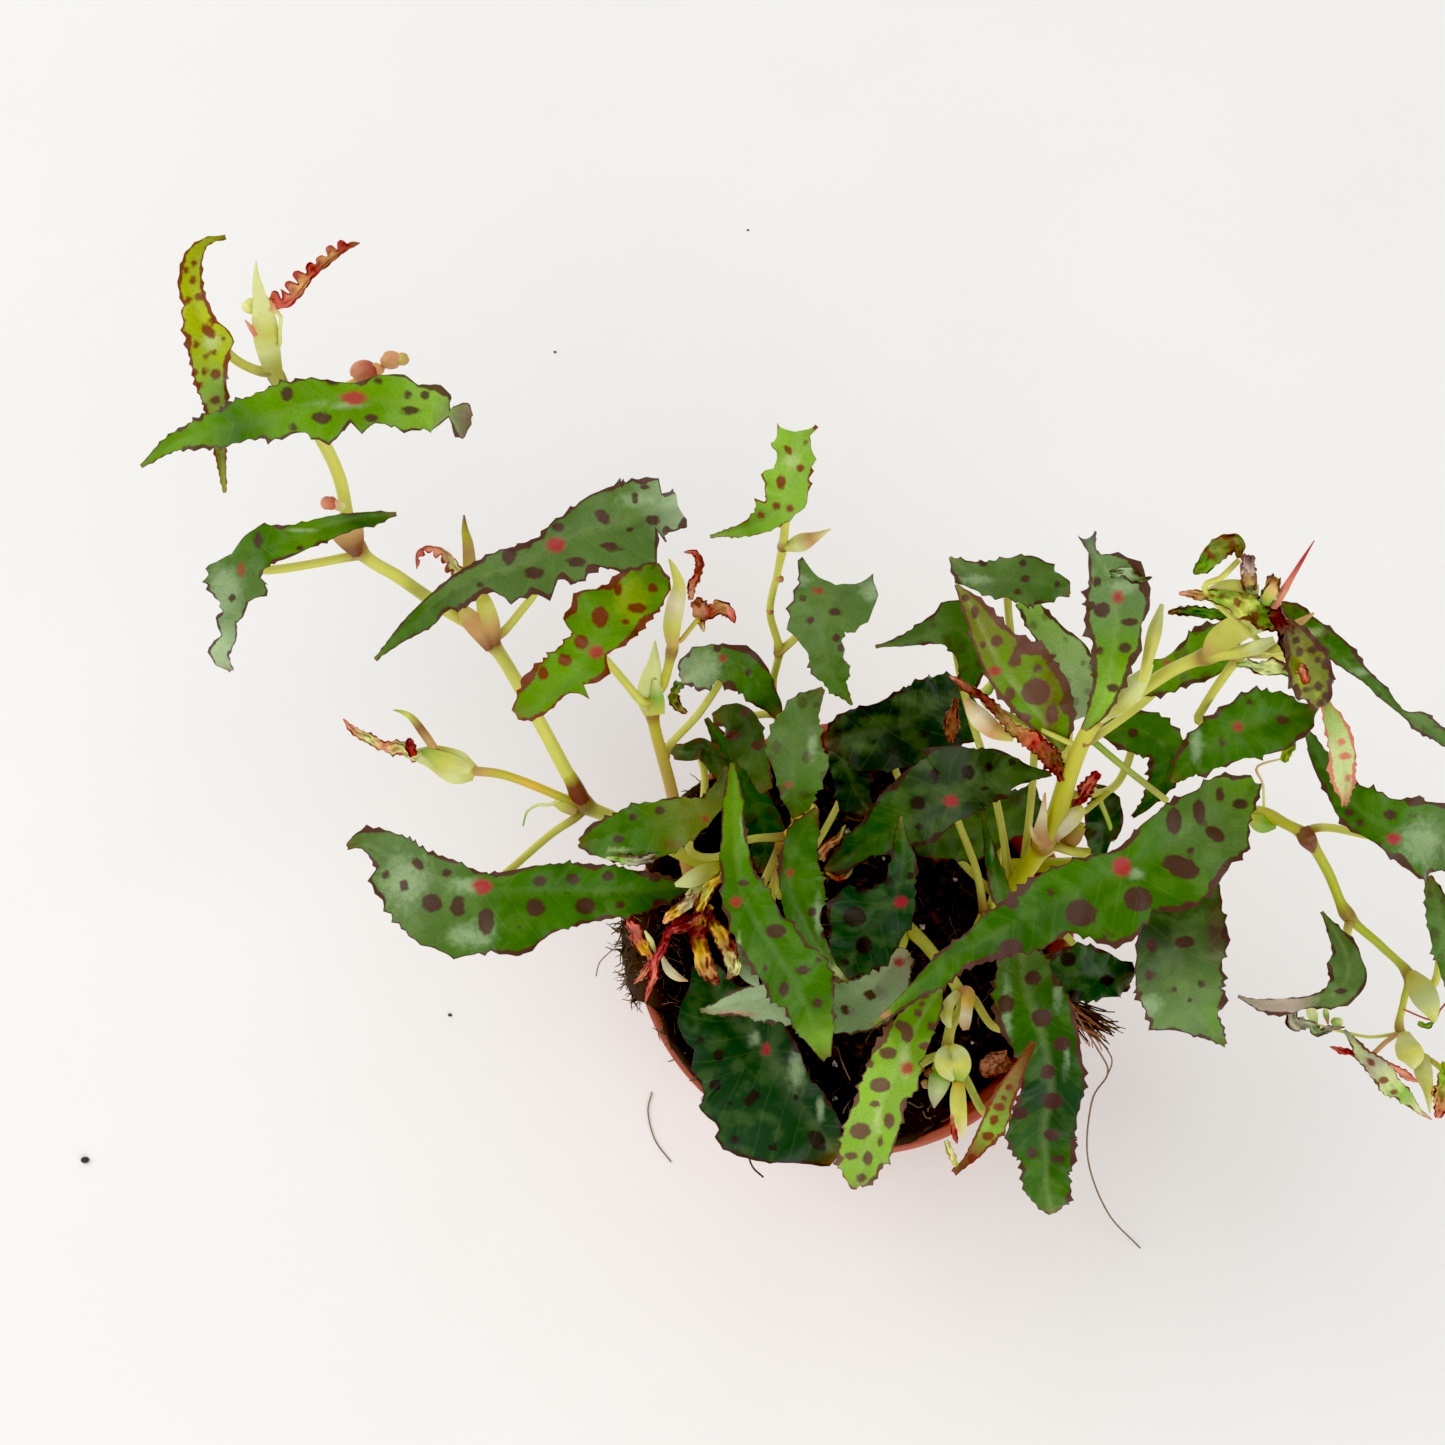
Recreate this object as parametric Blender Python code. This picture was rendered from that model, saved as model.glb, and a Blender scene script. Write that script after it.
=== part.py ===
"""A potted begonia with narrow spotted leaves, in a 9 cm plastic nursery pot.

The tables below give lengths in millimetres. Leaves and stems are placed along sight lines: each
point is the place where a point of the picture lies, at the height that the real leaf has there.
The pot's base is at the origin, +Z is up, and the picture's lower edge is the front, -Y.
"""

import math

import bmesh
import bpy
import numpy as np

MM = 0.001
GAP = 0.3

# The pot: its rim measures 87 mm across.
RIM_RADIUS = 43.5
POT_HEIGHT = 80.0
BASE_RADIUS = 31.0
WALL = 1.2
LIP_WIDTH = 2.0
COLLAR_DEPTH = 11.0
POT_SIDES = 36
DRAIN_HOLES = 6
DRAIN_RADIUS = 4.0
DRAIN_CIRCLE = 21.0

# The soil fills the pot to a little below the rim.
SOIL_HEIGHT = 73.0
SOIL_BUMPS = 1.1
FOOT_DEPTH = 14.0

# The viewpoint of the sight lines: 1445 pixels across, a 50 mm lens on a 36 mm frame.
EYE = np.array((-26.0, -83.4, 469.7))
FOCAL_PIXELS = 1445 * 50 / 36
PICTURE_CENTRE = 722.5
PITCH = math.radians(72)

# Leaves and their stalks
BLADE = 0.7
STALK_RADIUS = 0.8
STALK_SIDES = 4
CUP = 12
NARROWEST = 0.35
REACH_OF_STEM = 30.0

# The root mat: its reach round the rim, in degrees, its thickness and the height of its lumps
MAT_FROM = 168
MAT_TO = 201
MAT_THICK = 1.5
MAT_LUMPS = 0.45


def sight(px, py, height):
    """The point of this height on the sight line through a point of the picture."""
    right = np.array((1.0, 0.0, 0.0))
    up = np.array((0.0, math.sin(PITCH), math.cos(PITCH)))
    ahead = np.array((0.0, math.cos(PITCH), -math.sin(PITCH)))
    ray = ahead + right * (px - PICTURE_CENTRE) / FOCAL_PIXELS
    ray = ray - up * (py - PICTURE_CENTRE) / FOCAL_PIXELS
    return EYE + ray * (height - EYE[2]) / ray[2]


def pixel_size(places):
    """How many millimetres one pixel of the picture spans at these places."""
    ahead = np.array((0.0, math.cos(PITCH), -math.sin(PITCH)))
    return (np.asarray(places) - EYE) @ ahead / FOCAL_PIXELS


def unit(vectors):
    """Vectors made one long, one for each row."""
    vectors = np.asarray(vectors, float)
    return vectors / np.linalg.norm(vectors, axis=-1, keepdims=True)


def smooth_path(points, count):
    """A smooth curve through points, as count points at equal steps along it."""
    points = np.asarray(points, float)
    first = 2 * points[0] - points[1]
    last = 2 * points[-1] - points[-2]
    held = np.vstack((first, points, last))
    fine = []
    for a, b, c, d in zip(held, held[1:], held[2:], held[3:]):
        t = np.linspace(0, 1, 12, endpoint=False)[:, None]
        fine.append(0.5 * (2 * b + (c - a) * t + (2 * a - 5 * b + 4 * c - d) * t**2
                           + (3 * b - a - 3 * c + d) * t**3))
    fine = np.vstack(fine + [points[-1:]])
    steps = np.linalg.norm(np.diff(fine[:, :3], axis=0), axis=1)
    along = np.concatenate(([0], np.cumsum(steps)))
    wanted = np.linspace(0, along[-1], count)
    return np.stack([np.interp(wanted, along, column) for column in fine.T], axis=1)


def material(name, colour, roughness):
    """A plain material of one colour."""
    made = bpy.data.materials.get(name) or bpy.data.materials.new(name)
    made.use_nodes = True
    shader = made.node_tree.nodes["Principled BSDF"]
    shader.inputs["Base Color"].default_value = (*colour, 1)
    shader.inputs["Roughness"].default_value = roughness
    shader.inputs["Metallic"].default_value = 0
    return made


def solid(name, vertices, faces, finish):
    """An object from points in millimetres."""
    mesh = bpy.data.meshes.new(name)
    mesh.from_pydata([tuple(v) for v in np.asarray(vertices) * MM], [], faces)
    mesh.materials.append(finish)
    made = bpy.data.objects.new(name, mesh)
    bpy.context.scene.collection.objects.link(made)
    return made


def cut(target, cutter):
    """Takes the cutter's shape out of the target."""
    modifier = target.modifiers.new("cut", "BOOLEAN")
    modifier.operation = "DIFFERENCE"
    modifier.solver = "EXACT"
    modifier.object = cutter
    apply_modifiers(target)
    bpy.data.objects.remove(cutter)


def apply_modifiers(target):
    """Replaces an object's mesh by its evaluated mesh."""
    graph = bpy.context.evaluated_depsgraph_get()
    graph.update()
    result = bpy.data.meshes.new_from_object(target.evaluated_get(graph))
    target.modifiers.clear()
    target.data = result


def fuse(name, pieces):
    """Joins pieces that run into each other into one solid."""
    body = pieces[0]
    group = bpy.data.collections.new(name + "_pieces")
    bpy.context.scene.collection.children.link(group)
    for piece in pieces[1:]:
        group.objects.link(piece)
    modifier = body.modifiers.new("join", "BOOLEAN")
    modifier.operation = "UNION"
    modifier.operand_type = "COLLECTION"
    modifier.collection = group
    modifier.solver = "MANIFOLD"
    apply_modifiers(body)
    for piece in pieces[1:]:
        bpy.data.objects.remove(piece)
    bpy.data.collections.remove(group)
    body.name = name
    return body


def tube(name, path, radii, sides, finish):
    """A closed tube along a path, with a radius at each point."""
    path = np.asarray(path, float)
    radii = np.broadcast_to(radii, len(path))
    ahead = unit(np.gradient(path, axis=0))
    side = unit(np.cross(ahead[0], (0.31, 0.87, 0.38)))
    vertices = []
    for place, axis, radius in zip(path, ahead, radii):
        side = unit(side - axis * np.dot(side, axis))
        other = np.cross(axis, side)
        for k in range(sides):
            turn = 2 * math.pi * k / sides
            vertices.append(place + radius * (side * math.cos(turn) + other * math.sin(turn)))
    faces = []
    for ring in range(len(path) - 1):
        for k in range(sides):
            a = ring * sides + k
            b = ring * sides + (k + 1) % sides
            faces.append((a, b, b + sides, a + sides))
    faces.append(tuple(reversed(range(sides))))
    faces.append(tuple(range((len(path) - 1) * sides, len(path) * sides)))
    return solid(name, vertices, faces, finish)


def blade_frame(spine, count, tilt):
    """Points along a leaf's midrib, the directions across it and out of its upper face, and the
    half-widths on the left and the right of it."""
    placed = np.array([(*sight(*row[:3]), *row[3:]) for row in spine])
    rows = smooth_path(placed, count)
    middle = rows[:, :3]
    halves = np.maximum(rows[:, 3:] * pixel_size(middle)[:, None], NARROWEST)
    ahead = unit(np.gradient(middle, axis=0))
    across = unit(np.cross(ahead, unit(EYE - middle)))
    out = np.cross(across, ahead)
    turn = np.radians(np.interp(np.linspace(0, 1, count), np.linspace(0, 1, len(tilt)), tilt))
    turn = turn[:, None]
    sideways = across * np.cos(turn) + out * np.sin(turn)
    upward = out * np.cos(turn) - across * np.sin(turn)
    return middle, sideways, upward, halves


def blade(name, spine, tilt, cup, wave, crests, columns, finish):
    """A leaf blade: folded along its midrib, waved and toothed at its edge.

    Each row of the spine ends with the half-widths on its left and right in pixels, tilt turns
    the blade about its midrib, and cup lifts both halves.
    """
    count = 2 * crests + 1
    middle, across, out, halves = blade_frame(spine, count, tilt)
    crest = np.cos(math.pi * np.arange(count))
    lift = math.radians(cup)
    upper = []
    for column in range(columns + 1):
        v = 2 * column / columns - 1
        half = halves[:, 0] if v < 0 else halves[:, 1]
        tooth = 1 + 0.06 * crest * (abs(v) == 1)
        reach = (v * half * tooth)[:, None]
        bend = np.minimum(wave, 0.22 * half) * crest * v * abs(v)
        rise = abs(reach) * math.sin(lift) + bend[:, None]
        upper.append(middle + across * reach * math.cos(lift) + out * rise)
    upper = np.stack(upper, axis=1)
    lower = upper - out[:, None, :] * BLADE
    return closed_sheet(name, upper, lower, finish)


def closed_sheet(name, upper, lower, finish):
    """Closes two like grids of points into one solid, split into like triangles."""
    rows, columns = upper.shape[:2]
    under = rows * columns
    faces = []
    for r in range(rows - 1):
        for c in range(columns - 1):
            a = r * columns + c
            b, d, e = a + 1, a + columns, a + columns + 1
            halves = ((a, b, e), (a, e, d)) if (r + c) % 2 else ((a, b, d), (b, e, d))
            for half in halves:
                faces.append(half)
                faces.append(tuple(under + k for k in reversed(half)))
    edge = [r * columns for r in range(rows)]
    edge += [(rows - 1) * columns + c for c in range(1, columns)]
    edge += [r * columns + columns - 1 for r in range(rows - 2, -1, -1)]
    edge += [c for c in range(columns - 2, 0, -1)]
    for a, b in zip(edge, edge[1:] + edge[:1]):
        faces.append((a, b, under + b))
        faces.append((a, under + b, under + a))
    vertices = np.vstack((upper.reshape(-1, 3), lower.reshape(-1, 3)))
    return solid(name, vertices, faces, finish)


# Each leaf: the rows of its midrib, as picture point, height and half-widths to its left and
# right in pixels; the row where its stalk is seated; its tilt, the height of its waves and how
# many it has; the points its stalk passes; and the stem that carries it.
LEAVES = {}


def leaf(name, stem, spine, seat, tilt=(0, 0), wave=0.8, crests=5, stalk=(), columns=2, reach=5.0):
    """Enters a leaf in the table."""
    LEAVES["leaf_" + name] = dict(stem=stem, spine=spine, seat=seat, tilt=tilt, wave=wave,
                                  crests=crests, stalk=stalk, columns=columns, reach=reach)


leaf("a1", "a", [(226, 237, 206, 2, 2), (205, 242, 207, 5, 4), (193, 262, 208, 10, 11),
                 (192, 290, 208, 13, 14), (199, 315, 207, 17, 18), (210, 342, 205, 26, 26),
                 (211, 372, 200, 20, 22), (215, 400, 192, 14, 14), (219, 440, 180, 8, 8),
                 (225, 494, 166, 2, 2)], 5, crests=6, stalk=[(265, 372, 197), (236, 360, 197)])
leaf("a2", "a", [(140, 467, 180, 2, 2), (175, 442, 186, 11, 10), (205, 433, 190, 16, 17),
                 (240, 422, 195, 22, 23), (278, 412, 199, 28, 29), (312, 404, 200, 29, 32),
                 (354, 399, 200, 18, 30), (405, 403, 200, 30, 31), (434, 406, 199, 22, 23),
                 (449, 412, 198, 6, 7), (471, 416, 195, 12, 12)], 6, crests=6, columns=4,
     stalk=[(322, 430, 187), (338, 414, 191)])
leaf("a3", "a", [(397, 513, 174, 1, 1), (372, 517, 176, 8, 8), (345, 522, 177, 9, 10),
                 (320, 529, 178, 14, 14), (290, 541, 180, 20, 20), (262, 548, 180, 26, 24),
                 (245, 567, 179, 27, 24), (240, 590, 177, 26, 26), (233, 612, 173, 17, 17),
                 (227, 632, 168, 11, 11), (221, 655, 163, 9, 9), (232, 672, 158, 1, 1)], 6,
     tilt=(-10, -25), crests=5, stalk=[(348, 557, 162), (300, 566, 167), (268, 570, 171)])
leaf("a4", "a", [(374, 660, 146, 1, 1), (402, 633, 151, 7, 7), (428, 610, 155, 12, 13),
                 (458, 587, 158, 17, 16), (490, 574, 160, 19, 18), (522, 565, 160, 25, 28),
                 (556, 545, 161, 30, 38), (600, 527, 161, 36, 42), (632, 519, 159, 37, 46),
                 (658, 510, 156, 22, 34), (679, 505, 152, 10, 14)], 6, wave=1.1, crests=6, columns=4,
     stalk=[(503, 632, 142), (520, 612, 146), (536, 590, 151)])
leaf("a5", "a", [(347, 848, 109, 2, 3), (366, 845, 111, 12, 12), (400, 862, 115, 26, 46),
                 (440, 878, 117, 24, 68), (482, 887, 118, 18, 66), (525, 890, 118, 26, 64),
                 (560, 891, 116, 29, 42), (605, 892, 114, 27, 30), (650, 890, 111, 18, 20),
                 (693, 886, 108, 2, 3)], 4, crests=6, columns=4, wave=1.0,
     stalk=[(575, 818, 108), (550, 835, 108), (512, 868, 110)])
leaf("b1", "b", [(656, 562, 146, 2, 3), (640, 583, 149, 28, 36), (622, 607, 149, 32, 44),
                 (605, 635, 149, 26, 42), (596, 652, 148, 18, 38), (580, 672, 147, 26, 36),
                 (560, 687, 145, 16, 28), (538, 702, 142, 14, 20), (515, 715, 139, 5, 5)], 4,
     wave=1.2, crests=6, columns=4, stalk=[(644, 703, 128), (625, 682, 133), (612, 667, 138)])
leaf("b2", "b", [(680, 680, 112, 4, 6), (700, 667, 119, 22, 22), (724, 660, 122, 17, 26),
                 (748, 672, 121, 20, 24), (764, 692, 118, 15, 18), (779, 715, 113, 5, 6)], 2,
     tilt=(10, 0), crests=5, stalk=[(670, 745, 108), (700, 712, 109)])
leaf("b3", "b", [(664, 746, 102, 2, 3), (684, 752, 105, 9, 11), (702, 746, 106, 10, 16),
                 (716, 762, 103, 10, 14), (724, 786, 98, 2, 3)], 2, crests=4,
     stalk=[(700, 820, 92), (704, 795, 93), (704, 770, 97)])
leaf("c5", "c", [(708, 724, 106, 2, 2), (728, 712, 108, 8, 12), (746, 722, 108, 14, 14),
                 (757, 750, 104, 10, 14), (770, 790, 97, 4, 6)], 2, crests=4,
     stalk=[(766, 714, 102)])
leaf("c1", "c", [(795, 431, 179, 14, 18), (795, 450, 179, 18, 18), (793, 464, 179, 21, 18),
                 (790, 480, 178, 20, 28), (785, 500, 177, 22, 24), (772, 516, 174, 14, 16),
                 (752, 526, 170, 8, 9), (733, 531, 166, 5, 6), (709, 536, 160, 1, 1)], 4,
     crests=6, stalk=[(785, 526, 165)])
leaf("c2", "c", [(836, 584, 141, 36, 34), (834, 596, 142, 38, 39), (828, 610, 142, 38, 36),
                 (822, 628, 140, 29, 30), (825, 646, 138, 21, 21), (831, 670, 132, 18, 18),
                 (842, 690, 126, 8, 8), (853, 706, 121, 1, 1)], 1, crests=5, columns=4,
     stalk=[(779, 652, 124), (797, 636, 127), (812, 616, 132)])
leaf("c3", "c", [(824, 688, 120, 2, 3), (806, 712, 122, 18, 20), (794, 745, 121, 32, 33),
                 (793, 775, 119, 34, 20), (795, 800, 115, 20, 12), (797, 818, 110, 3, 4)], 3,
     crests=5, stalk=[(796, 800, 96)])
leaf("g2", "g", [(706, 718, 97, 2, 2), (727, 752, 96, 13, 12), (745, 786, 96, 19, 18),
                 (762, 820, 91, 20, 19), (765, 850, 85, 15, 17), (762, 874, 81, 4, 5)], 2,
     crests=5, wave=0.5, stalk=[(738, 860, 78), (738, 820, 84)])
leaf("d1", "d", [(956, 584, 150, 2, 2), (973, 610, 150, 14, 11), (987, 640, 149, 28, 18),
                 (1004, 672, 147, 44, 22), (1030, 704, 143, 40, 20), (1051, 733, 139, 26, 8),
                 (1062, 752, 137, 3, 3)], 3, crests=5,
     stalk=[(1070, 760, 124), (988, 705, 132), (993, 682, 138)])
leaf("d2", "d", [(1087, 537, 169, 9, 8), (1095, 556, 174, 6, 6), (1112, 579, 176, 36, 34),
                 (1117, 598, 174, 32, 34), (1117, 628, 170, 30, 29), (1113, 655, 166, 24, 24),
                 (1108, 685, 160, 17, 16), (1097, 710, 156, 12, 12), (1083, 731, 152, 4, 4)], 3,
     crests=6, columns=4, stalk=[(1104, 712, 148), (1118, 660, 152)])
leaf("d3", "d", [(1096, 730, 126, 2, 3), (1115, 728, 128, 12, 18), (1142, 732, 129, 24, 22),
                 (1166, 748, 127, 22, 20), (1166, 775, 122, 14, 18), (1150, 800, 117, 8, 8),
                 (1132, 817, 112, 2, 2)], 2, crests=5,
     stalk=[(1066, 795, 127), (1107, 791, 118), (1125, 770, 117)])
leaf("d4", "d", [(1134, 694, 144, 2, 3), (1155, 680, 148, 18, 18), (1180, 666, 151, 20, 24),
                 (1205, 650, 152, 24, 28), (1222, 634, 151, 14, 22), (1236, 614, 149, 2, 3)], 2,
     crests=5, stalk=[(1090, 740, 142), (1140, 705, 138)])
leaf("d5", "d", [(1280, 604, 176, 2, 4), (1300, 622, 178, 16, 14), (1328, 645, 178, 22, 22),
                 (1352, 668, 176, 12, 12), (1372, 684, 173, 9, 6), (1383, 692, 171, 8, 9),
                 (1402, 712, 168, 5, 5), (1422, 722, 165, 13, 10), (1445, 740, 160, 10, 8),
                 (1464, 756, 156, 2, 2)], 2, crests=5, stalk=[(1290, 650, 173)])
leaf("d6", "d", [(1326, 704, 162, 5, 5), (1335, 722, 160, 10, 14), (1341, 745, 158, 15, 14),
                 (1343, 770, 154, 13, 14), (1345, 792, 148, 7, 7), (1344, 807, 143, 2, 2)], 1,
     crests=4, stalk=[(1290, 690, 164)])
leaf("d7", "d", [(1288, 618, 190, 3, 4), (1298, 640, 190, 14, 14), (1310, 662, 188, 20, 26),
                 (1318, 684, 184, 18, 26), (1322, 708, 179, 4, 8)], 1, crests=4,
     stalk=[(1276, 648, 181)])
leaf("d8", "d", [(1320, 708, 154, 2, 3), (1300, 712, 155, 22, 14), (1275, 718, 156, 34, 34),
                 (1238, 728, 155, 40, 26), (1212, 745, 152, 30, 24), (1190, 762, 147, 18, 18),
                 (1171, 783, 140, 3, 3)], 3, crests=6, columns=4,
     stalk=[(1240, 657, 170), (1230, 668, 166), (1205, 705, 152), (1200, 722, 147)])
leaf("d9", "d", [(871, 1026, 114, 2, 2), (900, 1000, 118, 7, 6), (935, 970, 121, 13, 12),
                 (975, 945, 123, 20, 20), (1010, 925, 126, 26, 26), (1045, 905, 128, 32, 34),
                 (1085, 886, 131, 33, 42), (1124, 868, 132, 28, 70), (1175, 846, 133, 42, 62),
                 (1215, 820, 134, 42, 50), (1240, 798, 133, 26, 32), (1256, 782, 131, 8, 10)], 7,
     crests=6, columns=4, stalk=[(1059, 847, 114), (1084, 855, 115)])
leaf("d10", "d", [(824, 742, 97, 4, 4), (850, 735, 100, 26, 30), (885, 728, 102, 30, 34),
                  (920, 714, 102, 34, 36), (945, 697, 99, 26, 36), (962, 680, 96, 6, 10)], 2,
     crests=5, stalk=[(960, 860, 80), (905, 790, 84), (890, 750, 90)])
leaf("d11", "d", [(875, 647, 124, 1, 1), (905, 641, 126, 7, 6), (935, 631, 128, 16, 15),
                  (960, 630, 128, 30, 24), (972, 656, 125, 16, 17), (968, 690, 118, 8, 11)], 3,
     crests=5, stalk=[(1012, 892, 92), (996, 800, 104), (966, 700, 108)])
leaf("d12", "d", [(949, 556, 138, 1, 1), (962, 568, 140, 11, 12), (985, 578, 141, 19, 20),
                  (1010, 580, 142, 24, 22), (1035, 582, 141, 24, 24), (1055, 587, 139, 16, 14),
                  (1071, 595, 135, 2, 3)], 3, crests=5,
     stalk=[(1022, 878, 96), (1034, 740, 112), (1012, 640, 120)])
leaf("d13", "d", [(1026, 600, 126, 10, 10), (1036, 616, 127, 12, 14), (1052, 640, 126, 20, 14),
                  (1068, 665, 124, 26, 16), (1080, 690, 121, 18, 20), (1084, 718, 116, 6, 10)], 3,
     crests=5, stalk=[(1036, 856, 102), (1066, 760, 106), (1068, 700, 113)])
leaf("d14", "d", [(1092, 785, 111, 3, 3), (1102, 800, 112, 16, 14), (1104, 822, 112, 20, 18),
                  (1102, 843, 109, 9, 14), (1100, 857, 106, 6, 8)], 2, crests=4,
     stalk=[(1072, 838, 103)])
leaf("d15", "d", [(1172, 885, 104, 30, 20), (1176, 915, 108, 48, 40), (1178, 945, 108, 46, 46),
                  (1183, 975, 104, 40, 50), (1190, 1002, 98, 36, 46), (1205, 1025, 92, 18, 14),
                  (1226, 1045, 86, 2, 3)], 2, crests=5,
     stalk=[(1022, 878, 94), (1100, 900, 95)])
leaf("d16", "d", [(1045, 975, 97, 10, 12), (1070, 974, 100, 26, 30), (1100, 976, 100, 26, 28),
                  (1122, 980, 98, 16, 16), (1131, 984, 96, 2, 3)], 2, crests=4,
     stalk=[(1020, 900, 88), (1070, 940, 91)])
leaf("e1", "e", [(1302, 722, 128, 1, 1), (1312, 742, 131, 7, 7), (1325, 768, 134, 14, 10),
                 (1340, 790, 135, 16, 14), (1362, 812, 136, 28, 24), (1394, 832, 136, 38, 22),
                 (1425, 840, 133, 46, 38), (1450, 848, 128, 34, 22), (1468, 860, 122, 6, 8)], 5,
     crests=6, columns=4, stalk=[(1312, 829, 113), (1333, 828, 117), (1375, 836, 124)])
leaf("e2", "e", [(1428, 876, 118, 4, 4), (1437, 900, 118, 12, 14), (1445, 930, 116, 18, 18),
                 (1452, 962, 112, 16, 18), (1460, 1005, 105, 2, 3)], 2, crests=4,
     stalk=[(1435, 982, 99)])
leaf("e3", "e", [(1321, 911, 110, 1, 1), (1335, 932, 113, 8, 7), (1345, 952, 115, 14, 13),
                 (1348, 974, 116, 21, 20), (1336, 993, 116, 16, 12), (1310, 1001, 113, 8, 6),
                 (1280, 1004, 110, 12, 7), (1256, 1002, 107, 6, 4), (1237, 996, 104, 1, 1)], 3,
     crests=6, stalk=[(1347, 935, 105)])
leaf("f1", "f", [(1021, 952, 108, 20, 20), (1025, 985, 112, 29, 31), (1036, 1018, 114, 36, 38),
                 (1046, 1052, 113, 33, 33), (1051, 1090, 110, 33, 34), (1044, 1128, 105, 32, 36),
                 (1046, 1160, 99, 26, 28), (1047, 1190, 94, 20, 22), (1053, 1215, 88, 3, 4)], 2,
     crests=6, columns=4, stalk=[(973, 998, 101), (996, 1028, 103)])
leaf("f2", "f", [(1034, 1042, 117, 3, 3), (1019, 1068, 119, 7, 7), (1004, 1095, 118, 13, 12),
                 (993, 1121, 116, 14, 13), (981, 1142, 113, 13, 11), (966, 1160, 109, 5, 5),
                 (953, 1173, 106, 4, 4)], 3, crests=5,
     stalk=[(965, 1078, 109), (983, 1111, 110)])
leaf("f3", "f", [(943, 986, 107, 2, 2), (928, 1006, 110, 15, 22), (912, 1035, 113, 20, 30),
                 (897, 1068, 116, 25, 31), (882, 1103, 114, 27, 28), (872, 1135, 110, 25, 28),
                 (864, 1162, 104, 21, 22), (860, 1180, 100, 11, 10), (860, 1187, 98, 3, 3)], 3,
     crests=6, columns=4, stalk=[(928, 1059, 107)])
leaf("g1", "g", [(579, 842, 116, 2, 3), (603, 838, 119, 18, 22), (635, 830, 121, 26, 34),
                 (668, 820, 122, 26, 34), (704, 810, 122, 16, 17), (722, 786, 120, 8, 12),
                 (726, 765, 118, 2, 2)], 4, crests=5,
     stalk=[(748, 840, 102), (717, 857, 105), (690, 850, 111)])
leaf("g3", "g", [(818, 808, 118, 2, 3), (800, 838, 119, 22, 16), (790, 873, 118, 33, 12),
                 (798, 905, 115, 28, 18), (812, 935, 112, 14, 14), (828, 962, 110, 7, 8),
                 (849, 983, 108, 2, 2)], 2, crests=5,
     stalk=[(780, 896, 92)])
leaf("g4", "g", [(732, 762, 126, 2, 2), (734, 795, 129, 9, 10), (734, 835, 131, 14, 15),
                 (737, 870, 132, 18, 18), (746, 903, 131, 32, 25), (768, 940, 128, 36, 33),
                 (790, 975, 122, 38, 32), (806, 1006, 117, 29, 24), (816, 1032, 112, 17, 16),
                 (828, 1058, 107, 4, 6)], 4, crests=6, columns=4,
     stalk=[(752, 905, 100)])
leaf("f4", "f", [(901, 816, 119, 1, 2), (902, 838, 119, 7, 8), (904, 862, 118, 13, 14),
                 (899, 885, 115, 19, 22), (893, 905, 112, 28, 46), (868, 934, 108, 34, 46),
                 (848, 962, 104, 20, 22), (836, 983, 102, 3, 4)], 4, crests=6, columns=4,
     stalk=[(905, 925, 80), (898, 915, 95)])
leaf("f5", "f", [(700, 1011, 93, 2, 2), (718, 1008, 95, 7, 9), (745, 1001, 96, 17, 16),
                 (790, 1000, 97, 22, 28), (835, 1002, 97, 24, 33), (870, 992, 95, 20, 36),
                 (898, 962, 91, 15, 20), (912, 956, 88, 4, 5)], 6, crests=5,
     stalk=[(905, 932, 79), (903, 945, 82)])
leaf("g7", "g", [(703, 962, 88, 14, 14), (725, 1010, 89, 40, 42), (766, 1050, 89, 40, 72),
                 (795, 1095, 89, 36, 74), (820, 1130, 88, 26, 44), (838, 1158, 86, 4, 10)], 2,
     crests=6, columns=4, wave=0.6, stalk=[(768, 925, 77), (768, 1000, 80)])
leaf("c4", "c", [(832, 738, 88, 4, 4), (846, 768, 90, 26, 20), (858, 795, 88, 16, 22),
                 (872, 815, 85, 3, 4)], 1, crests=4, stalk=[(812, 850, 78), (838, 805, 80)])
leaf("h1", "h", [(1052, 774, 112, 2, 2), (1030, 773, 116, 9, 8), (1000, 774, 118, 24, 26),
                 (970, 782, 120, 32, 38), (951, 797, 120, 26, 54), (925, 808, 118, 34, 44),
                 (897, 825, 114, 26, 30), (865, 842, 109, 20, 20), (840, 862, 105, 12, 12),
                 (824, 870, 102, 3, 3)], 4, crests=6, columns=4,
     stalk=[(976, 869, 94), (957, 819, 108)])
leaf("h2", "h", [(1040, 798, 93, 18, 16), (1010, 812, 94, 26, 24), (975, 826, 92, 32, 20),
                 (940, 838, 90, 26, 20), (915, 850, 88, 8, 8)], 1, crests=5,
     stalk=[(992, 900, 82), (1000, 850, 86)])
leaf("h3", "h", [(982, 813, 108, 1, 1), (987, 838, 110, 5, 4), (993, 865, 110, 8, 8),
                 (999, 890, 107, 12, 11), (1005, 912, 102, 6, 6)], 3, crests=4,
     stalk=[(994, 925, 88)])

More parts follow.
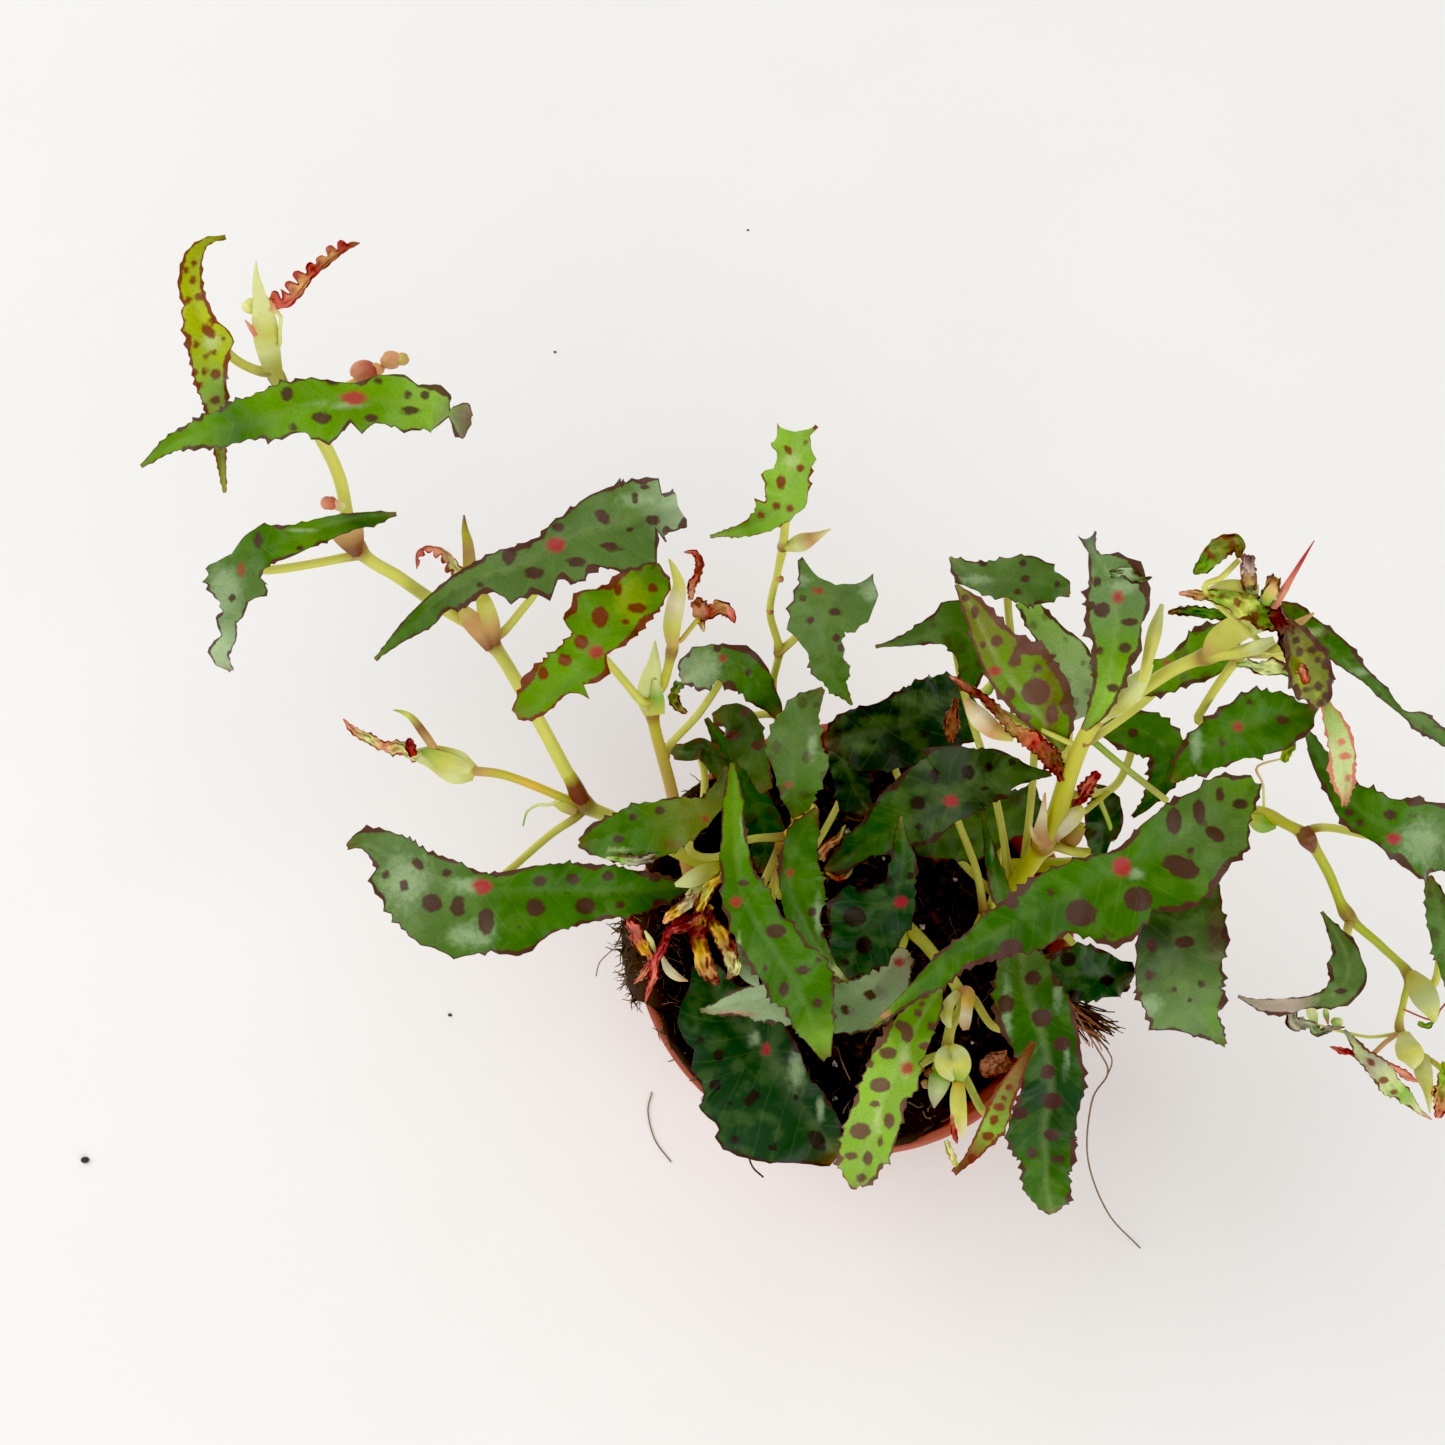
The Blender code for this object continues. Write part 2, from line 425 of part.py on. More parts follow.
# Each stem: points of its middle line as picture point, height and radius. The first is its foot
# in the soil, and a larger radius is a joint.
STEMS = {
    "a": [(742, 882, 75, 1.7), (668, 846, 97, 1.5), (612, 818, 104, 1.4), (583, 803, 109, 2.1),
          (568, 775, 114, 1.4), (530, 705, 127, 1.3), (489, 640, 140, 1.9), (440, 606, 148, 1.25),
          (400, 578, 156, 1.2), (357, 547, 165, 1.8), (340, 480, 177, 1.2), (322, 440, 184, 1.2),
          (300, 405, 188, 1.2), (276, 376, 193, 1.6), (268, 340, 204, 1.1)],
    "b": [(700, 905, 75, 1.2), (690, 880, 82, 1.1), (672, 793, 103, 1.0), (654, 712, 121, 1.4),
          (664, 682, 129, 0.9), (672, 650, 137, 1.2), (679, 610, 144, 0.8)],
    "c": [(800, 870, 75, 1.2), (792, 790, 86, 1.0), (780, 720, 101, 0.9), (774, 684, 111, 0.9),
          (779, 650, 124, 1.3),
          (772, 612, 135, 1.0), (776, 575, 146, 0.9), (783, 545, 156, 1.1)],
    "d": [(1003, 911, 75, 2.4), (1014, 889, 92, 2.2), (1044, 843, 113, 2.9), (1058, 815, 122, 2.0),
          (1070, 774, 133, 1.9), (1086, 735, 143, 1.9), (1104, 712, 149, 2.4),
          (1140, 690, 156, 1.7), (1174, 669, 163, 1.6), (1207, 656, 169, 2.1),
          (1238, 652, 175, 1.5), (1264, 645, 180, 1.8)],
    "e": [(1005, 866, 75, 1.7), (1110, 860, 93, 1.6), (1200, 822, 105, 1.5), (1255, 808, 111, 1.4),
          (1286, 822, 114, 1.4), (1307, 834, 113, 1.9), (1328, 872, 108, 1.2),
          (1347, 914, 104, 1.8), (1380, 945, 100, 1.1), (1408, 972, 97, 1.7),
          (1404, 1000, 96, 1.1), (1402, 1030, 94, 1.6), (1420, 1058, 92, 1.1)],
    "f": [(905, 925, 75, 1.6), (930, 950, 88, 1.3), (962, 998, 101, 1.9), (951, 1026, 105, 1.2),
          (948, 1053, 108, 1.9), (957, 1090, 112, 1.2)],
    "g": [(768, 905, 75, 1.5), (775, 880, 84, 1.2), (778, 858, 91, 1.1), (783, 842, 96, 1.6),
          (795, 826, 100, 1.0), (815, 806, 103, 0.8)],
    "h": [(972, 942, 75, 1.2), (984, 912, 84, 1.2)],
}

# The small parts that are one with a stem: kind, points, half-width or radius.
BITS = {
    "a": [("twig", [(580, 803, 109), (532, 782, 113), (478, 772, 115)], 1.0),
          ("sheath", [(486, 775, 115), (450, 769, 117), (414, 742, 120)], 3.0),
          ("young", [(434, 754, 118), (385, 741, 120), (343, 723, 122)], 1.7),
          ("spike", [(440, 754, 118), (416, 731, 121), (393, 711, 123)], 0.9),
          ("twig", [(489, 638, 140), (480, 600, 144), (466, 562, 150)], 1.0),
          ("spike", [(467, 566, 150), (468, 545, 153), (463, 517, 155)], 1.2),
          ("young", [(470, 582, 147), (442, 556, 152), (418, 548, 153)], 1.3),
          ("sheath", [(274, 374, 194), (270, 340, 206), (262, 295, 215), (255, 262, 219)], 2.4),
          ("sheath", [(268, 350, 206), (257, 318, 210), (248, 296, 212)], 1.4),
          ("twig", [(270, 350, 205), (277, 320, 209)], 0.7),
          ("young", [(272, 326, 209), (300, 280, 214), (328, 257, 215), (356, 244, 214)], 2.0),
          ("twig", [(300, 405, 188), (345, 385, 191), (368, 372, 194), (396, 358, 195)], 0.6),
          ("bud", [(366, 370, 194)], 1.7),
          ("bud", [(396, 358, 195)], 1.7),
          ("twig", [(714, 882, 80), (708, 884, 98), (706, 887, 113)], 1.0),
          ("sheath", [(708, 888, 112), (692, 878, 116), (676, 892, 117)], 1.9),
          ("young", [(706, 888, 111), (722, 872, 117), (738, 862, 119)], 1.1),
          ("young", [(706, 884, 112), (704, 915, 117), (714, 950, 117), (724, 985, 113)], 3.2),
          ("young", [(708, 884, 111), (688, 925, 114), (668, 965, 112), (645, 1004, 106)], 1.9)],
    "b": [("sheath", [(653, 714, 121), (653, 682, 128), (662, 646, 134)], 2.3),
          ("sheath", [(672, 652, 137), (677, 605, 146), (671, 561, 154)], 2.2),
          ("young", [(676, 640, 139), (698, 621, 141), (716, 612, 143), (734, 614, 143)], 1.8),
          ("young", [(678, 626, 141), (690, 582, 148), (697, 554, 150)], 1.6)],
    "c": [("sheath", [(784, 536, 161), (802, 541, 164), (820, 536, 165)], 1.2)],
    "d": [("sheath", [(1046, 846, 113), (1034, 822, 119), (1042, 795, 124)], 1.6),
          ("sheath", [(1046, 842, 114), (1068, 826, 119), (1090, 808, 122)], 1.9),
          ("young", [(1056, 826, 118), (1078, 792, 124), (1099, 768, 127)], 1.8),
          ("sheath", [(1103, 720, 148), (1120, 702, 155), (1147, 675, 161)], 3.0),
          ("sheath", [(1203, 661, 169), (1224, 638, 176), (1252, 619, 182)], 3.0),
          ("twig", [(1262, 646, 180), (1256, 602, 188), (1240, 562, 193)], 0.8),
          ("young", [(1244, 568, 192), (1222, 552, 194), (1196, 573, 190)], 2.1),
          ("sheath", [(1262, 648, 180), (1238, 602, 188), (1203, 586, 190)], 1.6),
          ("young", [(1250, 590, 189), (1262, 570, 194), (1282, 590, 195)], 1.6),
          ("young", [(1266, 648, 180), (1256, 614, 188), (1222, 603, 189), (1178, 593, 184)], 2.6),
          ("spike", [(1264, 648, 180), (1284, 598, 191), (1313, 542, 200)], 1.1),
          ("young", [(1076, 780, 131), (1023, 740, 140), (976, 698, 143), (950, 676, 142)], 1.8),
          ("sheath", [(1012, 733, 140), (984, 712, 137), (962, 738, 131)], 2.6)],
    "e": [("sheath", [(1310, 836, 112), (1284, 817, 118), (1252, 822, 119)], 1.8),
          ("sheath", [(1406, 968, 97), (1418, 995, 102), (1433, 1019, 103)], 1.9),
          ("twig", [(1402, 1030, 94), (1370, 1037, 97), (1338, 1028, 98), (1312, 1015, 98)], 0.6),
          ("bud", [(1312, 1015, 98)], 1.1),
          ("bud", [(1330, 1019, 98)], 1.2),
          ("young", [(1343, 1030, 98), (1384, 1076, 101), (1431, 1118, 97)], 2.6),
          ("twig", [(1400, 1034, 94), (1386, 1058, 98), (1380, 1072, 100)], 0.7),
          ("sheath", [(1416, 1050, 92), (1425, 1084, 96), (1421, 1113, 97)], 1.5),
          ("twig", [(1416, 1054, 92), (1438, 1066, 95), (1448, 1078, 96)], 0.8),
          ("young", [(1446, 1070, 96), (1446, 1095, 97), (1438, 1118, 95)], 2.0)],
    "f": [("sheath", [(962, 994, 101), (958, 1012, 106), (949, 1032, 108)], 2.0),
          ("sheath", [(950, 1050, 108), (938, 1076, 113), (934, 1108, 115)], 2.2),
          ("sheath", [(948, 1050, 108), (958, 1098, 115), (959, 1146, 116)], 1.9)],
    "g": [("young", [(783, 846, 96), (800, 842, 102), (812, 832, 104)], 1.0)],
    "h": [],
}


def stem_path(points, steps=2):
    """A stem's middle line and radii, with a foot that goes straight down into the soil."""
    placed = np.array([(*sight(*p[:3]), p[3]) for p in points])
    foot = placed[0] - np.array((0, 0, FOOT_DEPTH, 0))
    curve = smooth_path(placed, steps * (len(points) - 1))
    return np.vstack((foot, curve))


def rooted(path, line):
    """A path that begins on a stem's middle line, at the place nearest to its first point."""
    fine = smooth_path(line[1:, :3], 12 * len(line))
    away = np.linalg.norm(fine - path[0], axis=1)
    nearest = fine[int(np.argmin(away))]
    if away.min() < 0.5 or away.min() > REACH_OF_STEM:
        return path
    return [nearest] + list(path)


def stalk(record, line):
    """The middle line of a leaf stalk, ending squarely under its leaf's seat."""
    steps = 2 * record["crests"] + 1
    middle, _, out, _ = blade_frame(record["spine"], steps, record["tilt"])
    seat = sight(*record["spine"][record["seat"]][:3])
    at = int(np.argmin(np.linalg.norm(middle - seat, axis=1)))
    at = min(max(at, 1), steps - 2)
    below = middle[at] - out[at] * (BLADE + GAP)
    path = rooted([sight(*p) for p in record["stalk"]], line)
    path.append(below - out[at] * record["reach"])
    curve = smooth_path(path + [below], len(path) + 1 if len(path) < 4 else 5)
    return np.vstack((curve[:-1], below - out[at] * 1.5, below))


def bit(name, kind, points, size, line, finish):
    """One of the small parts of a stem."""
    if kind == "twig":
        path = smooth_path(rooted([sight(*p) for p in points], line), len(points) + 1)
        return tube(name, path, size, 4, finish)
    if kind == "bud":
        mesh = bmesh.new()
        bmesh.ops.create_icosphere(mesh, subdivisions=1, radius=size * 1.1)
        corners = [v.co[:] for v in mesh.verts]
        faces = [tuple(v.index for v in f.verts) for f in mesh.faces]
        mesh.free()
        return solid(name, np.array(corners) + sight(*points[0]), faces, finish)
    crests = {"sheath": 1, "spike": 1, "young": 3}[kind]
    wave = {"sheath": 0.0, "spike": 0.0, "young": 0.7}[kind]
    cup = {"sheath": 30, "spike": 20, "young": 15}[kind]
    half = size / pixel_size(sight(*points[0]))
    fullness = [0.5] + [1.0] * (len(points) - 2) + [0.15]
    spine = [(*point, half * full, half * full) for point, full in zip(points, fullness)]
    return blade(name, spine, (0, 0), cup, wave, crests, 2, finish)


def build_stem(letter, finish):
    """A stem with its leaf stalks and small parts, as one solid."""
    curve = stem_path(STEMS[letter])
    pieces = [tube("stem_" + letter, curve[:, :3], curve[:, 3], 6, finish)]
    for name, record in LEAVES.items():
        if record["stem"] == letter:
            path = stalk(record, curve)
            pieces.append(tube(name + "_stalk", path, STALK_RADIUS, STALK_SIDES, finish))
    for number, (kind, points, size) in enumerate(BITS[letter]):
        pieces.append(bit(f"bit_{letter}_{number}", kind, points, size, curve, finish))
    return fuse("stem_" + letter, pieces)


def turned(name, profile, sides, finish):
    """A solid turned about the Z axis from a closed profile of radius and height."""
    vertices, faces, rings = [], [], []
    for radius, height in profile:
        if radius == 0:
            rings.append([len(vertices)] * sides)
            vertices.append((0, 0, height))
        else:
            rings.append(list(range(len(vertices), len(vertices) + sides)))
            for k in range(sides):
                turn = 2 * math.pi * k / sides
                vertices.append((radius * math.cos(turn), radius * math.sin(turn), height))
    for lower, upper in zip(rings, rings[1:]):
        for k in range(sides):
            n = (k + 1) % sides
            corners = list(dict.fromkeys((lower[k], lower[n], upper[n], upper[k])))
            if len(corners) > 2:
                faces.append(corners)
    return solid(name, vertices, faces, finish)


def outer_radius(height):
    """The pot wall's outer radius at a height."""
    top = RIM_RADIUS - LIP_WIDTH
    return BASE_RADIUS + (top - BASE_RADIUS) * height / POT_HEIGHT


def build_pot(finish):
    """A thin-walled pot with a collar, a rolled lip and drain holes round its floor."""
    collar = POT_HEIGHT - COLLAR_DEPTH
    profile = [(0, 0), (BASE_RADIUS, 0), (outer_radius(collar), collar),
               (RIM_RADIUS - 1.0, collar + 0.6), (RIM_RADIUS - 0.4, POT_HEIGHT - 3.4),
               (RIM_RADIUS, POT_HEIGHT - 2.6), (RIM_RADIUS, POT_HEIGHT - 0.7),
               (RIM_RADIUS - 0.7, POT_HEIGHT),
               (RIM_RADIUS - LIP_WIDTH + 0.5, POT_HEIGHT), (RIM_RADIUS - LIP_WIDTH, POT_HEIGHT - 0.6),
               (outer_radius(collar) - WALL, collar), (BASE_RADIUS - WALL, WALL), (0, WALL)]
    pot = turned("pot", profile, POT_SIDES, finish)
    for k in range(DRAIN_HOLES):
        turn = 2 * math.pi * (k + 0.5) / DRAIN_HOLES
        centre = DRAIN_CIRCLE * math.cos(turn), DRAIN_CIRCLE * math.sin(turn)
        cut(pot, tube("hole", [(*centre, -2), (*centre, WALL + 2)], DRAIN_RADIUS, 8, finish))
    return pot


def soil_height(x, y):
    """The soil's bumpy surface."""
    bumps = math.sin(x * 0.31 + 1.1) * math.cos(y * 0.27) + 0.6 * math.sin(x * 0.61 + y * 0.53)
    return SOIL_HEIGHT + SOIL_BUMPS * bumps * 0.6


def build_soil(finish):
    """The soil: it fills the pot, with a bumpy top and a plain hole for each stem."""
    inner_collar = outer_radius(POT_HEIGHT - COLLAR_DEPTH) - WALL
    edge = inner_collar - GAP
    foot = BASE_RADIUS - WALL - GAP
    rings = [foot, edge, edge * 0.7, edge * 0.35]
    vertices, faces = [], []
    for level, radius in enumerate(rings):
        for k in range(POT_SIDES):
            turn = 2 * math.pi * k / POT_SIDES
            x, y = radius * math.cos(turn), radius * math.sin(turn)
            height = WALL + GAP if level == 0 else soil_height(x, y)
            if level == 1:
                height = POT_HEIGHT - COLLAR_DEPTH - 0.5
            vertices.append((x, y, height))
    for level in range(len(rings) - 1):
        for k in range(POT_SIDES):
            a, b = level * POT_SIDES + k, level * POT_SIDES + (k + 1) % POT_SIDES
            faces.append((a, b, b + POT_SIDES, a + POT_SIDES))
    middle = len(vertices)
    vertices.append((0, 0, soil_height(0, 0)))
    last = (len(rings) - 1) * POT_SIDES
    for k in range(POT_SIDES):
        faces.append((last + k, last + (k + 1) % POT_SIDES, middle))
    faces.append(tuple(reversed(range(POT_SIDES))))
    soil = solid("soil", vertices, faces, finish)
    for points in STEMS.values():
        foot_place = sight(*points[0][:3])
        top = foot_place + np.array((0, 0, 12))
        bottom = foot_place - np.array((0, 0, FOOT_DEPTH + GAP))
        width = (points[0][3] + GAP) / math.cos(math.pi / 10)
        cut(soil, tube("stem_hole", [bottom, top], width, 10, finish))
    return soil


def build_root_mat(finish):
    """A mat of moss and old roots that lies over the pot's lip."""
    inside = RIM_RADIUS - LIP_WIDTH
    under = np.array([(inside - 8.5, SOIL_HEIGHT + 1.9), (inside - 4.5, SOIL_HEIGHT + 2.1),
                      (inside - 1.3, SOIL_HEIGHT + 3.6), (inside - 0.8, POT_HEIGHT - 0.4),
                      (inside + 0.1, POT_HEIGHT + 0.7), (RIM_RADIUS - 0.6, POT_HEIGHT + 0.9),
                      (RIM_RADIUS + 0.7, POT_HEIGHT + 0.1), (RIM_RADIUS + 0.8, POT_HEIGHT - 2.4)])
    ahead = unit(np.gradient(under, axis=0))
    over = under + MAT_THICK * np.stack((-ahead[:, 1], ahead[:, 0]), axis=1)
    turns = np.radians(np.linspace(MAT_FROM, MAT_TO, 7))
    sheets = []
    for profile, lumps in ((over, MAT_LUMPS), (under, 0.0)):
        rows = []
        for step, (radius, height) in enumerate(profile):
            swell = lumps * np.sin(2.3 * np.arange(len(turns)) + 1.7 * step)
            around = [(radius + s) * np.array((math.cos(t), math.sin(t)))
                      for s, t in zip(swell, turns)]
            rows.append([(*place, height + s) for place, s in zip(around, swell)])
        sheets.append(np.array(rows))
    return closed_sheet("root_mat", sheets[1], sheets[0], finish)


def main():
    """Builds every piece."""
    for old in list(bpy.data.objects):
        bpy.data.objects.remove(old)
    plastic = material("pot_plastic", (0.42, 0.13, 0.07), 0.5)
    peat = material("potting_soil", (0.02, 0.013, 0.01), 0.95)
    moss = material("moss_and_roots", (0.12, 0.1, 0.03), 0.9)
    stem_finish = material("stem_skin", (0.45, 0.5, 0.1), 0.4)
    leaf_finish = material("leaf_skin", (0.05, 0.2, 0.03), 0.35)
    build_pot(plastic)
    build_soil(peat)
    build_root_mat(moss)
    for letter in STEMS:
        build_stem(letter, stem_finish)
    for name, r in LEAVES.items():
        blade(name, r["spine"], r["tilt"], CUP, r["wave"], r["crests"], r["columns"], leaf_finish)


main()
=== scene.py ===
# %% [markdown]
# # A potted begonia with narrow spotted leaves
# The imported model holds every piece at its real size: a pot, its soil, eight leafy stems and their
# leaves. This script loads it as a fixed frame and dresses it: each plain blade becomes a thin,
# waved and toothed leaf with spots, and the stems, soil and pot get their real surfaces.

# %% Load the frame
import math

import bmesh
import bpy
import numpy as np
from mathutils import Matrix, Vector, noise


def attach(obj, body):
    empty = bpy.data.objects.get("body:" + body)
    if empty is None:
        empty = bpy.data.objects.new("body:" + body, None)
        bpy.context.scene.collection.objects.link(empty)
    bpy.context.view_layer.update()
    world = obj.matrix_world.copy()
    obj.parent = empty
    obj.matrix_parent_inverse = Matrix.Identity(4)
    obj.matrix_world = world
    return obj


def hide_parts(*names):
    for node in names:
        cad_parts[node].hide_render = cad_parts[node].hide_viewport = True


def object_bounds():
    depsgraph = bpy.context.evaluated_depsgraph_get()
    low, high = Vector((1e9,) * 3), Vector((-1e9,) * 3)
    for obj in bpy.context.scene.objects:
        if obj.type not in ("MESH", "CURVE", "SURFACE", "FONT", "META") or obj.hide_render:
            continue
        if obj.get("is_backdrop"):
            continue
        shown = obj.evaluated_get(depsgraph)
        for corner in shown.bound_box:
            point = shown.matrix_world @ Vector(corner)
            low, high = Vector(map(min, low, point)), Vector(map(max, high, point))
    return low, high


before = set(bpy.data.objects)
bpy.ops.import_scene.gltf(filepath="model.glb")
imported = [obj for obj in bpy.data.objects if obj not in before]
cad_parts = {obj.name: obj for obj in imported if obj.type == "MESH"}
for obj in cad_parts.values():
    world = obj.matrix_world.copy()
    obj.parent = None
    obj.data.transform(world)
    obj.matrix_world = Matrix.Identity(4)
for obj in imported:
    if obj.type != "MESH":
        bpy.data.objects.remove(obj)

cad_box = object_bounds()
print(len(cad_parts), "nodes in the frame")

# %% [markdown]
# ## Sight lines
# A plant has no drawing with dimensions, so its leaves are placed along sight lines. A point of the
# picture and a height above the floor give one point in space, because the camera's place, tilt and
# lens are known. The source of the solids works in the same way, so both agree.

# %% Sight lines
MM = 0.001
EYE = np.array((-26.0, -83.4, 469.7))
PICTURE = 1445
LENS = 50
SENSOR = 36
FOCAL_PIXELS = PICTURE * LENS / SENSOR
PICTURE_CENTRE = PICTURE / 2
PITCH = math.radians(72)
RIGHT = np.array((1.0, 0.0, 0.0))
UP = np.array((0.0, math.sin(PITCH), math.cos(PITCH)))
AHEAD = np.array((0.0, math.cos(PITCH), -math.sin(PITCH)))


def sight(px, py, height):
    """The point of this height, in millimetres, on the sight line through a point of the picture."""
    ray = AHEAD + RIGHT * (px - PICTURE_CENTRE) / FOCAL_PIXELS - UP * (py - PICTURE_CENTRE) / FOCAL_PIXELS
    return EYE + ray * (height - EYE[2]) / ray[2]


def pixel_size(places):
    """How many millimetres one pixel of the picture spans at these places."""
    return (np.asarray(places) - EYE) @ AHEAD / FOCAL_PIXELS


def in_picture(places):
    """Where places in space fall in the picture."""
    away = np.asarray(places) - EYE
    depth = away @ AHEAD
    return (PICTURE_CENTRE + FOCAL_PIXELS * (away @ RIGHT) / depth,
            PICTURE_CENTRE - FOCAL_PIXELS * (away @ UP) / depth)


print("one pixel spans", round(float(pixel_size(sight(722, 722, 80))), 3), "mm at the rim")

# %% [markdown]
# ## Camera, light and floor
# The plant was seen from above on a plain pale sweep, beside a large window. A wide softbox at the
# left stands for the window, a weaker one fills from above, and a pale world lights the rest, so
# that shadows stay soft.

# %% Camera
camera = bpy.data.objects.new("photo_camera", bpy.data.cameras.new("photo_camera"))
camera.data.lens = LENS
camera.data.sensor_width = SENSOR
camera.data.clip_start = 0.01
camera.location = EYE * MM
camera.rotation_euler = (math.radians(90) - PITCH, 0, 0)
bpy.context.scene.collection.objects.link(camera)
bpy.context.scene.camera = camera


# %% Light
def srgb(red, green, blue):
    """A colour from its everyday 0 to 255 numbers, as the linear one that a shader takes."""
    parts = np.array((red, green, blue)) / 255
    linear = np.where(parts <= 0.04045, parts / 12.92, ((parts + 0.055) / 1.055) ** 2.4)
    return (*(float(part) for part in linear), 1.0)


def softbox(name, place, aim, size, power):
    """A square area light at a place, turned to a point, in metres."""
    light = bpy.data.lights.new(name, "AREA")
    light.size = size
    light.energy = power
    made = bpy.data.objects.new(name, light)
    made.location = place
    way = np.array(aim) - np.array(place)
    made.rotation_euler = (math.atan2(math.hypot(way[0], way[1]), -way[2]), 0,
                           math.atan2(way[1], way[0]) - math.pi / 2)
    bpy.context.scene.collection.objects.link(made)


ROOM_COLOUR = (1.0, 0.998, 0.992, 1)
ROOM_LIGHT = 0.64
BLACK_LEVEL = (0.019, 0.019, 0.02)

softbox("window", (-1.1, 0.35, 0.95), (0, 0, 0.12), 1.5, 12)
softbox("fill", (0.8, -1.1, 0.95), (0.05, -0.15, 0.1), 1.6, 14)
world = bpy.data.worlds.new("room")
world.use_nodes = True
world.node_tree.nodes["Background"].inputs["Color"].default_value = ROOM_COLOUR
world.node_tree.nodes["Background"].inputs["Strength"].default_value = ROOM_LIGHT
bpy.context.scene.world = world
view = bpy.context.scene.view_settings
view.view_transform = "Standard"
view.use_curve_mapping = True
view.curve_mapping.black_level = BLACK_LEVEL
view.curve_mapping.update()

# %% [markdown]
# ## Shader maths
# Masks are easier to read as sums than as chains of nodes. A small class wraps a socket, so that an
# expression such as `1 - mask` adds the Math node it stands for, and a second class makes any other
# node from its type, its settings and its sockets.


# %% Shader maths
class Wire:
    """One output of a shader node. Plus, minus and times add a Math node."""

    def __init__(self, finish, socket):
        self.finish = finish
        self.socket = socket

    def math(self, operation, *values):
        return self.finish.node("ShaderNodeMath", {"operation": operation}, dict(enumerate(values)))

    def __add__(self, other):
        return self.math("ADD", self, other)

    def __sub__(self, other):
        return self.math("SUBTRACT", self, other)

    def __rsub__(self, other):
        return self.math("SUBTRACT", other, self)

    def __mul__(self, other):
        return self.math("MULTIPLY", self, other)

    __radd__ = __add__
    __rmul__ = __mul__

    def step(self, low, high):
        """A smooth step: 0 at low and 1 at high."""
        values = {"Value": self, "From Min": low, "From Max": high}
        return self.finish.node("ShaderNodeMapRange", {"interpolation_type": "SMOOTHSTEP"}, values)


class Finish:
    """A material, and the nodes that feed its shader."""

    def __init__(self, name, **sockets):
        self.material = bpy.data.materials.new(name)
        self.material.use_nodes = True
        self.tree = self.material.node_tree
        self.shader = self.tree.nodes["Principled BSDF"]
        self.feed(self.shader, {key.replace("_", " "): value for key, value in sockets.items()})

    def feed(self, node, values):
        for key, value in values.items():
            if isinstance(value, Wire):
                self.tree.links.new(value.socket, node.inputs[key])
            else:
                node.inputs[key].default_value = value

    def node(self, kind, settings=None, values=None, output=0):
        made = self.tree.nodes.new(kind)
        for key, value in (settings or {}).items():
            setattr(made, key, value)
        self.feed(made, values or {})
        return Wire(self, made.outputs[output])

    def number(self, name):
        """A number that each point of the mesh carries."""
        return self.node("ShaderNodeAttribute", {"attribute_name": name}, output=2)

    def colour(self, name):
        """A colour that each point of the mesh carries."""
        return self.node("ShaderNodeAttribute", {"attribute_name": name})

    def noise(self, size, detail=2.0):
        """A cloudy pattern from 0 to 1, with patches of this size in millimetres."""
        place = self.node("ShaderNodeTexCoord", output=3)
        values = {"Vector": place, "Scale": 1 / (size * MM), "Detail": detail}
        return self.node("ShaderNodeTexNoise", values=values)

    def mix(self, mask, first, second):
        """The first colour where the mask is 0 and the second where it is 1."""
        return self.node("ShaderNodeMix", {"data_type": "RGBA"}, {0: mask, 6: first, 7: second}, output=2)

    def done(self, colour, roughness, height, depth):
        """Feeds the shader. Height is a pattern from 0 to 1 and depth its relief in millimetres."""
        bump = self.node("ShaderNodeBump", values={"Height": height, "Distance": depth * MM})
        self.feed(self.shader, {"Base Color": colour, "Roughness": roughness, "Normal": bump})
        return self.material


# %% [markdown]
# ## The floor
# The plant stands on a pale sheet, with a few crumbs of spilled soil. A curved backdrop would do as
# well, but the view looks down, so one flat plane fills it. The plane and the crumbs are staged, since
# they are no part of the plant.

# %% Floor
CRUMBS = [(85, 1160, 1.0), (450, 1015, 0.5), (748, 230, 0.35), (555, 352, 0.4)]
CRUMB_SHAPE = (1, 0.75, 0.6)
FLOOR_SIZE = 6

floor_finish = Finish("pale_sweep")
grain = floor_finish.noise(60)
pale = floor_finish.mix(grain, srgb(233, 232, 229), srgb(238, 237, 235))
floor_finish.done(pale, 0.8 + 0.1 * grain, grain, 0.02)
crumb_finish = Finish("spilled_soil")
clod = crumb_finish.noise(0.6, 2)
earth = crumb_finish.mix(clod, srgb(38, 32, 28), srgb(84, 68, 54))
crumb_finish.done(earth, 0.8 + 0.1 * clod, clod, 0.2)


def stage_last(name, material):
    """Names and finishes the piece that was made last, which isn't part of the plant."""
    made = bpy.context.object
    made.name = name
    made.data.materials.append(material)
    made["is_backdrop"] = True
    return made


bpy.ops.mesh.primitive_plane_add(size=FLOOR_SIZE)
stage_last("floor", floor_finish.material)
for px, py, size in CRUMBS:
    place = sight(px, py, 0.4 * size) * MM
    bpy.ops.mesh.primitive_ico_sphere_add(subdivisions=2, radius=size * MM, location=place)
    stage_last("crumb", crumb_finish.material).scale = CRUMB_SHAPE
print(len(CRUMBS), "crumbs on the floor")

# %% [markdown]
# ## Gathering a piece
# Every piece here is worked out as arrays of points in millimetres. A form gathers points and faces,
# and the colours and numbers that each point carries for its finish, until they become one mesh.

# %% Gathering a piece
SHARP_FROM = math.radians(55)


def unit(vectors):
    """Vectors made one long, one for each row."""
    vectors = np.asarray(vectors, float)
    return vectors / np.maximum(np.linalg.norm(vectors, axis=-1, keepdims=True), 1e-9)


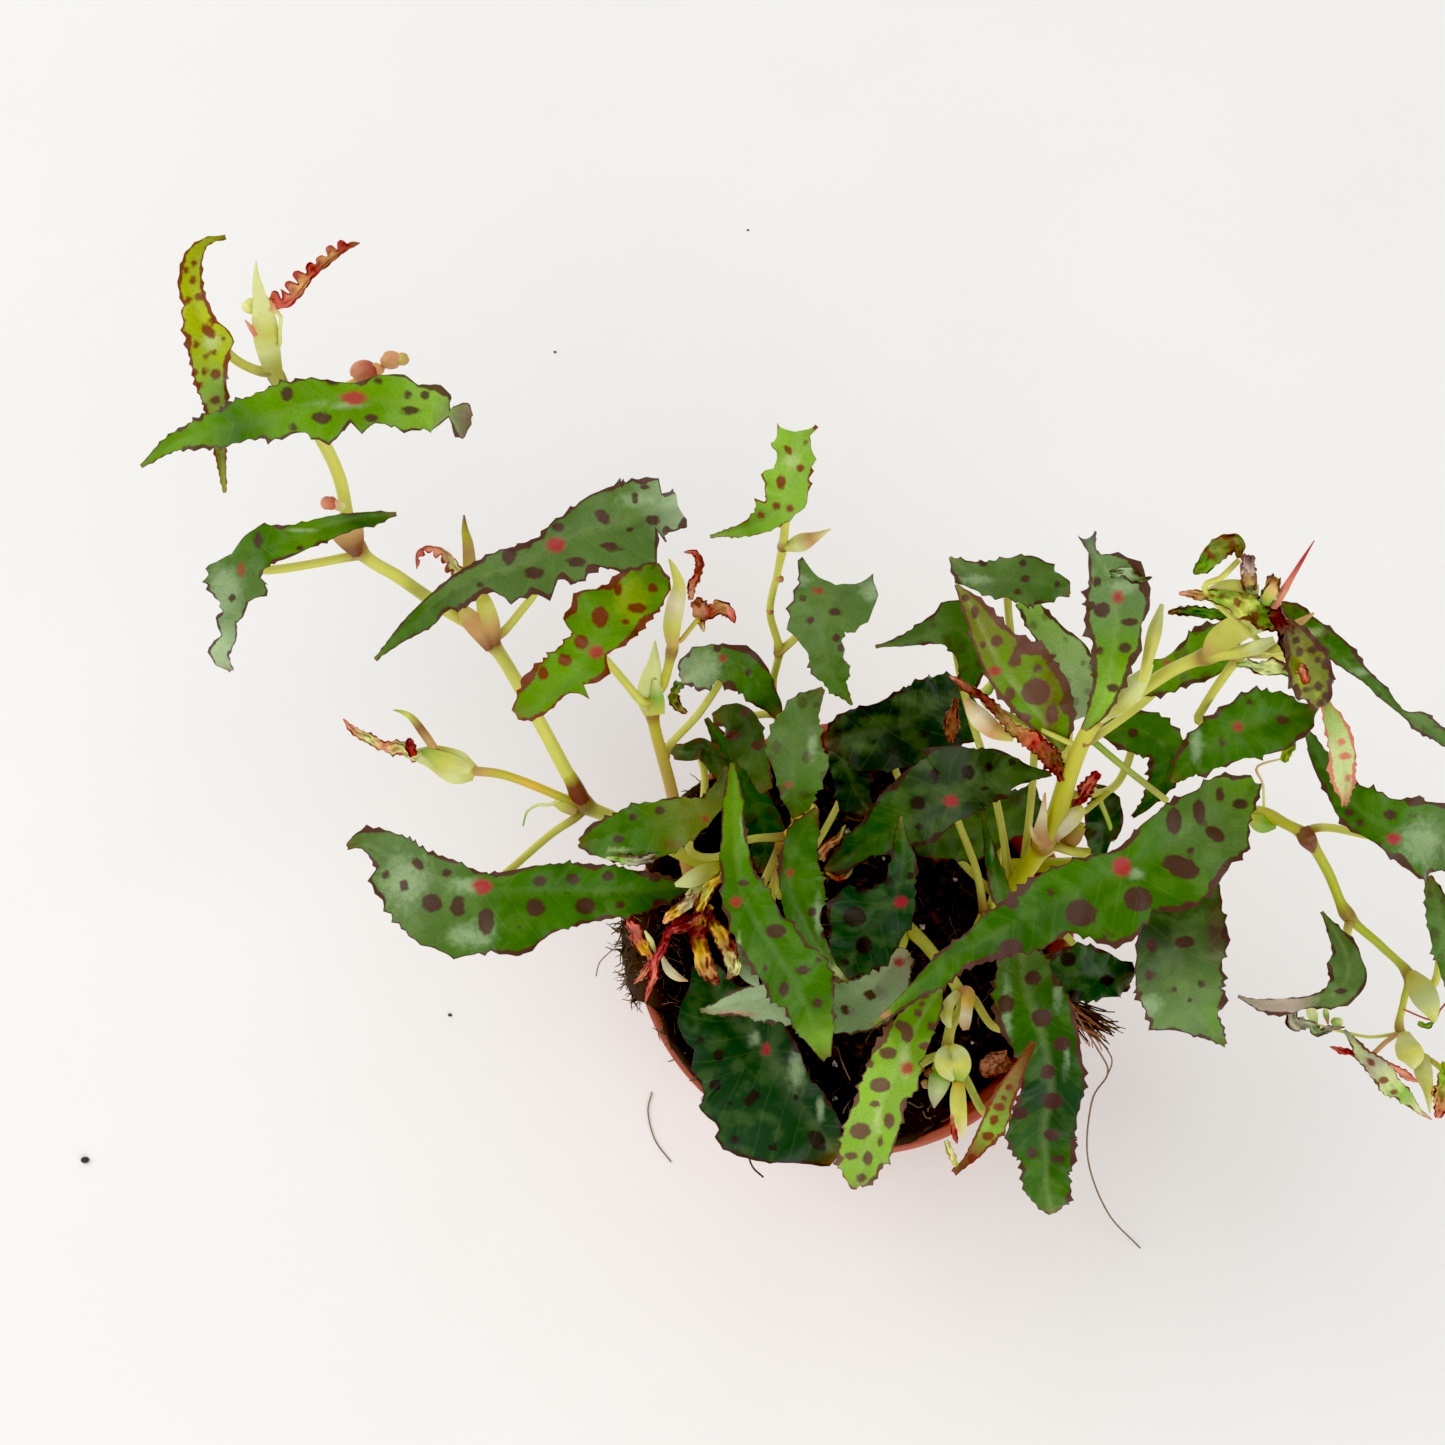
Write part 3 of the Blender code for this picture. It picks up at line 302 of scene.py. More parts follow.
class Form:
    """Points and faces in millimetres, with named values at each point."""

    def __init__(self):
        self.points = []
        self.faces = []
        self.values = {}
        self.count = 0

    def add(self, points, faces, **values):
        points = np.asarray(points, float).reshape(-1, 3)
        self.faces += [[int(k) + self.count for k in face] for face in faces]
        self.points.append(points)
        self.count += len(points)
        for name, value in values.items():
            value = np.asarray(value, float)
            if len(value.shape) == 0 or len(value) != len(points):
                value = np.broadcast_to(value, (len(points), *value.shape))
            self.values.setdefault(name, []).append(value)

    def make(self, name, finish, slot, replaced=()):
        """Makes the mesh, sets it to ride on the root and hides the solids that it stands for. A form
        without a slot isn't part of the plant, and is staged."""
        mesh = bpy.data.meshes.new(name)
        mesh.from_pydata(np.vstack(self.points) * MM, [], self.faces)
        mesh.polygons.foreach_set("use_smooth", np.ones(len(self.faces), bool))
        mesh.set_sharp_from_angle(angle=SHARP_FROM)
        for key, parts in self.values.items():
            value = np.concatenate(parts)
            if value.ndim == 1:
                mesh.attributes.new(key, "FLOAT", "POINT").data.foreach_set("value", value)
            else:
                value = np.column_stack((value[:, :3], np.ones(len(value))))
                mesh.attributes.new(key, "FLOAT_COLOR", "POINT").data.foreach_set("color", value.ravel())
        mesh.materials.append(finish)
        made = bpy.data.objects.new(name, mesh)
        bpy.context.scene.collection.objects.link(made)
        if slot is None:
            made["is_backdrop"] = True
            return made
        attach(made, "root")
        if replaced:
            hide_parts(*replaced)
        return made


def sheet_faces(rows, columns):
    """Faces of a thin closed sheet: its upper grid of points comes first, then its lower one."""
    grid = np.arange(rows * columns).reshape(rows, columns)
    a, b, c, d = grid[:-1, :-1], grid[:-1, 1:], grid[1:, 1:], grid[1:, :-1]
    upper = np.stack((a, b, c, d), axis=-1).reshape(-1, 4)
    lower = upper[:, ::-1] + rows * columns
    rim = np.concatenate((grid[:, 0], grid[-1, 1:], grid[-2::-1, -1], grid[0, -2:0:-1]))
    after = np.roll(rim, -1)
    edge = np.stack((rim, after, after + rows * columns, rim + rows * columns), axis=-1)
    return np.concatenate((upper, lower, edge)).tolist()


def smooth_path(points, count):
    """A smooth curve through points, as count points at equal steps along it."""
    points = np.asarray(points, float)
    held = np.vstack((2 * points[0] - points[1], points, 2 * points[-1] - points[-2]))
    fine = []
    for a, b, c, d in zip(held, held[1:], held[2:], held[3:]):
        t = np.linspace(0, 1, 12, endpoint=False)[:, None]
        fine.append(0.5 * (2 * b + (c - a) * t + (2 * a - 5 * b + 4 * c - d) * t**2
                           + (3 * b - a - 3 * c + d) * t**3))
    fine = np.vstack(fine + [points[-1:]])
    along = arc_length(fine[:, :3])
    wanted = np.linspace(0, along[-1], count)
    return np.stack([np.interp(wanted, along, column) for column in fine.T], axis=1)


def arc_length(path):
    """The distance along a path to each of its points."""
    return np.concatenate(([0], np.cumsum(np.linalg.norm(np.diff(path, axis=0), axis=1))))


def nearest(path, place):
    """Which point of a path is nearest to a place."""
    return int(np.argmin(np.linalg.norm(path - place, axis=1)))


def ring(radius, height, sides):
    """Points at equal steps round the Z axis."""
    turns = 2 * math.pi * np.arange(sides) / sides
    return [(radius * math.cos(t), radius * math.sin(t), height) for t in turns]


def icosphere(subdivisions, radius):
    """Points and faces of a ball."""
    mesh = bmesh.new()
    bmesh.ops.create_icosphere(mesh, subdivisions=subdivisions, radius=radius)
    corners = np.array([v.co[:] for v in mesh.verts])
    faces = [[v.index for v in f.verts] for f in mesh.faces]
    mesh.free()
    return corners, faces


def add_sheet(form, upper, lower, flipped=False, **values):
    """A thin closed sheet between two grids. A value given on the upper grid serves both."""
    faces = sheet_faces(*upper.shape[:2])
    if flipped:
        faces = [face[::-1] for face in faces]
    spread = {}
    for name, value in values.items():
        value = np.asarray(value, float)
        if value.shape[:2] == upper.shape[:2]:
            value = value.reshape(-1, *value.shape[2:])
            value = np.concatenate((value, value))
        spread[name] = value
    form.add(np.concatenate((upper.reshape(-1, 3), lower.reshape(-1, 3))), faces, **spread)


def add_tube(form, path, radii, sides, **values):
    """A closed tube along a path. Each value is one for the tube or one for each point of the path."""
    path = np.asarray(path, float)
    radii = np.broadcast_to(radii, len(path))
    ahead = unit(np.gradient(path, axis=0))
    side = unit(np.cross(ahead[0], (0.31, 0.87, 0.38)))
    turns = 2 * math.pi * np.arange(sides) / sides
    rings = []
    for place, axis, radius in zip(path, ahead, radii):
        side = unit(side - axis * np.dot(side, axis))
        other = np.cross(axis, side)
        rings.append(place + radius * (np.outer(np.cos(turns), side) + np.outer(np.sin(turns), other)))
    grid = np.arange(len(path) * sides).reshape(len(path), sides)
    beside = np.roll(grid, -1, axis=1)
    faces = np.stack((grid[:-1], beside[:-1], beside[1:], grid[1:]), axis=-1).reshape(-1, 4).tolist()
    faces += [grid[0, ::-1].tolist(), grid[-1].tolist()]
    spread = {}
    for name, value in values.items():
        value = np.asarray(value, float)
        per_point = value.shape[:1] == (len(path),)
        spread[name] = np.repeat(value, sides, axis=0) if per_point else value
    form.add(np.vstack(rings), faces, **spread)


# %% [markdown]
# ## The leaf finish
# These leaves are glossy, with maroon spots between the veins and a thin maroon line along the
# teeth. The mesh carries the distance to the nearest spot and to the margin in millimetres. The
# finish cuts both with a little noise, which keeps their outlines crisp and irregular at any size.

# %% Leaf finish
leaf_finish = Finish("leaf_skin", Specular_IOR_Level=0.2)
ragged = leaf_finish.noise(0.9, 3) - 0.5
cloud = leaf_finish.noise(4.5)
cells = leaf_finish.noise(0.35, 2)
spotted = (leaf_finish.number("spot") + 0.7 * ragged).step(-0.24, 0.26)
rimmed = (0.7 * ragged - leaf_finish.number("edge")).step(-0.1, 0.2)
rib = leaf_finish.number("rib")
veined = rib.math("PINGPONG", rib, 0.5).step(0.1, 0.0)
seated = (leaf_finish.number("seat") + 0.9 * ragged).step(-0.5, 0.6)
under = leaf_finish.number("under")
# Painted highlights: the washes' strength, broken up by noise, moves the tone towards each wash's colour.
# Most washes paint a highlight on the gloss, and the rest tint the leaf.
sheen = (leaf_finish.number("sheen") + 0.5 * cloud + 0.8 * leaf_finish.noise(1.1, 4) - 0.65).step(0.15, 1.0)
tone = leaf_finish.mix(0.6 * sheen, leaf_finish.colour("tone"), leaf_finish.colour("gleam"))
ink = leaf_finish.colour("ink")
mottled = leaf_finish.mix(0.12 * cloud.step(0.45, 0.65), tone, srgb(140, 176, 90))
freckled = leaf_finish.mix(0.22 * cells.step(0.45, 0.75), mottled, srgb(30, 60, 8))
ribbed = leaf_finish.mix(0.035 * veined, freckled, srgb(170, 190, 110))
below = leaf_finish.mix(0.6 * under, ribbed, srgb(142, 150, 112))
faint = leaf_finish.number("faint")
dotted = leaf_finish.mix(spotted * (0.9 - 0.3 * under) * faint, below, ink)
lined = leaf_finish.mix(0.92 * rimmed, dotted, leaf_finish.mix(0.3 * cells, ink, srgb(120, 64, 52)))
skin = leaf_finish.mix(0.85 * seated * (1 - under), lined, srgb(172, 38, 58))
leaf_skin = leaf_finish.done(skin, 0.3 + 0.1 * cloud + 0.2 * under, cells + 0.8 * cloud + 0.6 * veined, 0.05)

# %% [markdown]
# ## The leaves' shapes
# Each leaf is a table of rows along its midrib: a point of the picture, its height and the
# half-widths on both sides, given once where they are equal. These rows are the same as those of the
# plain blades, so the fine leaf lies where its solid lies.

# %% Leaf shapes
LEAVES = {}


def leaf(name, stem, spine, seat, tilt=(0, 0), wave=0.8, crests=5, stalk=()):
    """Enters a leaf in the table."""
    LEAVES[name] = dict(stem=stem, spine=spine, seat=seat, tilt=tilt, wave=wave,
                        crests=crests, stalk=stalk)


leaf("a1", "a", [(226, 237, 206, 2), (205, 242, 207, 5, 4), (193, 262, 208, 10, 11), (192, 290, 208, 13, 14),
     (199, 315, 207, 17, 18), (210, 342, 205, 26), (211, 372, 200, 20, 22), (215, 400, 192, 14),
     (219, 440, 180, 8), (225, 494, 166, 2)], 5, crests=6, stalk=[(265, 372, 197), (236, 360, 197)])
leaf("a2", "a", [(140, 467, 180, 2), (175, 442, 186, 11, 10), (205, 433, 190, 16, 17),
     (240, 422, 195, 22, 23), (278, 412, 199, 28, 29), (312, 404, 200, 29, 32), (354, 399, 200, 18, 30),
     (405, 403, 200, 30, 31), (434, 406, 199, 22, 23), (444, 410, 198, 16), (449, 413, 198, 2),
     (453, 413, 198, 9), (462, 415, 196, 15), (472, 418, 195, 4)], 6, crests=6, stalk=[(322, 430, 187),
     (338, 414, 191)])
leaf("a3", "a", [(397, 513, 174, 1), (372, 517, 176, 8), (345, 522, 177, 9, 10), (320, 529, 178, 14),
     (290, 541, 180, 20), (262, 548, 180, 26, 24), (245, 567, 179, 27, 24), (240, 590, 177, 26),
     (233, 612, 173, 17), (227, 632, 168, 11), (221, 655, 163, 9), (232, 672, 158, 1)], 6, tilt=(-10, -25),
     stalk=[(348, 557, 162), (300, 566, 167), (268, 570, 171)])
leaf("a4", "a", [(374, 660, 146, 1), (402, 633, 151, 7), (428, 610, 155, 12, 13), (458, 587, 158, 17, 16),
     (490, 574, 160, 19, 18), (522, 565, 160, 25, 28), (556, 545, 161, 30, 38), (600, 527, 161, 36, 42),
     (632, 519, 159, 37, 46), (658, 510, 156, 22, 34), (679, 505, 152, 10, 14)], 6, wave=1.1, crests=6,
     stalk=[(503, 632, 142), (520, 612, 146), (536, 590, 151)])
leaf("a5", "a", [(347, 848, 109, 2, 3), (366, 845, 111, 12), (400, 862, 115, 26, 46),
     (440, 878, 117, 24, 68), (482, 887, 118, 18, 66), (525, 890, 118, 26, 64), (560, 891, 116, 29, 42),
     (605, 892, 114, 27, 30), (650, 890, 111, 18, 20), (693, 886, 108, 2, 3)], 4, crests=6, wave=1.0,
     stalk=[(575, 818, 108), (550, 835, 108), (512, 868, 110)])
leaf("b1", "b", [(656, 562, 146, 2, 3), (640, 583, 149, 28, 36), (622, 607, 149, 32, 44),
     (605, 635, 149, 26, 42), (596, 652, 148, 18, 38), (580, 672, 147, 26, 36), (560, 687, 145, 16, 28),
     (538, 702, 142, 14, 20), (515, 715, 139, 5)], 4, wave=1.2, crests=6, stalk=[(644, 703, 128),
     (625, 682, 133), (612, 667, 138)])
leaf("b2", "b", [(680, 680, 112, 4, 6), (700, 667, 119, 22), (724, 660, 122, 17, 26),
     (748, 672, 121, 20, 24), (764, 692, 118, 15, 18), (779, 715, 113, 5, 6)], 2, tilt=(10, 0),
     stalk=[(670, 745, 108), (700, 712, 109)])
leaf("b3", "b", [(664, 746, 102, 2, 3), (684, 752, 105, 9, 11), (702, 746, 106, 10, 16),
     (716, 762, 103, 10, 14), (724, 786, 98, 2, 3)], 2, crests=4, stalk=[(700, 820, 92), (704, 795, 93),
     (704, 770, 97)])
leaf("c5", "c", [(712, 716, 107, 3, 10), (728, 712, 108, 8, 24), (746, 722, 108, 14, 28),
     (757, 750, 104, 10, 26), (770, 790, 97, 4, 10)], 2, crests=4, stalk=[(766, 714, 102)])
leaf("c1", "c", [(795, 431, 179, 14, 18), (795, 450, 179, 18), (793, 464, 179, 21, 18),
     (790, 480, 178, 20, 28), (785, 500, 177, 22, 24), (772, 516, 174, 14, 16), (752, 526, 170, 8, 9),
     (733, 531, 166, 5, 6), (709, 536, 160, 1)], 4, crests=6, stalk=[(785, 526, 165)])
leaf("c2", "c", [(836, 584, 141, 36, 34), (834, 596, 142, 38, 39), (828, 610, 142, 38, 36),
     (822, 628, 140, 29, 30), (825, 646, 138, 21), (831, 670, 132, 18), (842, 690, 126, 8),
     (853, 706, 121, 1)], 1, stalk=[(779, 652, 124), (797, 636, 127), (812, 616, 132)])
leaf("c3", "c", [(824, 688, 120, 2, 3), (806, 712, 122, 18, 20), (794, 745, 121, 32, 33),
     (793, 775, 119, 34, 20), (795, 800, 115, 20, 12), (797, 818, 110, 3, 4)], 3, stalk=[(796, 800, 96)])
leaf("g2", "g", [(706, 718, 97, 2), (727, 752, 96, 13, 12), (745, 786, 96, 19, 18), (762, 820, 91, 20, 19),
     (765, 850, 85, 15, 17), (762, 874, 81, 4, 5)], 2, wave=0.5, stalk=[(738, 860, 78), (738, 820, 84)])
leaf("d1", "d", [(956, 584, 150, 2), (973, 610, 150, 14, 11), (987, 640, 149, 28, 18),
     (1004, 672, 147, 44, 22), (1030, 704, 143, 40, 20), (1051, 733, 139, 26, 8), (1062, 752, 137, 3)], 3,
     stalk=[(1070, 760, 124), (988, 705, 132), (993, 682, 138)])
leaf("d2", "d", [(1087, 537, 169, 9, 8), (1095, 556, 174, 6), (1112, 579, 176, 36, 34),
     (1117, 598, 174, 32, 34), (1117, 628, 170, 30, 29), (1113, 655, 166, 24), (1108, 685, 160, 17, 16),
     (1097, 710, 156, 12), (1083, 731, 152, 4)], 3, crests=6, stalk=[(1104, 712, 148), (1118, 660, 152)])
leaf("d3", "d", [(1096, 730, 126, 2, 3), (1115, 728, 128, 12, 18), (1142, 732, 129, 24, 22),
     (1166, 748, 127, 22, 20), (1166, 775, 122, 14, 18), (1150, 800, 117, 8), (1132, 817, 112, 2)], 2,
     stalk=[(1066, 795, 127), (1107, 791, 118), (1125, 770, 117)])
leaf("d4", "d", [(1134, 694, 144, 2, 3), (1155, 680, 148, 18), (1180, 666, 151, 20, 24),
     (1205, 650, 152, 24, 28), (1222, 634, 151, 14, 22), (1236, 614, 149, 2, 3)], 2, stalk=[(1090, 740, 142),
     (1140, 705, 138)])
leaf("d5", "d", [(1280, 604, 176, 2, 4), (1300, 622, 178, 16, 14), (1328, 645, 178, 22),
     (1352, 668, 176, 12), (1372, 684, 173, 9, 6), (1383, 692, 171, 8, 9), (1402, 712, 168, 5),
     (1422, 722, 165, 13, 10), (1445, 740, 160, 10, 8), (1464, 756, 156, 2)], 2, stalk=[(1290, 650, 173)])
leaf("d6", "d", [(1326, 704, 162, 5), (1335, 722, 160, 10, 14), (1341, 745, 158, 15, 14),
     (1343, 770, 154, 13, 14), (1345, 792, 148, 7), (1344, 807, 143, 2)], 1, crests=4,
     stalk=[(1300, 662, 169)])
leaf("d7", "d", [(1288, 618, 190, 3, 4), (1298, 640, 190, 14), (1310, 662, 188, 20, 26),
     (1318, 684, 184, 18, 26), (1322, 708, 179, 4, 8)], 1, crests=4, stalk=[(1276, 648, 181)])
leaf("d8", "d", [(1320, 708, 154, 2, 3), (1300, 712, 155, 22, 14), (1275, 718, 156, 34),
     (1238, 728, 155, 40, 26), (1212, 745, 152, 30, 24), (1190, 762, 147, 18), (1171, 783, 140, 3)], 3,
     crests=6, stalk=[(1240, 657, 170), (1230, 668, 166), (1205, 705, 152), (1200, 722, 147)])
leaf("d9", "d", [(871, 1026, 114, 2), (900, 1000, 118, 7, 6), (935, 970, 121, 13, 12), (975, 945, 123, 20),
     (1010, 925, 126, 26), (1045, 905, 128, 32, 34), (1085, 886, 131, 33, 42), (1124, 868, 132, 28, 70),
     (1175, 846, 133, 42, 62), (1215, 820, 134, 42, 50), (1240, 798, 133, 26, 32), (1256, 782, 131, 8, 10)],
     7, crests=6, stalk=[(1059, 847, 114), (1084, 855, 115)])
leaf("d10", "d", [(824, 742, 97, 4), (850, 735, 100, 26, 34), (885, 728, 102, 30, 44),
     (920, 714, 102, 34, 48), (945, 697, 99, 26, 46), (962, 680, 96, 6, 14)], 2, stalk=[(960, 860, 80),
     (905, 790, 84), (890, 750, 90)])
leaf("d11", "d", [(875, 647, 124, 1), (905, 641, 126, 7, 6), (935, 631, 128, 16, 15),
     (960, 630, 128, 30, 24), (972, 656, 125, 16, 17), (968, 690, 118, 8, 11)], 3, stalk=[(1012, 892, 92),
     (996, 800, 104), (966, 700, 108)])
leaf("d12", "d", [(949, 556, 138, 1), (962, 568, 140, 11, 12), (985, 578, 141, 19, 20),
     (1010, 580, 142, 24, 22), (1035, 582, 141, 24), (1055, 587, 139, 16, 14), (1071, 595, 135, 2, 3)], 3,
     stalk=[(1022, 878, 96), (1034, 740, 112), (1012, 640, 120)])
leaf("d13", "d", [(1026, 600, 126, 10), (1036, 616, 127, 12, 14), (1052, 640, 126, 20, 14),
     (1068, 665, 124, 26, 16), (1080, 690, 121, 18, 20), (1084, 718, 116, 6, 10)], 3,
     stalk=[(1036, 856, 102), (1066, 760, 106), (1068, 700, 113)])
leaf("d14", "d", [(1092, 785, 111, 3), (1102, 800, 112, 16, 14), (1104, 822, 112, 20, 18),
     (1102, 843, 109, 9, 14), (1100, 857, 106, 6, 8)], 2, crests=4, stalk=[(1072, 838, 103)])
leaf("d15", "d", [(1172, 885, 104, 30, 20), (1176, 915, 108, 48, 40), (1178, 945, 108, 46),
     (1183, 975, 104, 40, 50), (1190, 1002, 98, 36, 46), (1205, 1025, 92, 18, 14), (1226, 1045, 86, 2, 3)],
     2, stalk=[(1022, 878, 94), (1100, 900, 95)])
leaf("d16", "d", [(1045, 975, 97, 10, 12), (1070, 974, 100, 26, 30), (1100, 976, 100, 26, 28),
     (1122, 980, 98, 16), (1131, 984, 96, 2, 3)], 2, crests=4, stalk=[(1020, 900, 88), (1070, 940, 91)])
leaf("e1", "e", [(1302, 722, 128, 1), (1312, 742, 131, 7), (1325, 768, 134, 14, 10),
     (1340, 790, 135, 16, 14), (1362, 812, 136, 28, 24), (1394, 832, 136, 38, 22), (1425, 840, 133, 46, 38),
     (1450, 848, 128, 34, 22), (1468, 860, 122, 6, 8)], 5, crests=6, stalk=[(1312, 829, 113),
     (1333, 828, 117), (1375, 836, 124)])
leaf("e2", "e", [(1428, 876, 118, 4), (1437, 900, 118, 12, 14), (1445, 930, 116, 18),
     (1452, 962, 112, 16, 18), (1460, 1005, 105, 2, 3)], 2, crests=4, stalk=[(1435, 982, 99)])
leaf("e3", "e", [(1321, 911, 110, 1), (1335, 932, 113, 8, 7), (1345, 952, 115, 14, 13),
     (1348, 974, 116, 21, 20), (1336, 993, 116, 16, 12), (1310, 1001, 113, 8, 6), (1280, 1004, 110, 12, 7),
     (1256, 1002, 107, 6, 4), (1237, 996, 104, 1)], 3, crests=6, stalk=[(1347, 935, 105)])
leaf("f1", "f", [(1021, 952, 108, 20), (1025, 985, 112, 29, 31), (1036, 1018, 114, 36, 38),
     (1046, 1052, 113, 33), (1051, 1090, 110, 33, 34), (1044, 1128, 105, 32, 36), (1046, 1160, 99, 26, 28),
     (1047, 1190, 94, 20, 22), (1053, 1215, 88, 3, 4)], 2, crests=6, stalk=[(973, 998, 101),
     (996, 1028, 103)])
leaf("f2", "f", [(1034, 1042, 117, 3), (1019, 1068, 119, 7), (1004, 1095, 118, 13, 12),
     (993, 1121, 116, 14, 13), (981, 1142, 113, 13, 11), (966, 1160, 109, 5), (953, 1173, 106, 4)], 3,
     stalk=[(965, 1078, 109), (983, 1111, 110)])
leaf("f3", "f", [(943, 986, 107, 2), (928, 1006, 110, 15, 22), (912, 1035, 113, 20, 30),
     (897, 1068, 116, 25, 31), (882, 1103, 114, 27, 28), (872, 1135, 110, 25, 28), (864, 1162, 104, 21, 22),
     (860, 1180, 100, 11, 10), (860, 1187, 98, 3)], 3, crests=6, stalk=[(928, 1059, 107)])
leaf("g1", "g", [(579, 842, 116, 2, 3), (603, 838, 119, 18, 22), (635, 830, 121, 26, 34),
     (668, 820, 122, 26, 34), (704, 810, 122, 16, 17), (722, 786, 120, 8, 12), (726, 765, 118, 2)], 4,
     stalk=[(748, 840, 102), (717, 857, 105), (690, 850, 111)])
leaf("g3", "g", [(818, 808, 118, 2, 3), (800, 838, 119, 22, 16), (790, 873, 118, 33, 12),
     (798, 905, 115, 28, 18), (812, 935, 112, 14), (828, 962, 110, 7, 8), (849, 983, 108, 2)], 2,
     stalk=[(780, 896, 92)])
leaf("g4", "g", [(732, 762, 126, 2), (734, 795, 129, 9, 10), (734, 835, 131, 14, 15), (737, 870, 132, 18),
     (746, 903, 131, 32, 25), (768, 940, 128, 36, 33), (790, 975, 122, 38, 32), (806, 1006, 117, 29, 24),
     (816, 1032, 112, 17, 16), (828, 1058, 107, 4, 6)], 4, crests=6, stalk=[(752, 905, 100)])
leaf("f4", "f", [(901, 816, 119, 1, 2), (902, 838, 119, 7, 8), (904, 862, 118, 13, 14),
     (899, 885, 115, 19, 22), (893, 905, 112, 28, 46), (868, 934, 108, 34, 46), (848, 962, 104, 20, 22),
     (836, 983, 102, 3, 4)], 4, crests=6, stalk=[(905, 925, 80), (898, 915, 95)])
leaf("f5", "f", [(700, 1011, 93, 2), (718, 1008, 95, 7, 9), (745, 1001, 96, 17, 16), (790, 1000, 97, 22, 28),
     (835, 1002, 97, 24, 33), (870, 992, 95, 20, 36), (898, 962, 91, 15, 20), (912, 956, 88, 4, 5)], 6,
     stalk=[(905, 932, 79), (903, 945, 82)])
leaf("g7", "g", [(703, 962, 88, 14), (725, 1010, 89, 40, 42), (766, 1050, 89, 40, 72),
     (795, 1095, 89, 36, 74), (820, 1130, 88, 26, 44), (838, 1158, 86, 4, 10)], 2, crests=6, wave=0.6,
     stalk=[(768, 925, 77), (768, 1000, 80)])
leaf("c4", "c", [(832, 738, 88, 4), (846, 768, 90, 26, 20), (858, 795, 88, 16, 22), (872, 815, 85, 3, 4)], 1,
     crests=4, stalk=[(812, 850, 78), (838, 805, 80)])
leaf("h1", "h", [(1052, 774, 112, 2), (1030, 773, 116, 9, 8), (1000, 774, 118, 24, 26),
     (970, 782, 120, 32, 38), (951, 797, 120, 26, 54), (925, 808, 118, 34, 44), (897, 825, 114, 26, 30),
     (865, 842, 109, 20), (840, 862, 105, 12), (824, 870, 102, 3)], 4, crests=6, stalk=[(976, 869, 94),
     (957, 819, 108)])
leaf("h2", "h", [(1040, 798, 93, 18, 16), (1010, 812, 94, 26, 24), (975, 826, 92, 32, 20),
     (940, 838, 90, 26, 20), (915, 850, 88, 8)], 1, stalk=[(992, 900, 82), (1000, 850, 86)])
leaf("h3", "h", [(982, 813, 108, 1), (987, 838, 110, 5, 4), (993, 865, 110, 8), (999, 890, 107, 12, 11),
     (1005, 912, 102, 6)], 3, crests=4, stalk=[(994, 925, 88)])

print(len(LEAVES), "leaves")

# %% [markdown]
# ## Colours of the leaves
# A leaf opens yellow-green with red margins, greens, darkens, and turns greyish where its surface is
# rough. Each leaf gets two or more of a few named colours from its base to its tip, an ink for spots
# and margin, and soft washes at given places. The silver stops are partly a painted highlight, where
# the gloss would catch the window's light, and partly the leaf's own greyer colour. Most washes, the
# silver, grey and sage ones and some pale ones, are painted highlights on the gloss. One dark wash
# darkens a corner of d15, and the rest are the leaves' own tints, such as rust, pink, lilac and plum.
# A mark is a point of the picture with a width, a height where it isn't round, and a turn in degrees.

# %% Leaf colours
COLOURS = {
    "lime": srgb(166, 178, 22), "bright": srgb(96, 142, 10), "fresh": srgb(134, 176, 56),
    "leaf": srgb(60, 106, 6), "deep": srgb(46, 90, 2), "dark": srgb(34, 62, 36), "grey": srgb(88, 116, 56),
    "silver": srgb(168, 190, 146), "olive": srgb(116, 122, 40), "sage": srgb(104, 134, 76),
    "night": srgb(34, 46, 34), "paper": srgb(226, 216, 176), "rose": srgb(198, 78, 84),
    "fold": srgb(196, 176, 160), "shade": srgb(48, 62, 38), "plum": srgb(104, 62, 60),
    "mist": srgb(172, 166, 140), "pale": srgb(200, 212, 146), "rust": srgb(118, 54, 30),
    "soot": srgb(44, 32, 32), "maroon": srgb(76, 43, 43), "wine": srgb(120, 38, 30),
    "red": srgb(174, 42, 42), "pink": srgb(216, 118, 100), "blush": srgb(224, 156, 118),
    "yolk": srgb(222, 180, 60), "cream": srgb(222, 226, 150), "tan": srgb(200, 152, 92),
    "stalk": srgb(190, 184, 52), "brown": srgb(132, 78, 40), "straw": srgb(206, 204, 92),
    "lilac": srgb(128, 112, 112), "chip": srgb(196, 124, 90), "bark": srgb(66, 42, 28),
    "grit": srgb(190, 184, 172), "fibre": srgb(104, 78, 50), "moss": srgb(62, 62, 26),
    "root": srgb(140, 112, 84),
}
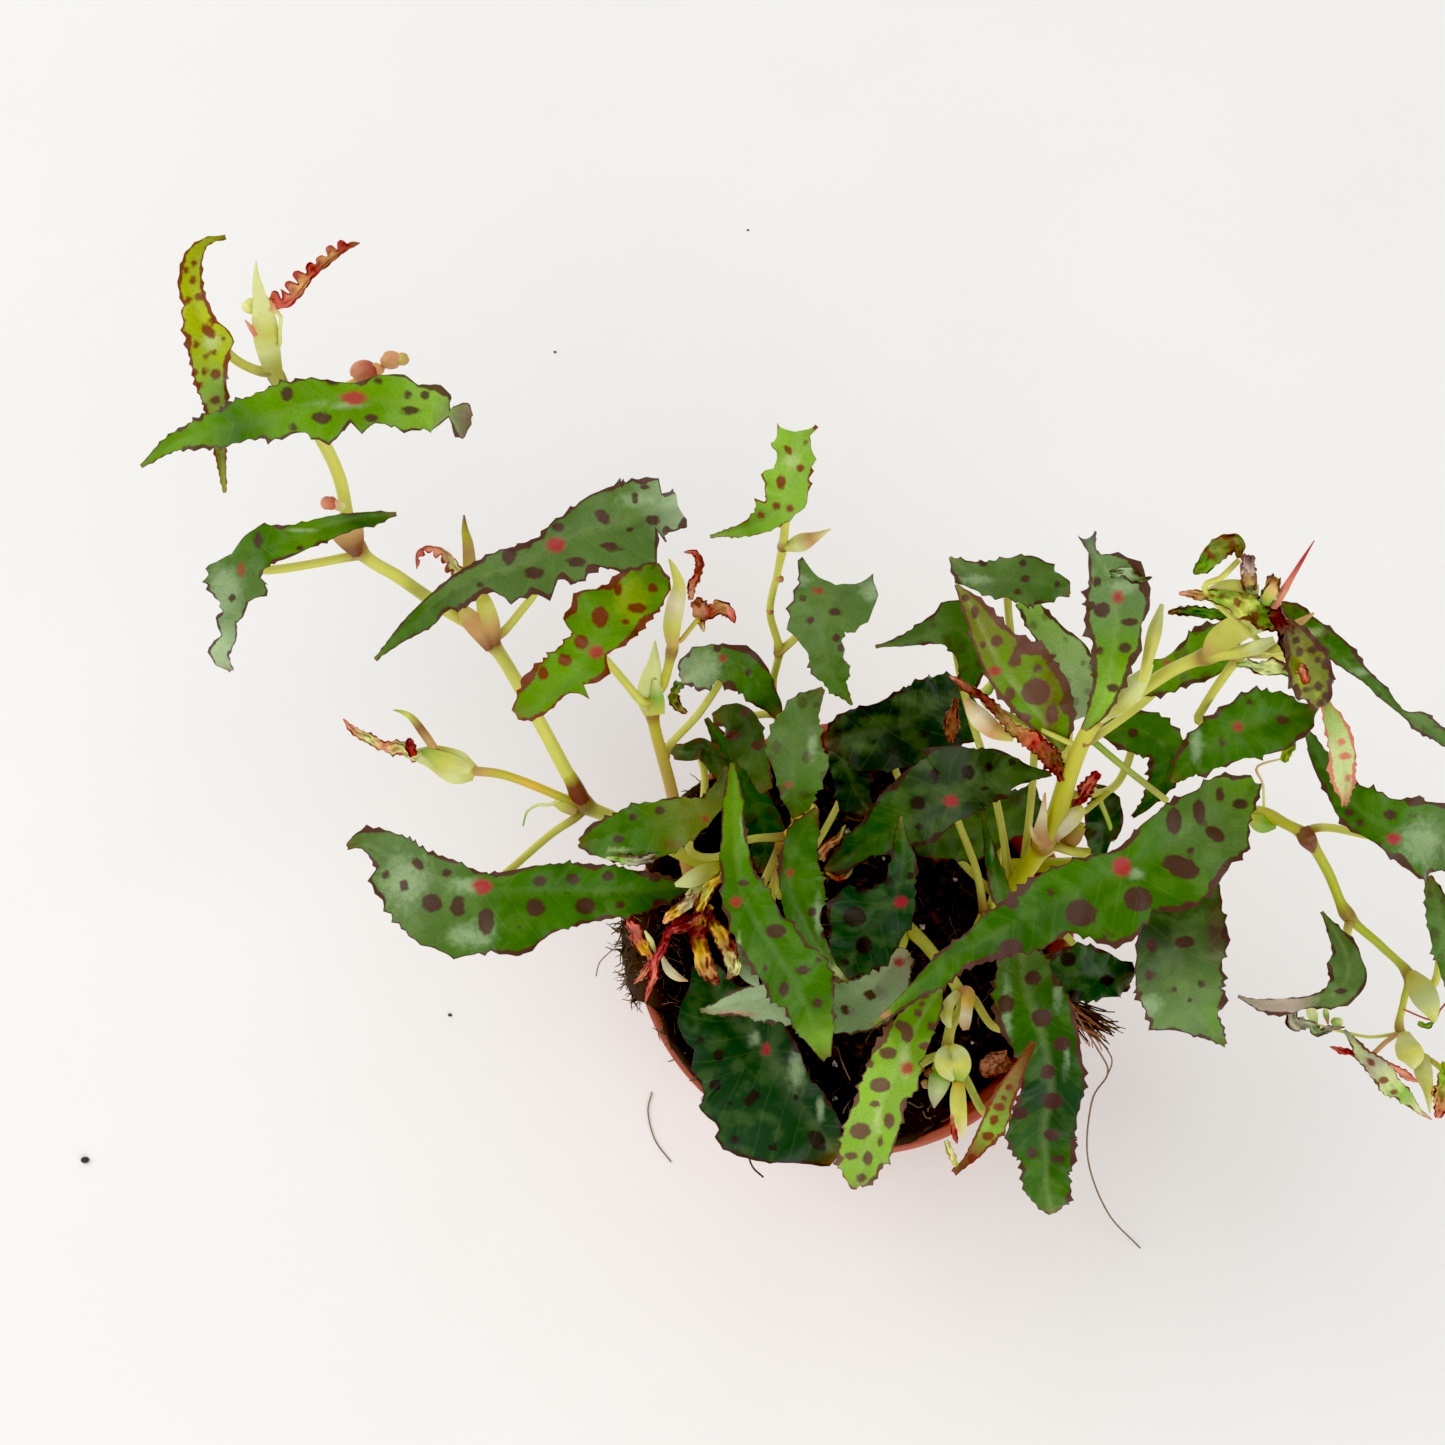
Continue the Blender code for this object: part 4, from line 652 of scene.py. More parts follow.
# The silver stops are partly a painted highlight on the gloss and partly the leaf's own greyer colour.
TONES = {
    "a1": "lime lime lime fresh lime olive lime",
    "a2": "bright bright bright leaf bright bright bright fresh lilac",
    "a3": "leaf deep bright leaf grey sage silver silver", "a4": "leaf leaf grey grey grey grey silver",
    "a5": "grey grey grey leaf leaf leaf deep", "b1": "bright bright bright bright",
    "b2": "silver grey leaf deep", "b3": "grey shade grey", "c1": "fresh fresh bright fresh",
    "c2": "grey grey leaf", "c3": "grey grey leaf", "c4": "dark shade", "c5": "grey shade grey grey",
    "d1": "olive olive bright bright", "d2": "dark sage sage bright fresh bright", "d3": "leaf leaf deep",
    "d4": "bright bright leaf", "d5": "leaf leaf grey leaf", "d6": "fresh pale pale blush",
    "d7": "maroon olive olive olive", "d8": "deep leaf deep",
    "d9": "bright leaf deep deep leaf leaf grey bright", "d10": "night night dark", "d11": "grey leaf",
    "d12": "grey grey leaf", "d13": "fresh silver", "d14": "dark dark", "d15": "leaf shade grey sage sage",
    "d16": "dark dark", "e1": "leaf deep leaf leaf grey silver", "e2": "grey leaf",
    "e3": "leaf grey grey grey grey fold fold fold", "f1": "grey deep dark deep leaf",
    "f2": "rust brown olive fresh brown rust", "f3": "bright bright fresh fresh fresh fresh",
    "f4": "deep dark dark dark", "f5": "silver silver sage silver mist", "g1": "leaf leaf olive shade",
    "g2": "leaf deep dark", "g3": "deep leaf grey", "g4": "bright bright leaf leaf leaf fresh",
    "g7": "dark dark dark", "h1": "leaf shade shade deep shade", "h2": "shade grey shade",
    "h3": "leaf deep grey",
}
INKS = {
    "a1": "wine", "b1": "wine", "d6": "pink", "d7": "maroon", "f2": "wine", "c1": "wine", "d1": "plum",
    "c5": "plum", "f3": "plum", "b3": "rust", "g7": "soot", "f4": "soot", "d10": "soot", "d16": "soot",
    "h1": "soot", "c4": "soot",
}
HORNS = {"c2": 3.2, "c1": 1.0, "d2": 1.5}
RIDGES = {
    "g4": 0.06, "f3": 0.2, "f1": 0.14, "d2": 0.12, "e3": 0.14, "d1": 0.2, "c1": 0.1, "a4": 0.08,
}
RIMS = {
    "d1": 2.0, "d2": 1.3, "b1": 0.9, "d5": 1.1, "d6": 0.9, "d7": 1.2, "c1": 0.25, "c2": 0.12, "c3": 0.15,
    "a3": 0.35, "c5": 0.2, "d9": 0.7, "f2": 0.9, "a1": 0.8, "d8": 0.7, "d4": 0.6, "h1": 0.6, "e1": 0.7,
    "d15": 0.8, "f3": 0.6, "a_fan": 0.9, "a4": 0.85, "f1": 0.55, "a5": 0.55, "b2": 0.6, "d_head": 0.8,
}
TEETH = {"g7": 0.3, "h1": 0.5, "b3": 1.8}
CALM = {"e_low": 0.35, "d_tip": 0.7}
SPOTS = {
    "d_tip": [(1211, 556, 9, 7, 60), (1232, 545, 7, 12), (1228, 536, 14, 8), (1206, 550, 8, 5)],
    "d_head": [(1237, 602, 8, 9), (1255, 616, 9, 13), (1222, 596, 8, 5), (1268, 606, 6, 8),
        (1212, 596, 5, 4)], "e_low": [(1371, 1062, 10, 6, 40), (1384, 1080, 10, 7), (1394, 1092, 8, 5)],
    "a1": [(188, 300, 6, 8), (212, 321, 7, 6), (196, 345, 7, 8), (188, 354, 6, 8), (213, 352, 6),
        (223, 338, 6), (193, 280, 7, 8), (186, 270, 6, 8), (206, 283, 6), (204, 372, 6, 8), (218, 425, 6, 8),
        (208, 331, 17, 10, 45), (199, 297, 10, 8), (194, 263, 6), (205, 357, 6), (216, 374, 10, 11),
        (215, 400, 9, 8), (184, 322, 6), (195, 373, 6, 7), (200, 385, 6)],
    "a2": [(322, 418, 20, 12), (287, 394, 12, 14), (333, 381, 14, 8), (371, 418, 14, 8), (410, 411, 20, 8),
        (408, 395, 7, 8), (425, 395, 9), (378, 381, 9, 7), (293, 427, 8, 7)],
    "a3": [(258, 540, 9, 16), (300, 548, 8, 5), (232, 598, 7, 9)],
    "a4": [(603, 517, 18, 11, 45), (635, 498, 7, 12), (612, 547, 26, 9), (576, 562, 20, 10),
        (534, 573, 20, 12), (509, 555, 14, 16), (560, 527, 8), (645, 487, 10, 6), (653, 520, 14, 10),
        (630, 530, 8, 6), (480, 585, 8, 6), (528, 545, 8, 7), (558, 527, 12, 9), (508, 562, 8, 7)],
    "a5": [(432, 903, 22, 18), (458, 906, 16, 20), (486, 921, 16, 26), (535, 908, 22, 16),
        (585, 906, 20, 16), (540, 881, 14, 10), (573, 879, 14, 10), (608, 876, 12, 10),
        (418, 864, 14, 9, 45), (447, 873, 10, 8), (404, 886, 10, 12), (386, 875, 9), (518, 930, 10, 6),
        (655, 878, 12, 8), (620, 905, 9, 8), (660, 903, 16, 8)],
    "b1": [(600, 617, 16, 22), (618, 589, 8, 14), (653, 588, 10), (637, 608, 18, 10), (625, 622, 9, 6),
        (581, 642, 14), (565, 660, 14, 12), (543, 673, 10, 14), (638, 568, 8)],
    "b2": [(717, 648, 8), (748, 672, 7)],
    "c1": [(788, 450, 11, 6, 60), (800, 468, 8), (781, 482, 9, 15), (776, 506, 8), (790, 508, 8),
        (761, 515, 8), (805, 443, 5)],
    "c2": [(803, 598, 7), (810, 620, 8), (835, 612, 12, 8), (836, 638, 8), (841, 648, 8)],
    "c5": [(733, 735, 14, 10), (745, 712, 10, 8), (757, 745, 12, 10), (716, 726, 12, 8)],
    "d1": [(1020, 650, 14, 10), (1010, 694, 10, 14), (975, 612, 8, 12), (1052, 714, 12, 20),
        (1024, 718, 14, 10), (1046, 735, 10, 12), (965, 598, 8), (1036, 692, 28, 26), (1015, 661, 14, 12),
        (997, 641, 12), (983, 645, 6, 7), (1037, 668, 9)],
    "d2": [(1102, 610, 16, 15), (1097, 582, 8, 12), (1130, 622, 16, 8), (1125, 648, 12, 10), (1100, 650, 8),
        (1113, 688, 12, 8)], "d3": [(1133, 733, 10)],
    "d6": [(1341, 742, 10, 6), (1345, 756, 12, 7), (1348, 778, 6, 8)],
    "a_fan": [(700, 932, 20, 14), (684, 926, 12, 8), (707, 962, 3, 20), (722, 968, 3, 16), (731, 948, 8),
        (708, 914, 10, 14), (734, 962, 3, 14), (712, 950, 3, 14), (716, 980, 10, 5)],
    "d7": [(1296, 640, 8), (1306, 678, 10, 8), (1334, 700, 12, 10), (1320, 703, 8), (1336, 660, 10, 16),
        (1332, 684, 10, 14), (1312, 650, 9, 8), (1326, 664, 10, 12), (1318, 686, 9, 10), (1300, 652, 8, 10),
        (1328, 640, 8), (1322, 644, 14, 16), (1335, 672, 12, 20), (1318, 660, 7), (1306, 690, 8, 6),
        (1326, 696, 8)], "d8": [(1282, 720, 16, 8), (1288, 693, 8), (1250, 702, 8, 6), (1222, 742, 8)],
    "d9": [(1051, 892, 8), (1081, 913, 30, 26), (1138, 899, 28, 24), (1181, 867, 38, 20, 20),
        (1174, 821, 15, 26), (1199, 811, 12, 24), (1215, 834, 22, 13, 35), (1240, 804, 16, 10),
        (1190, 850, 10, 6), (1207, 846, 5), (1153, 874, 6), (1220, 795, 8, 16), (1233, 775, 7, 12),
        (1012, 903, 14, 12), (1011, 948, 24, 18), (1108, 935, 12, 8), (1163, 910, 10, 8), (1190, 905, 8, 7)],
    "d12": [(1025, 579, 10, 7), (1023, 563, 7), (1057, 584, 7), (983, 564, 8, 6), (1018, 592, 8, 7)],
    "d15": [(1185, 942, 20, 12), (1152, 945, 11, 14), (1150, 975, 10, 12), (1172, 990, 10, 9),
        (1202, 984, 8), (1190, 1000, 6)],
    "d16": [(1068, 959, 16, 14), (1107, 980, 14, 12), (1073, 996, 16, 12)],
    "e1": [(1349, 813, 10, 8), (1360, 823, 8), (1390, 815, 14, 10), (1415, 817, 14, 6), (1375, 845, 12, 6)],
    "e3": [(1341, 991, 12, 6)],
    "f1": [(1033, 978, 16, 14), (1006, 1004, 16, 18), (1042, 1018, 20, 18), (1062, 1044, 18, 14),
        (1048, 1072, 14), (1052, 1101, 20, 16), (1020, 1113, 16, 12), (1052, 1135, 16, 12),
        (1032, 1153, 10, 12), (1058, 1159, 14, 8)],
    "f2": [(999, 1107, 12, 8), (994, 1120, 9, 10), (988, 1136, 12, 9), (1004, 1098, 6), (1009, 1087, 8, 6),
        (972, 1158, 10, 8)],
    "f3": [(888, 1053, 16, 12), (880, 1085, 20, 14), (875, 1104, 10, 7), (860, 1131, 20, 16),
        (889, 1121, 10, 16), (851, 1156, 12, 8), (868, 1158, 9, 14), (880, 1141, 6, 12), (861, 1178, 10, 8),
        (907, 1033, 12, 20), (900, 1025, 10), (918, 1013, 8), (924, 995, 10, 8), (922, 1004, 6),
        (931, 1026, 8), (925, 1046, 12, 8), (870, 1064, 8)],
    "f4": [(888, 880, 10, 12), (910, 876, 8), (861, 890, 12, 9), (855, 917, 22, 20), (864, 945, 16, 18),
        (845, 962, 8)], "f5": [(870, 995, 12, 10), (845, 1010, 10, 9)],
    "g1": [(633, 817, 8), (618, 839, 12, 8), (660, 810, 12, 8)], "g3": [(812, 912, 9), (825, 935, 8, 9)],
    "g4": [(776, 931, 20, 13), (803, 970, 15, 9), (784, 989, 10, 14), (817, 1003, 10), (818, 961, 7),
        (765, 968, 5, 8), (744, 883, 12, 6)],
    "g7": [(720, 1055, 14, 12), (752, 1098, 16, 18), (795, 1098, 8), (817, 1140, 24, 15, 60), (727, 1105, 8),
        (715, 1085, 12), (773, 1146, 10), (735, 1140, 10), (700, 1040, 8)],
    "h1": [(935, 776, 10, 14), (968, 772, 14), (989, 767, 8, 10), (1012, 762, 8), (984, 788, 10, 5),
        (918, 803, 16, 14), (919, 827, 8)],
}
SEATS = {
    "a2": (354, 398, 28, 14), "a3": (241, 570, 8, 16), "a4": (556, 545, 20, 16), "a5": (482, 887, 22, 16),
    "b1": (596, 652, 16, 14), "b2": (723, 658, 7), "c2": (818, 591, 11, 8), "c3": (788, 785, 7, 6),
    "d1": (995, 671, 15, 10), "d2": (1118, 597, 12, 14), "d4": (1167, 663, 9, 8), "d8": (1238, 727, 11, 10),
    "d9": (1122, 867, 20), "e1": (1394, 839, 16, 12), "f3": (907, 1068, 14), "f4": (901, 902, 14, 12),
    "f5": (899, 962, 12, 10), "g1": (705, 819, 8, 7), "g3": (790, 873, 8), "g4": (736, 902, 12, 11),
    "g7": (766, 1050, 10, 14), "h1": (951, 801, 16, 11),
}
OUTLINES = {
    "a1": [(183, 255), (181, 265), (190, 280), (177, 290), (184, 308), (180, 312), (184, 345), (192, 375),
         (200, 400), (206, 415), (203, 246), (203, 280), (212, 308), (218, 320), (227, 325), (237, 338),
         (231, 352), (229, 390)],
    "a2": [(175, 430), (200, 417), (228, 403), (250, 395), (278, 383), (300, 378), (310, 375), (330, 378),
         (342, 380), (350, 381), (362, 380), (375, 375), (393, 373), (405, 373), (420, 384), (435, 384),
         (175, 452), (200, 450), (228, 447), (250, 441), (278, 441), (300, 435), (310, 435), (330, 447),
         (342, 435), (350, 425), (362, 434), (375, 425), (393, 427), (405, 434), (420, 430), (435, 429)],
    "a3": [(350, 532), (322, 545), (300, 555), (277, 563), (265, 575), (269, 588), (250, 600), (248, 613),
         (235, 620), (236, 641), (240, 540), (229, 555), (211, 565), (213, 592), (219, 615), (213, 620),
         (222, 637), (207, 652)],
    "a4": [(410, 612), (440, 585), (470, 563), (500, 548), (540, 535), (548, 523), (570, 510), (578, 502),
         (600, 487), (625, 480), (648, 480), (656, 494), (672, 490), (679, 500), (679, 530), (667, 534),
         (651, 528), (414, 637), (438, 624), (447, 610), (470, 608), (488, 592), (508, 603), (532, 595),
         (550, 599), (560, 580), (576, 586), (597, 569), (620, 574), (645, 564), (660, 545)],
    "a5": [(367, 828), (400, 834), (428, 850), (460, 860), (490, 873), (530, 864), (575, 862), (640, 870),
         (680, 880), (378, 872), (376, 885), (390, 912), (410, 933), (440, 950), (460, 958), (495, 951),
         (520, 957), (540, 943), (570, 928), (615, 919), (660, 908)],
    "b1": [(603, 587), (577, 594), (562, 617), (571, 631), (551, 652), (530, 670), (511, 709), (530, 720),
         (553, 708), (573, 692), (580, 679), (590, 697), (611, 675), (608, 655), (632, 642), (650, 621),
         (664, 605), (672, 580)],
    "c1": [(776, 437), (817, 435), (811, 440), (812, 450), (815, 460), (813, 470), (810, 490), (806, 510),
         (798, 513), (787, 522), (773, 530), (755, 536), (735, 526), (755, 512), (764, 503), (759, 497),
         (763, 485), (763, 471), (772, 470), (775, 460), (771, 449)],
    "d5": [(1290, 603), (1313, 615), (1330, 627), (1343, 637), (1357, 653), (1363, 673), (1377, 678),
         (1397, 702), (1410, 712), (1418, 709), (1430, 715), (1440, 723), (1297, 630), (1313, 643),
         (1323, 655), (1340, 667), (1360, 680), (1373, 693), (1383, 701), (1395, 708), (1405, 718),
         (1413, 730), (1430, 738), (1443, 747)],
    "d9": [(905, 990), (940, 950), (960, 937), (985, 912), (1010, 895), (1030, 878), (1055, 865),
         (1113, 848), (1140, 825), (1160, 805), (1195, 788), (1218, 775), (1257, 778), (1258, 795),
         (1248, 825), (1241, 855), (1228, 868), (1217, 888), (1196, 903), (1180, 917), (1150, 912),
         (1140, 928), (1122, 945), (1118, 955), (1098, 940), (1070, 935), (1045, 948), (1005, 958),
         (965, 970), (945, 988)],
    "f1": [(1080, 1031), (1084, 1065), (1086, 1087), (1080, 1110), (1077, 1145), (1070, 1175), (1066, 1205),
         (994, 971), (996, 1025), (1013, 1051), (1020, 1072), (1015, 1102), (1006, 1139), (1019, 1162),
         (1025, 1194)],
    "f2": [(1028, 1044), (1009, 1070), (994, 1091), (979, 1124), (968, 1149), (1031, 1053), (1020, 1070),
         (1013, 1109), (1006, 1132), (989, 1147), (972, 1163)],
    "f3": [(923, 990), (910, 1005), (892, 1020), (884, 1027), (880, 1040), (870, 1048), (867, 1063),
         (860, 1083), (850, 1109), (841, 1135), (839, 1149), (840, 1165), (847, 1178), (874, 1178),
         (882, 1167), (892, 1154), (899, 1139), (904, 1119), (909, 1098), (918, 1091), (920, 1081),
         (920, 1065), (927, 1057), (935, 1035), (943, 1007)],
    "g4": [(722, 800), (720, 835), (718, 860), (721, 880), (720, 900), (725, 915), (731, 930), (737, 945),
         (744, 960), (757, 978), (769, 998), (776, 1005), (783, 1008), (788, 1018), (795, 1030), (747, 830),
         (751, 850), (755, 868), (762, 880), (770, 890), (777, 900), (783, 915), (790, 920), (800, 930),
         (808, 944), (818, 950), (824, 955), (830, 975), (835, 1005), (832, 1028)],
    "g7": [(690, 985), (677, 1020), (680, 1035), (693, 1050), (690, 1070), (701, 1080), (703, 1092),
         (700, 1105), (710, 1118), (718, 1122), (721, 1130), (717, 1137), (722, 1145), (790, 1033),
         (803, 1060), (812, 1080), (828, 1100), (840, 1125)],
}
# Most washes paint a highlight where the gloss would catch the light. The others are tints of the leaf, and
# one is a darker patch on d15.
HIGHLIGHTS_AND_TINTS = {
    "a1": [("pale", 212, 342, 20, 24)], "a2": [("silver", 340, 405, 60, 10)],
    "a3": [("silver", 225, 590, 40, 60), ("silver", 300, 530, 50, 5)], "a4": [("silver", 640, 500, 50, 16)],
    "a5": [("silver", 405, 880, 60), ("silver", 465, 885, 40, 20), ("silver", 470, 935, 60, 26)],
    "b1": [("lime", 630, 600, 50)], "b2": [("silver", 705, 668, 40)], "c1": [("pale", 792, 460, 20)],
    "c2": [("silver", 802, 580, 20, 16), ("silver", 872, 590, 26)], "c3": [("silver", 812, 745, 12, 40)],
    "d1": [("rust", 1050, 700, 30, 110), ("bright", 1003, 665, 16, 70)],
    "d2": [("silver", 1126, 586, 40, 22)],
    "d5": [("pale", 1310, 632, 40, 12), ("silver", 1360, 672, 26, 10)],
    "d7": [("lime", 1301, 674, 16, 60), ("lime", 1318, 688, 12, 30)], "d8": [("silver", 1196, 745, 16, 40)],
    "d9": [("silver", 1136, 874, 22, 16), ("grey", 1190, 840, 90, 60), ("pink", 884, 1014, 18, 14)],
    "d10": [("grey", 880, 720, 50, 14), ("sage", 918, 700, 60, 24), ("grey", 866, 748, 40, 16)],
    "d12": [("silver", 975, 580, 40, 12)],
    "d15": [("silver", 1150, 1005, 30, 24), ("grey", 1200, 930, 40, 60), ("bright", 1215, 1020, 26, 40),
        ("plum", 1214, 930, 24, 70), ("shade", 1160, 900, 40)], "e1": [("silver", 1420, 842, 50)],
    "e3": [("fold", 1275, 1003, 90, 22)],
    "f1": [("silver", 1007, 1005, 12, 80), ("silver", 1058, 990, 12, 50), ("silver", 1066, 1060, 8, 50)],
    "f3": [("pale", 905, 1060, 12, 50), ("pale", 878, 1120, 10, 40)],
    "f5": [("pink", 735, 1014, 60, 8), ("lilac", 880, 992, 18), ("lilac", 850, 1012, 16, 10)],
    "g1": [("pale", 620, 850, 30, 8), ("rust", 672, 844, 26, 12)],
    "g3": [("silver", 818, 915, 10, 50), ("pale", 838, 972, 16, 20)],
    "g4": [("pale", 739, 950, 6, 40), ("silver", 742, 826, 5, 30), ("fresh", 822, 1038, 30, 20)],
    "g7": [("silver", 797, 1066, 18, 50), ("silver", 755, 1038, 14, 18), ("silver", 820, 1108, 10, 30)],
    "h1": [("grey", 1010, 780, 60, 30)], "h2": [("grey", 1000, 815, 60, 20)],
    "h3": [("silver", 992, 850, 5, 26)],
}
print(sum(len(spots) for spots in SPOTS.values()), "spots placed by hand")

# %% [markdown]
# ## Building a leaf
# A blade could be a flat outline with painted edges, but the waves and teeth are what make this
# plant. So the blade is a fine grid, four rows to a tooth, folded at the midrib, waved, and quilted
# between its side veins. The distances that the finish reads are worked out on the same grid.

# %% Midrib and directions
CUP = math.radians(12)
NARROWEST = 0.35


def blade_frame(spine, count, tilt, shares=None, narrowest=NARROWEST):
    """Points along a midrib, the directions across it and out of the upper face, half-widths.

    The points lie at equal steps, or at these shares of the length.
    """
    placed = np.array([(*sight(*row[:3]), row[3], row[-1]) for row in spine])
    rows = smooth_path(placed, count)
    if shares is not None:
        equal = np.linspace(0, 1, count)
        rows = np.stack([np.interp(shares, equal, column) for column in rows.T], axis=1)
    middle = rows[:, :3]
    halves = np.maximum(rows[:, 3:] * pixel_size(middle)[:, None], narrowest)
    ahead = unit(np.gradient(middle, axis=0))
    across = unit(np.cross(ahead, unit(EYE - middle)))
    out = np.cross(across, ahead)
    turn = np.radians(np.interp(np.linspace(0, 1, count), np.linspace(0, 1, len(tilt)), tilt))[:, None]
    sideways = across * np.cos(turn) + out * np.sin(turn)
    upward = out * np.cos(turn) - across * np.sin(turn)
    return middle, sideways, upward, halves


def wander(random, along, pitch):
    """A smooth random line from -1 to 1 that turns about once in a pitch."""
    knots = np.arange(-pitch, along.max() + 2 * pitch, pitch)
    t = (along - knots[0]) / pitch
    k = np.clip(t.astype(int), 0, len(knots) - 2)
    f = t - k
    heights = random.uniform(-1, 1, len(knots))
    return heights[k] + (heights[k + 1] - heights[k]) * f * f * (3 - 2 * f)


def wanders(random, along, pitch, columns):
    """Several such lines, side by side."""
    return np.stack([wander(random, along, pitch) for _ in range(columns)], axis=1)


def by_side(v, pair):
    """The first column of a pair left of the midrib, and the second one right of it."""
    return np.where(v < 0, pair[:, :1], pair[:, 1:])


# %% [markdown]
# ## Marks on a leaf
# The maroon spots are what one sees first on these leaves. They could be an image laid on the blade.
# Here each point keeps its distance from the nearest mark instead, so the finish can draw an edge that
# stays sharp from close by.

# %% Colours and marks
FAR = -2.0


def rgb(name):
    """A named colour as three numbers."""
    return np.array(COLOURS[name][:3])


def towards(tone, name, share):
    """Colours moved by a share towards a named one."""
    return tone + (rgb(name) - tone) * share


def along_colours(names, u):
    """Named colours spread evenly from the base to the tip of a leaf."""
    stops = np.array([rgb(name) for name in names.split()])
    places = np.linspace(0, 1, len(stops))
    return np.stack([np.interp(u, places, channel) for channel in stops.T], axis=-1)


def ellipse_distance(places, x, y, wide, high=None, angle=0):
    """How far places in the picture are from the centre of a circle or ellipse: 1 on its outline."""
    high = high or wide
    turn = math.radians(angle)
    dx, dy = places[0] - x, places[1] - y
    first = (dx * math.cos(turn) + dy * math.sin(turn)) / (wide / 2)
    second = (dy * math.cos(turn) - dx * math.sin(turn)) / (high / 2)
    return np.hypot(first, second)


def marks_field(places, ellipses, scale, grow=1.0):
    """Signed distance in millimetres to the nearest of some ellipses: 0 on an outline."""
    field = np.full(places[0].shape, FAR)
    for ellipse in ellipses:
        wide, high = (*ellipse[2:4], ellipse[2])[:2]
        radius = math.sqrt(wide * high) / 2 * scale
        field = np.maximum(field, (grow - ellipse_distance(places, *ellipse)) * radius)
    return field


# %% [markdown]
# ## The margin
# The real margin is toothed, and drawn in or lobed in places. Teeth could be cut out by a mask, but
# then the edge has no thickness. So each row of the grid is moved in or out, by a rule for the small
# teeth and by the outline's own points where a leaf has some.

# %% Margins
COLUMNS = np.sin(np.linspace(-math.pi / 2, math.pi / 2, 17))
SMALLEST_MARKS = 3
TOOTH_PITCH = 2.1
TOOTH_SHAPE = np.array((0.0, 0.45, 1.0, 0.35))
TOOTH_DEPTH = 0.95
TOOTHED_FROM, TOOTHED_WIDTH = 0.72, 0.28
LOBE_PITCH = 4.2
HORN_LENGTH = 2.2
LEAST_SHARE, MOST_SHARE = 0.5, 1.7


def follow_outline(name, middle, across, halves):
    """The half-widths, changed so that the margin passes through this leaf's outline points."""
    if name not in OUTLINES:
        return halves
    x, y = in_picture(middle)
    beside = in_picture(middle + across)
    side_x, side_y = beside[0] - x, beside[1] - y
    length = np.hypot(side_x, side_y)
    marks = ([], [])
    for px, py in OUTLINES[name]:
        row = int(np.argmin(np.hypot(px - x, py - y)))
        reach = ((px - x[row]) * side_x[row] + (py - y[row]) * side_y[row]) / length[row] ** 2
        if 0 < row < len(x) - 1 and abs(reach) > 0.5:
            side = int(reach > 0)
            share = abs(reach) / (halves[row, side] * math.cos(CUP))
            marks[side].append((row, min(max(share, LEAST_SHARE), MOST_SHARE)))
    changed = halves.copy()
    for side, found in enumerate(marks):
        if len(found) >= SMALLEST_MARKS:
            rows, shares = zip(*sorted(found))
            changed[:, side] *= np.interp(np.arange(len(x)), rows, shares)
    return changed


def toothed_margin(name, random, along, s, halves, seat_row):
    """How far each point lies from the midrib, and how far the teeth sweep away from the seat."""
    v = COLUMNS[None, :]
    reach = v * by_side(v, halves)
    outer = np.clip((abs(v) - TOOTHED_FROM) / TOOTHED_WIDTH, 0, 1) ** 1.5
    sweep = np.zeros_like(reach)
    steps = len(TOOTH_SHAPE)
    teeth = (len(along) - 1) // steps
    before = np.arange(teeth * steps) // steps * steps < seat_row
    shape = np.where(before, np.tile(TOOTH_SHAPE[::-1], teeth), np.tile(TOOTH_SHAPE, teeth))
    for side, sign in ((0, -1), (1, 1)):
        line = np.append(np.repeat(random.uniform(0.0, 1.0, teeth) ** 1.3, steps) * shape, 0)
        depth = TEETH.get(name, 1) * np.minimum(TOOTH_DEPTH, 0.2 * halves[:, side] + 0.08)
        lobes = (0.03 if name in OUTLINES else 0.15) * halves[:, side] * wander(random, along, LOBE_PITCH)
        mine = outer * (v * sign > 0)
        reach = reach + mine * sign * (depth * (line - 0.4) + lobes)[:, None]
        sweep = sweep + mine * (0.45 * depth * line * np.sign(s))[:, None]
    return reach, sweep - HORNS.get(name, 0) * abs(v) ** 4 * np.exp(-along / HORN_LENGTH)[:, None]


# %% [markdown]
# ## Folds, waves and quilting
# A blade is folded along its midrib, frilled near the margin and puffed up between its side veins. A
# bump map would do for the puffs alone. The folds change the outline from the side, so all of it is
# added to the height of the grid.

# %% Relief
VEIN_PITCH = 4.2
RUFFLE_PITCH, RUFFLE_RISE = 3.2, 0.55
ROLL_PITCH, ROLL_RISE = 14, 0.5
QUILT_RISE = 0.16
GROOVE_DEPTH, GROOVE_WIDTH = 0.28, 0.8
LEAF_THICKNESS = 0.34
MIDRIB_THICKNESS, MIDRIB_WIDTH = 0.45, 0.55


def relief(record, random, along, s, half, reach):
    """How far each point rises from a flat blade, and its place between the side veins."""
    v = COLUMNS[None, :]
    crest = np.cos(2 * math.pi * record["crests"] * (along / along[-1]))
    rise = abs(reach) * math.sin(CUP)
    rise = rise + np.minimum(record["wave"], 0.22 * half) * crest[:, None] * v * abs(v)
    ruffle = by_side(v, wanders(random, along, RUFFLE_PITCH, 2))
    rise = rise + ruffle * np.minimum(RUFFLE_RISE, 0.12 * half) * abs(v) ** 3
    rib = (abs(s)[:, None] - 0.75 * abs(reach)) / VEIN_PITCH
    between_ribs = np.cos(2 * math.pi * rib) * (abs(v) * (1 - abs(v)) * 4)
    rise = rise - QUILT_RISE * between_ribs * np.minimum(1, half / 5)
    rise = rise - GROOVE_DEPTH * np.exp(-((reach / GROOVE_WIDTH) ** 2))
    return rise + ROLL_RISE * wander(random, along, ROLL_PITCH)[:, None] * abs(v), rib


def blade_thickness(v, reach):
    """A blade that thins towards its margin, with a thick midrib."""
    midrib = MIDRIB_THICKNESS * np.exp(-((reach / MIDRIB_WIDTH) ** 2))
    return LEAF_THICKNESS * (0.6 + 0.4 * (1 - abs(v) ** 4)) + midrib


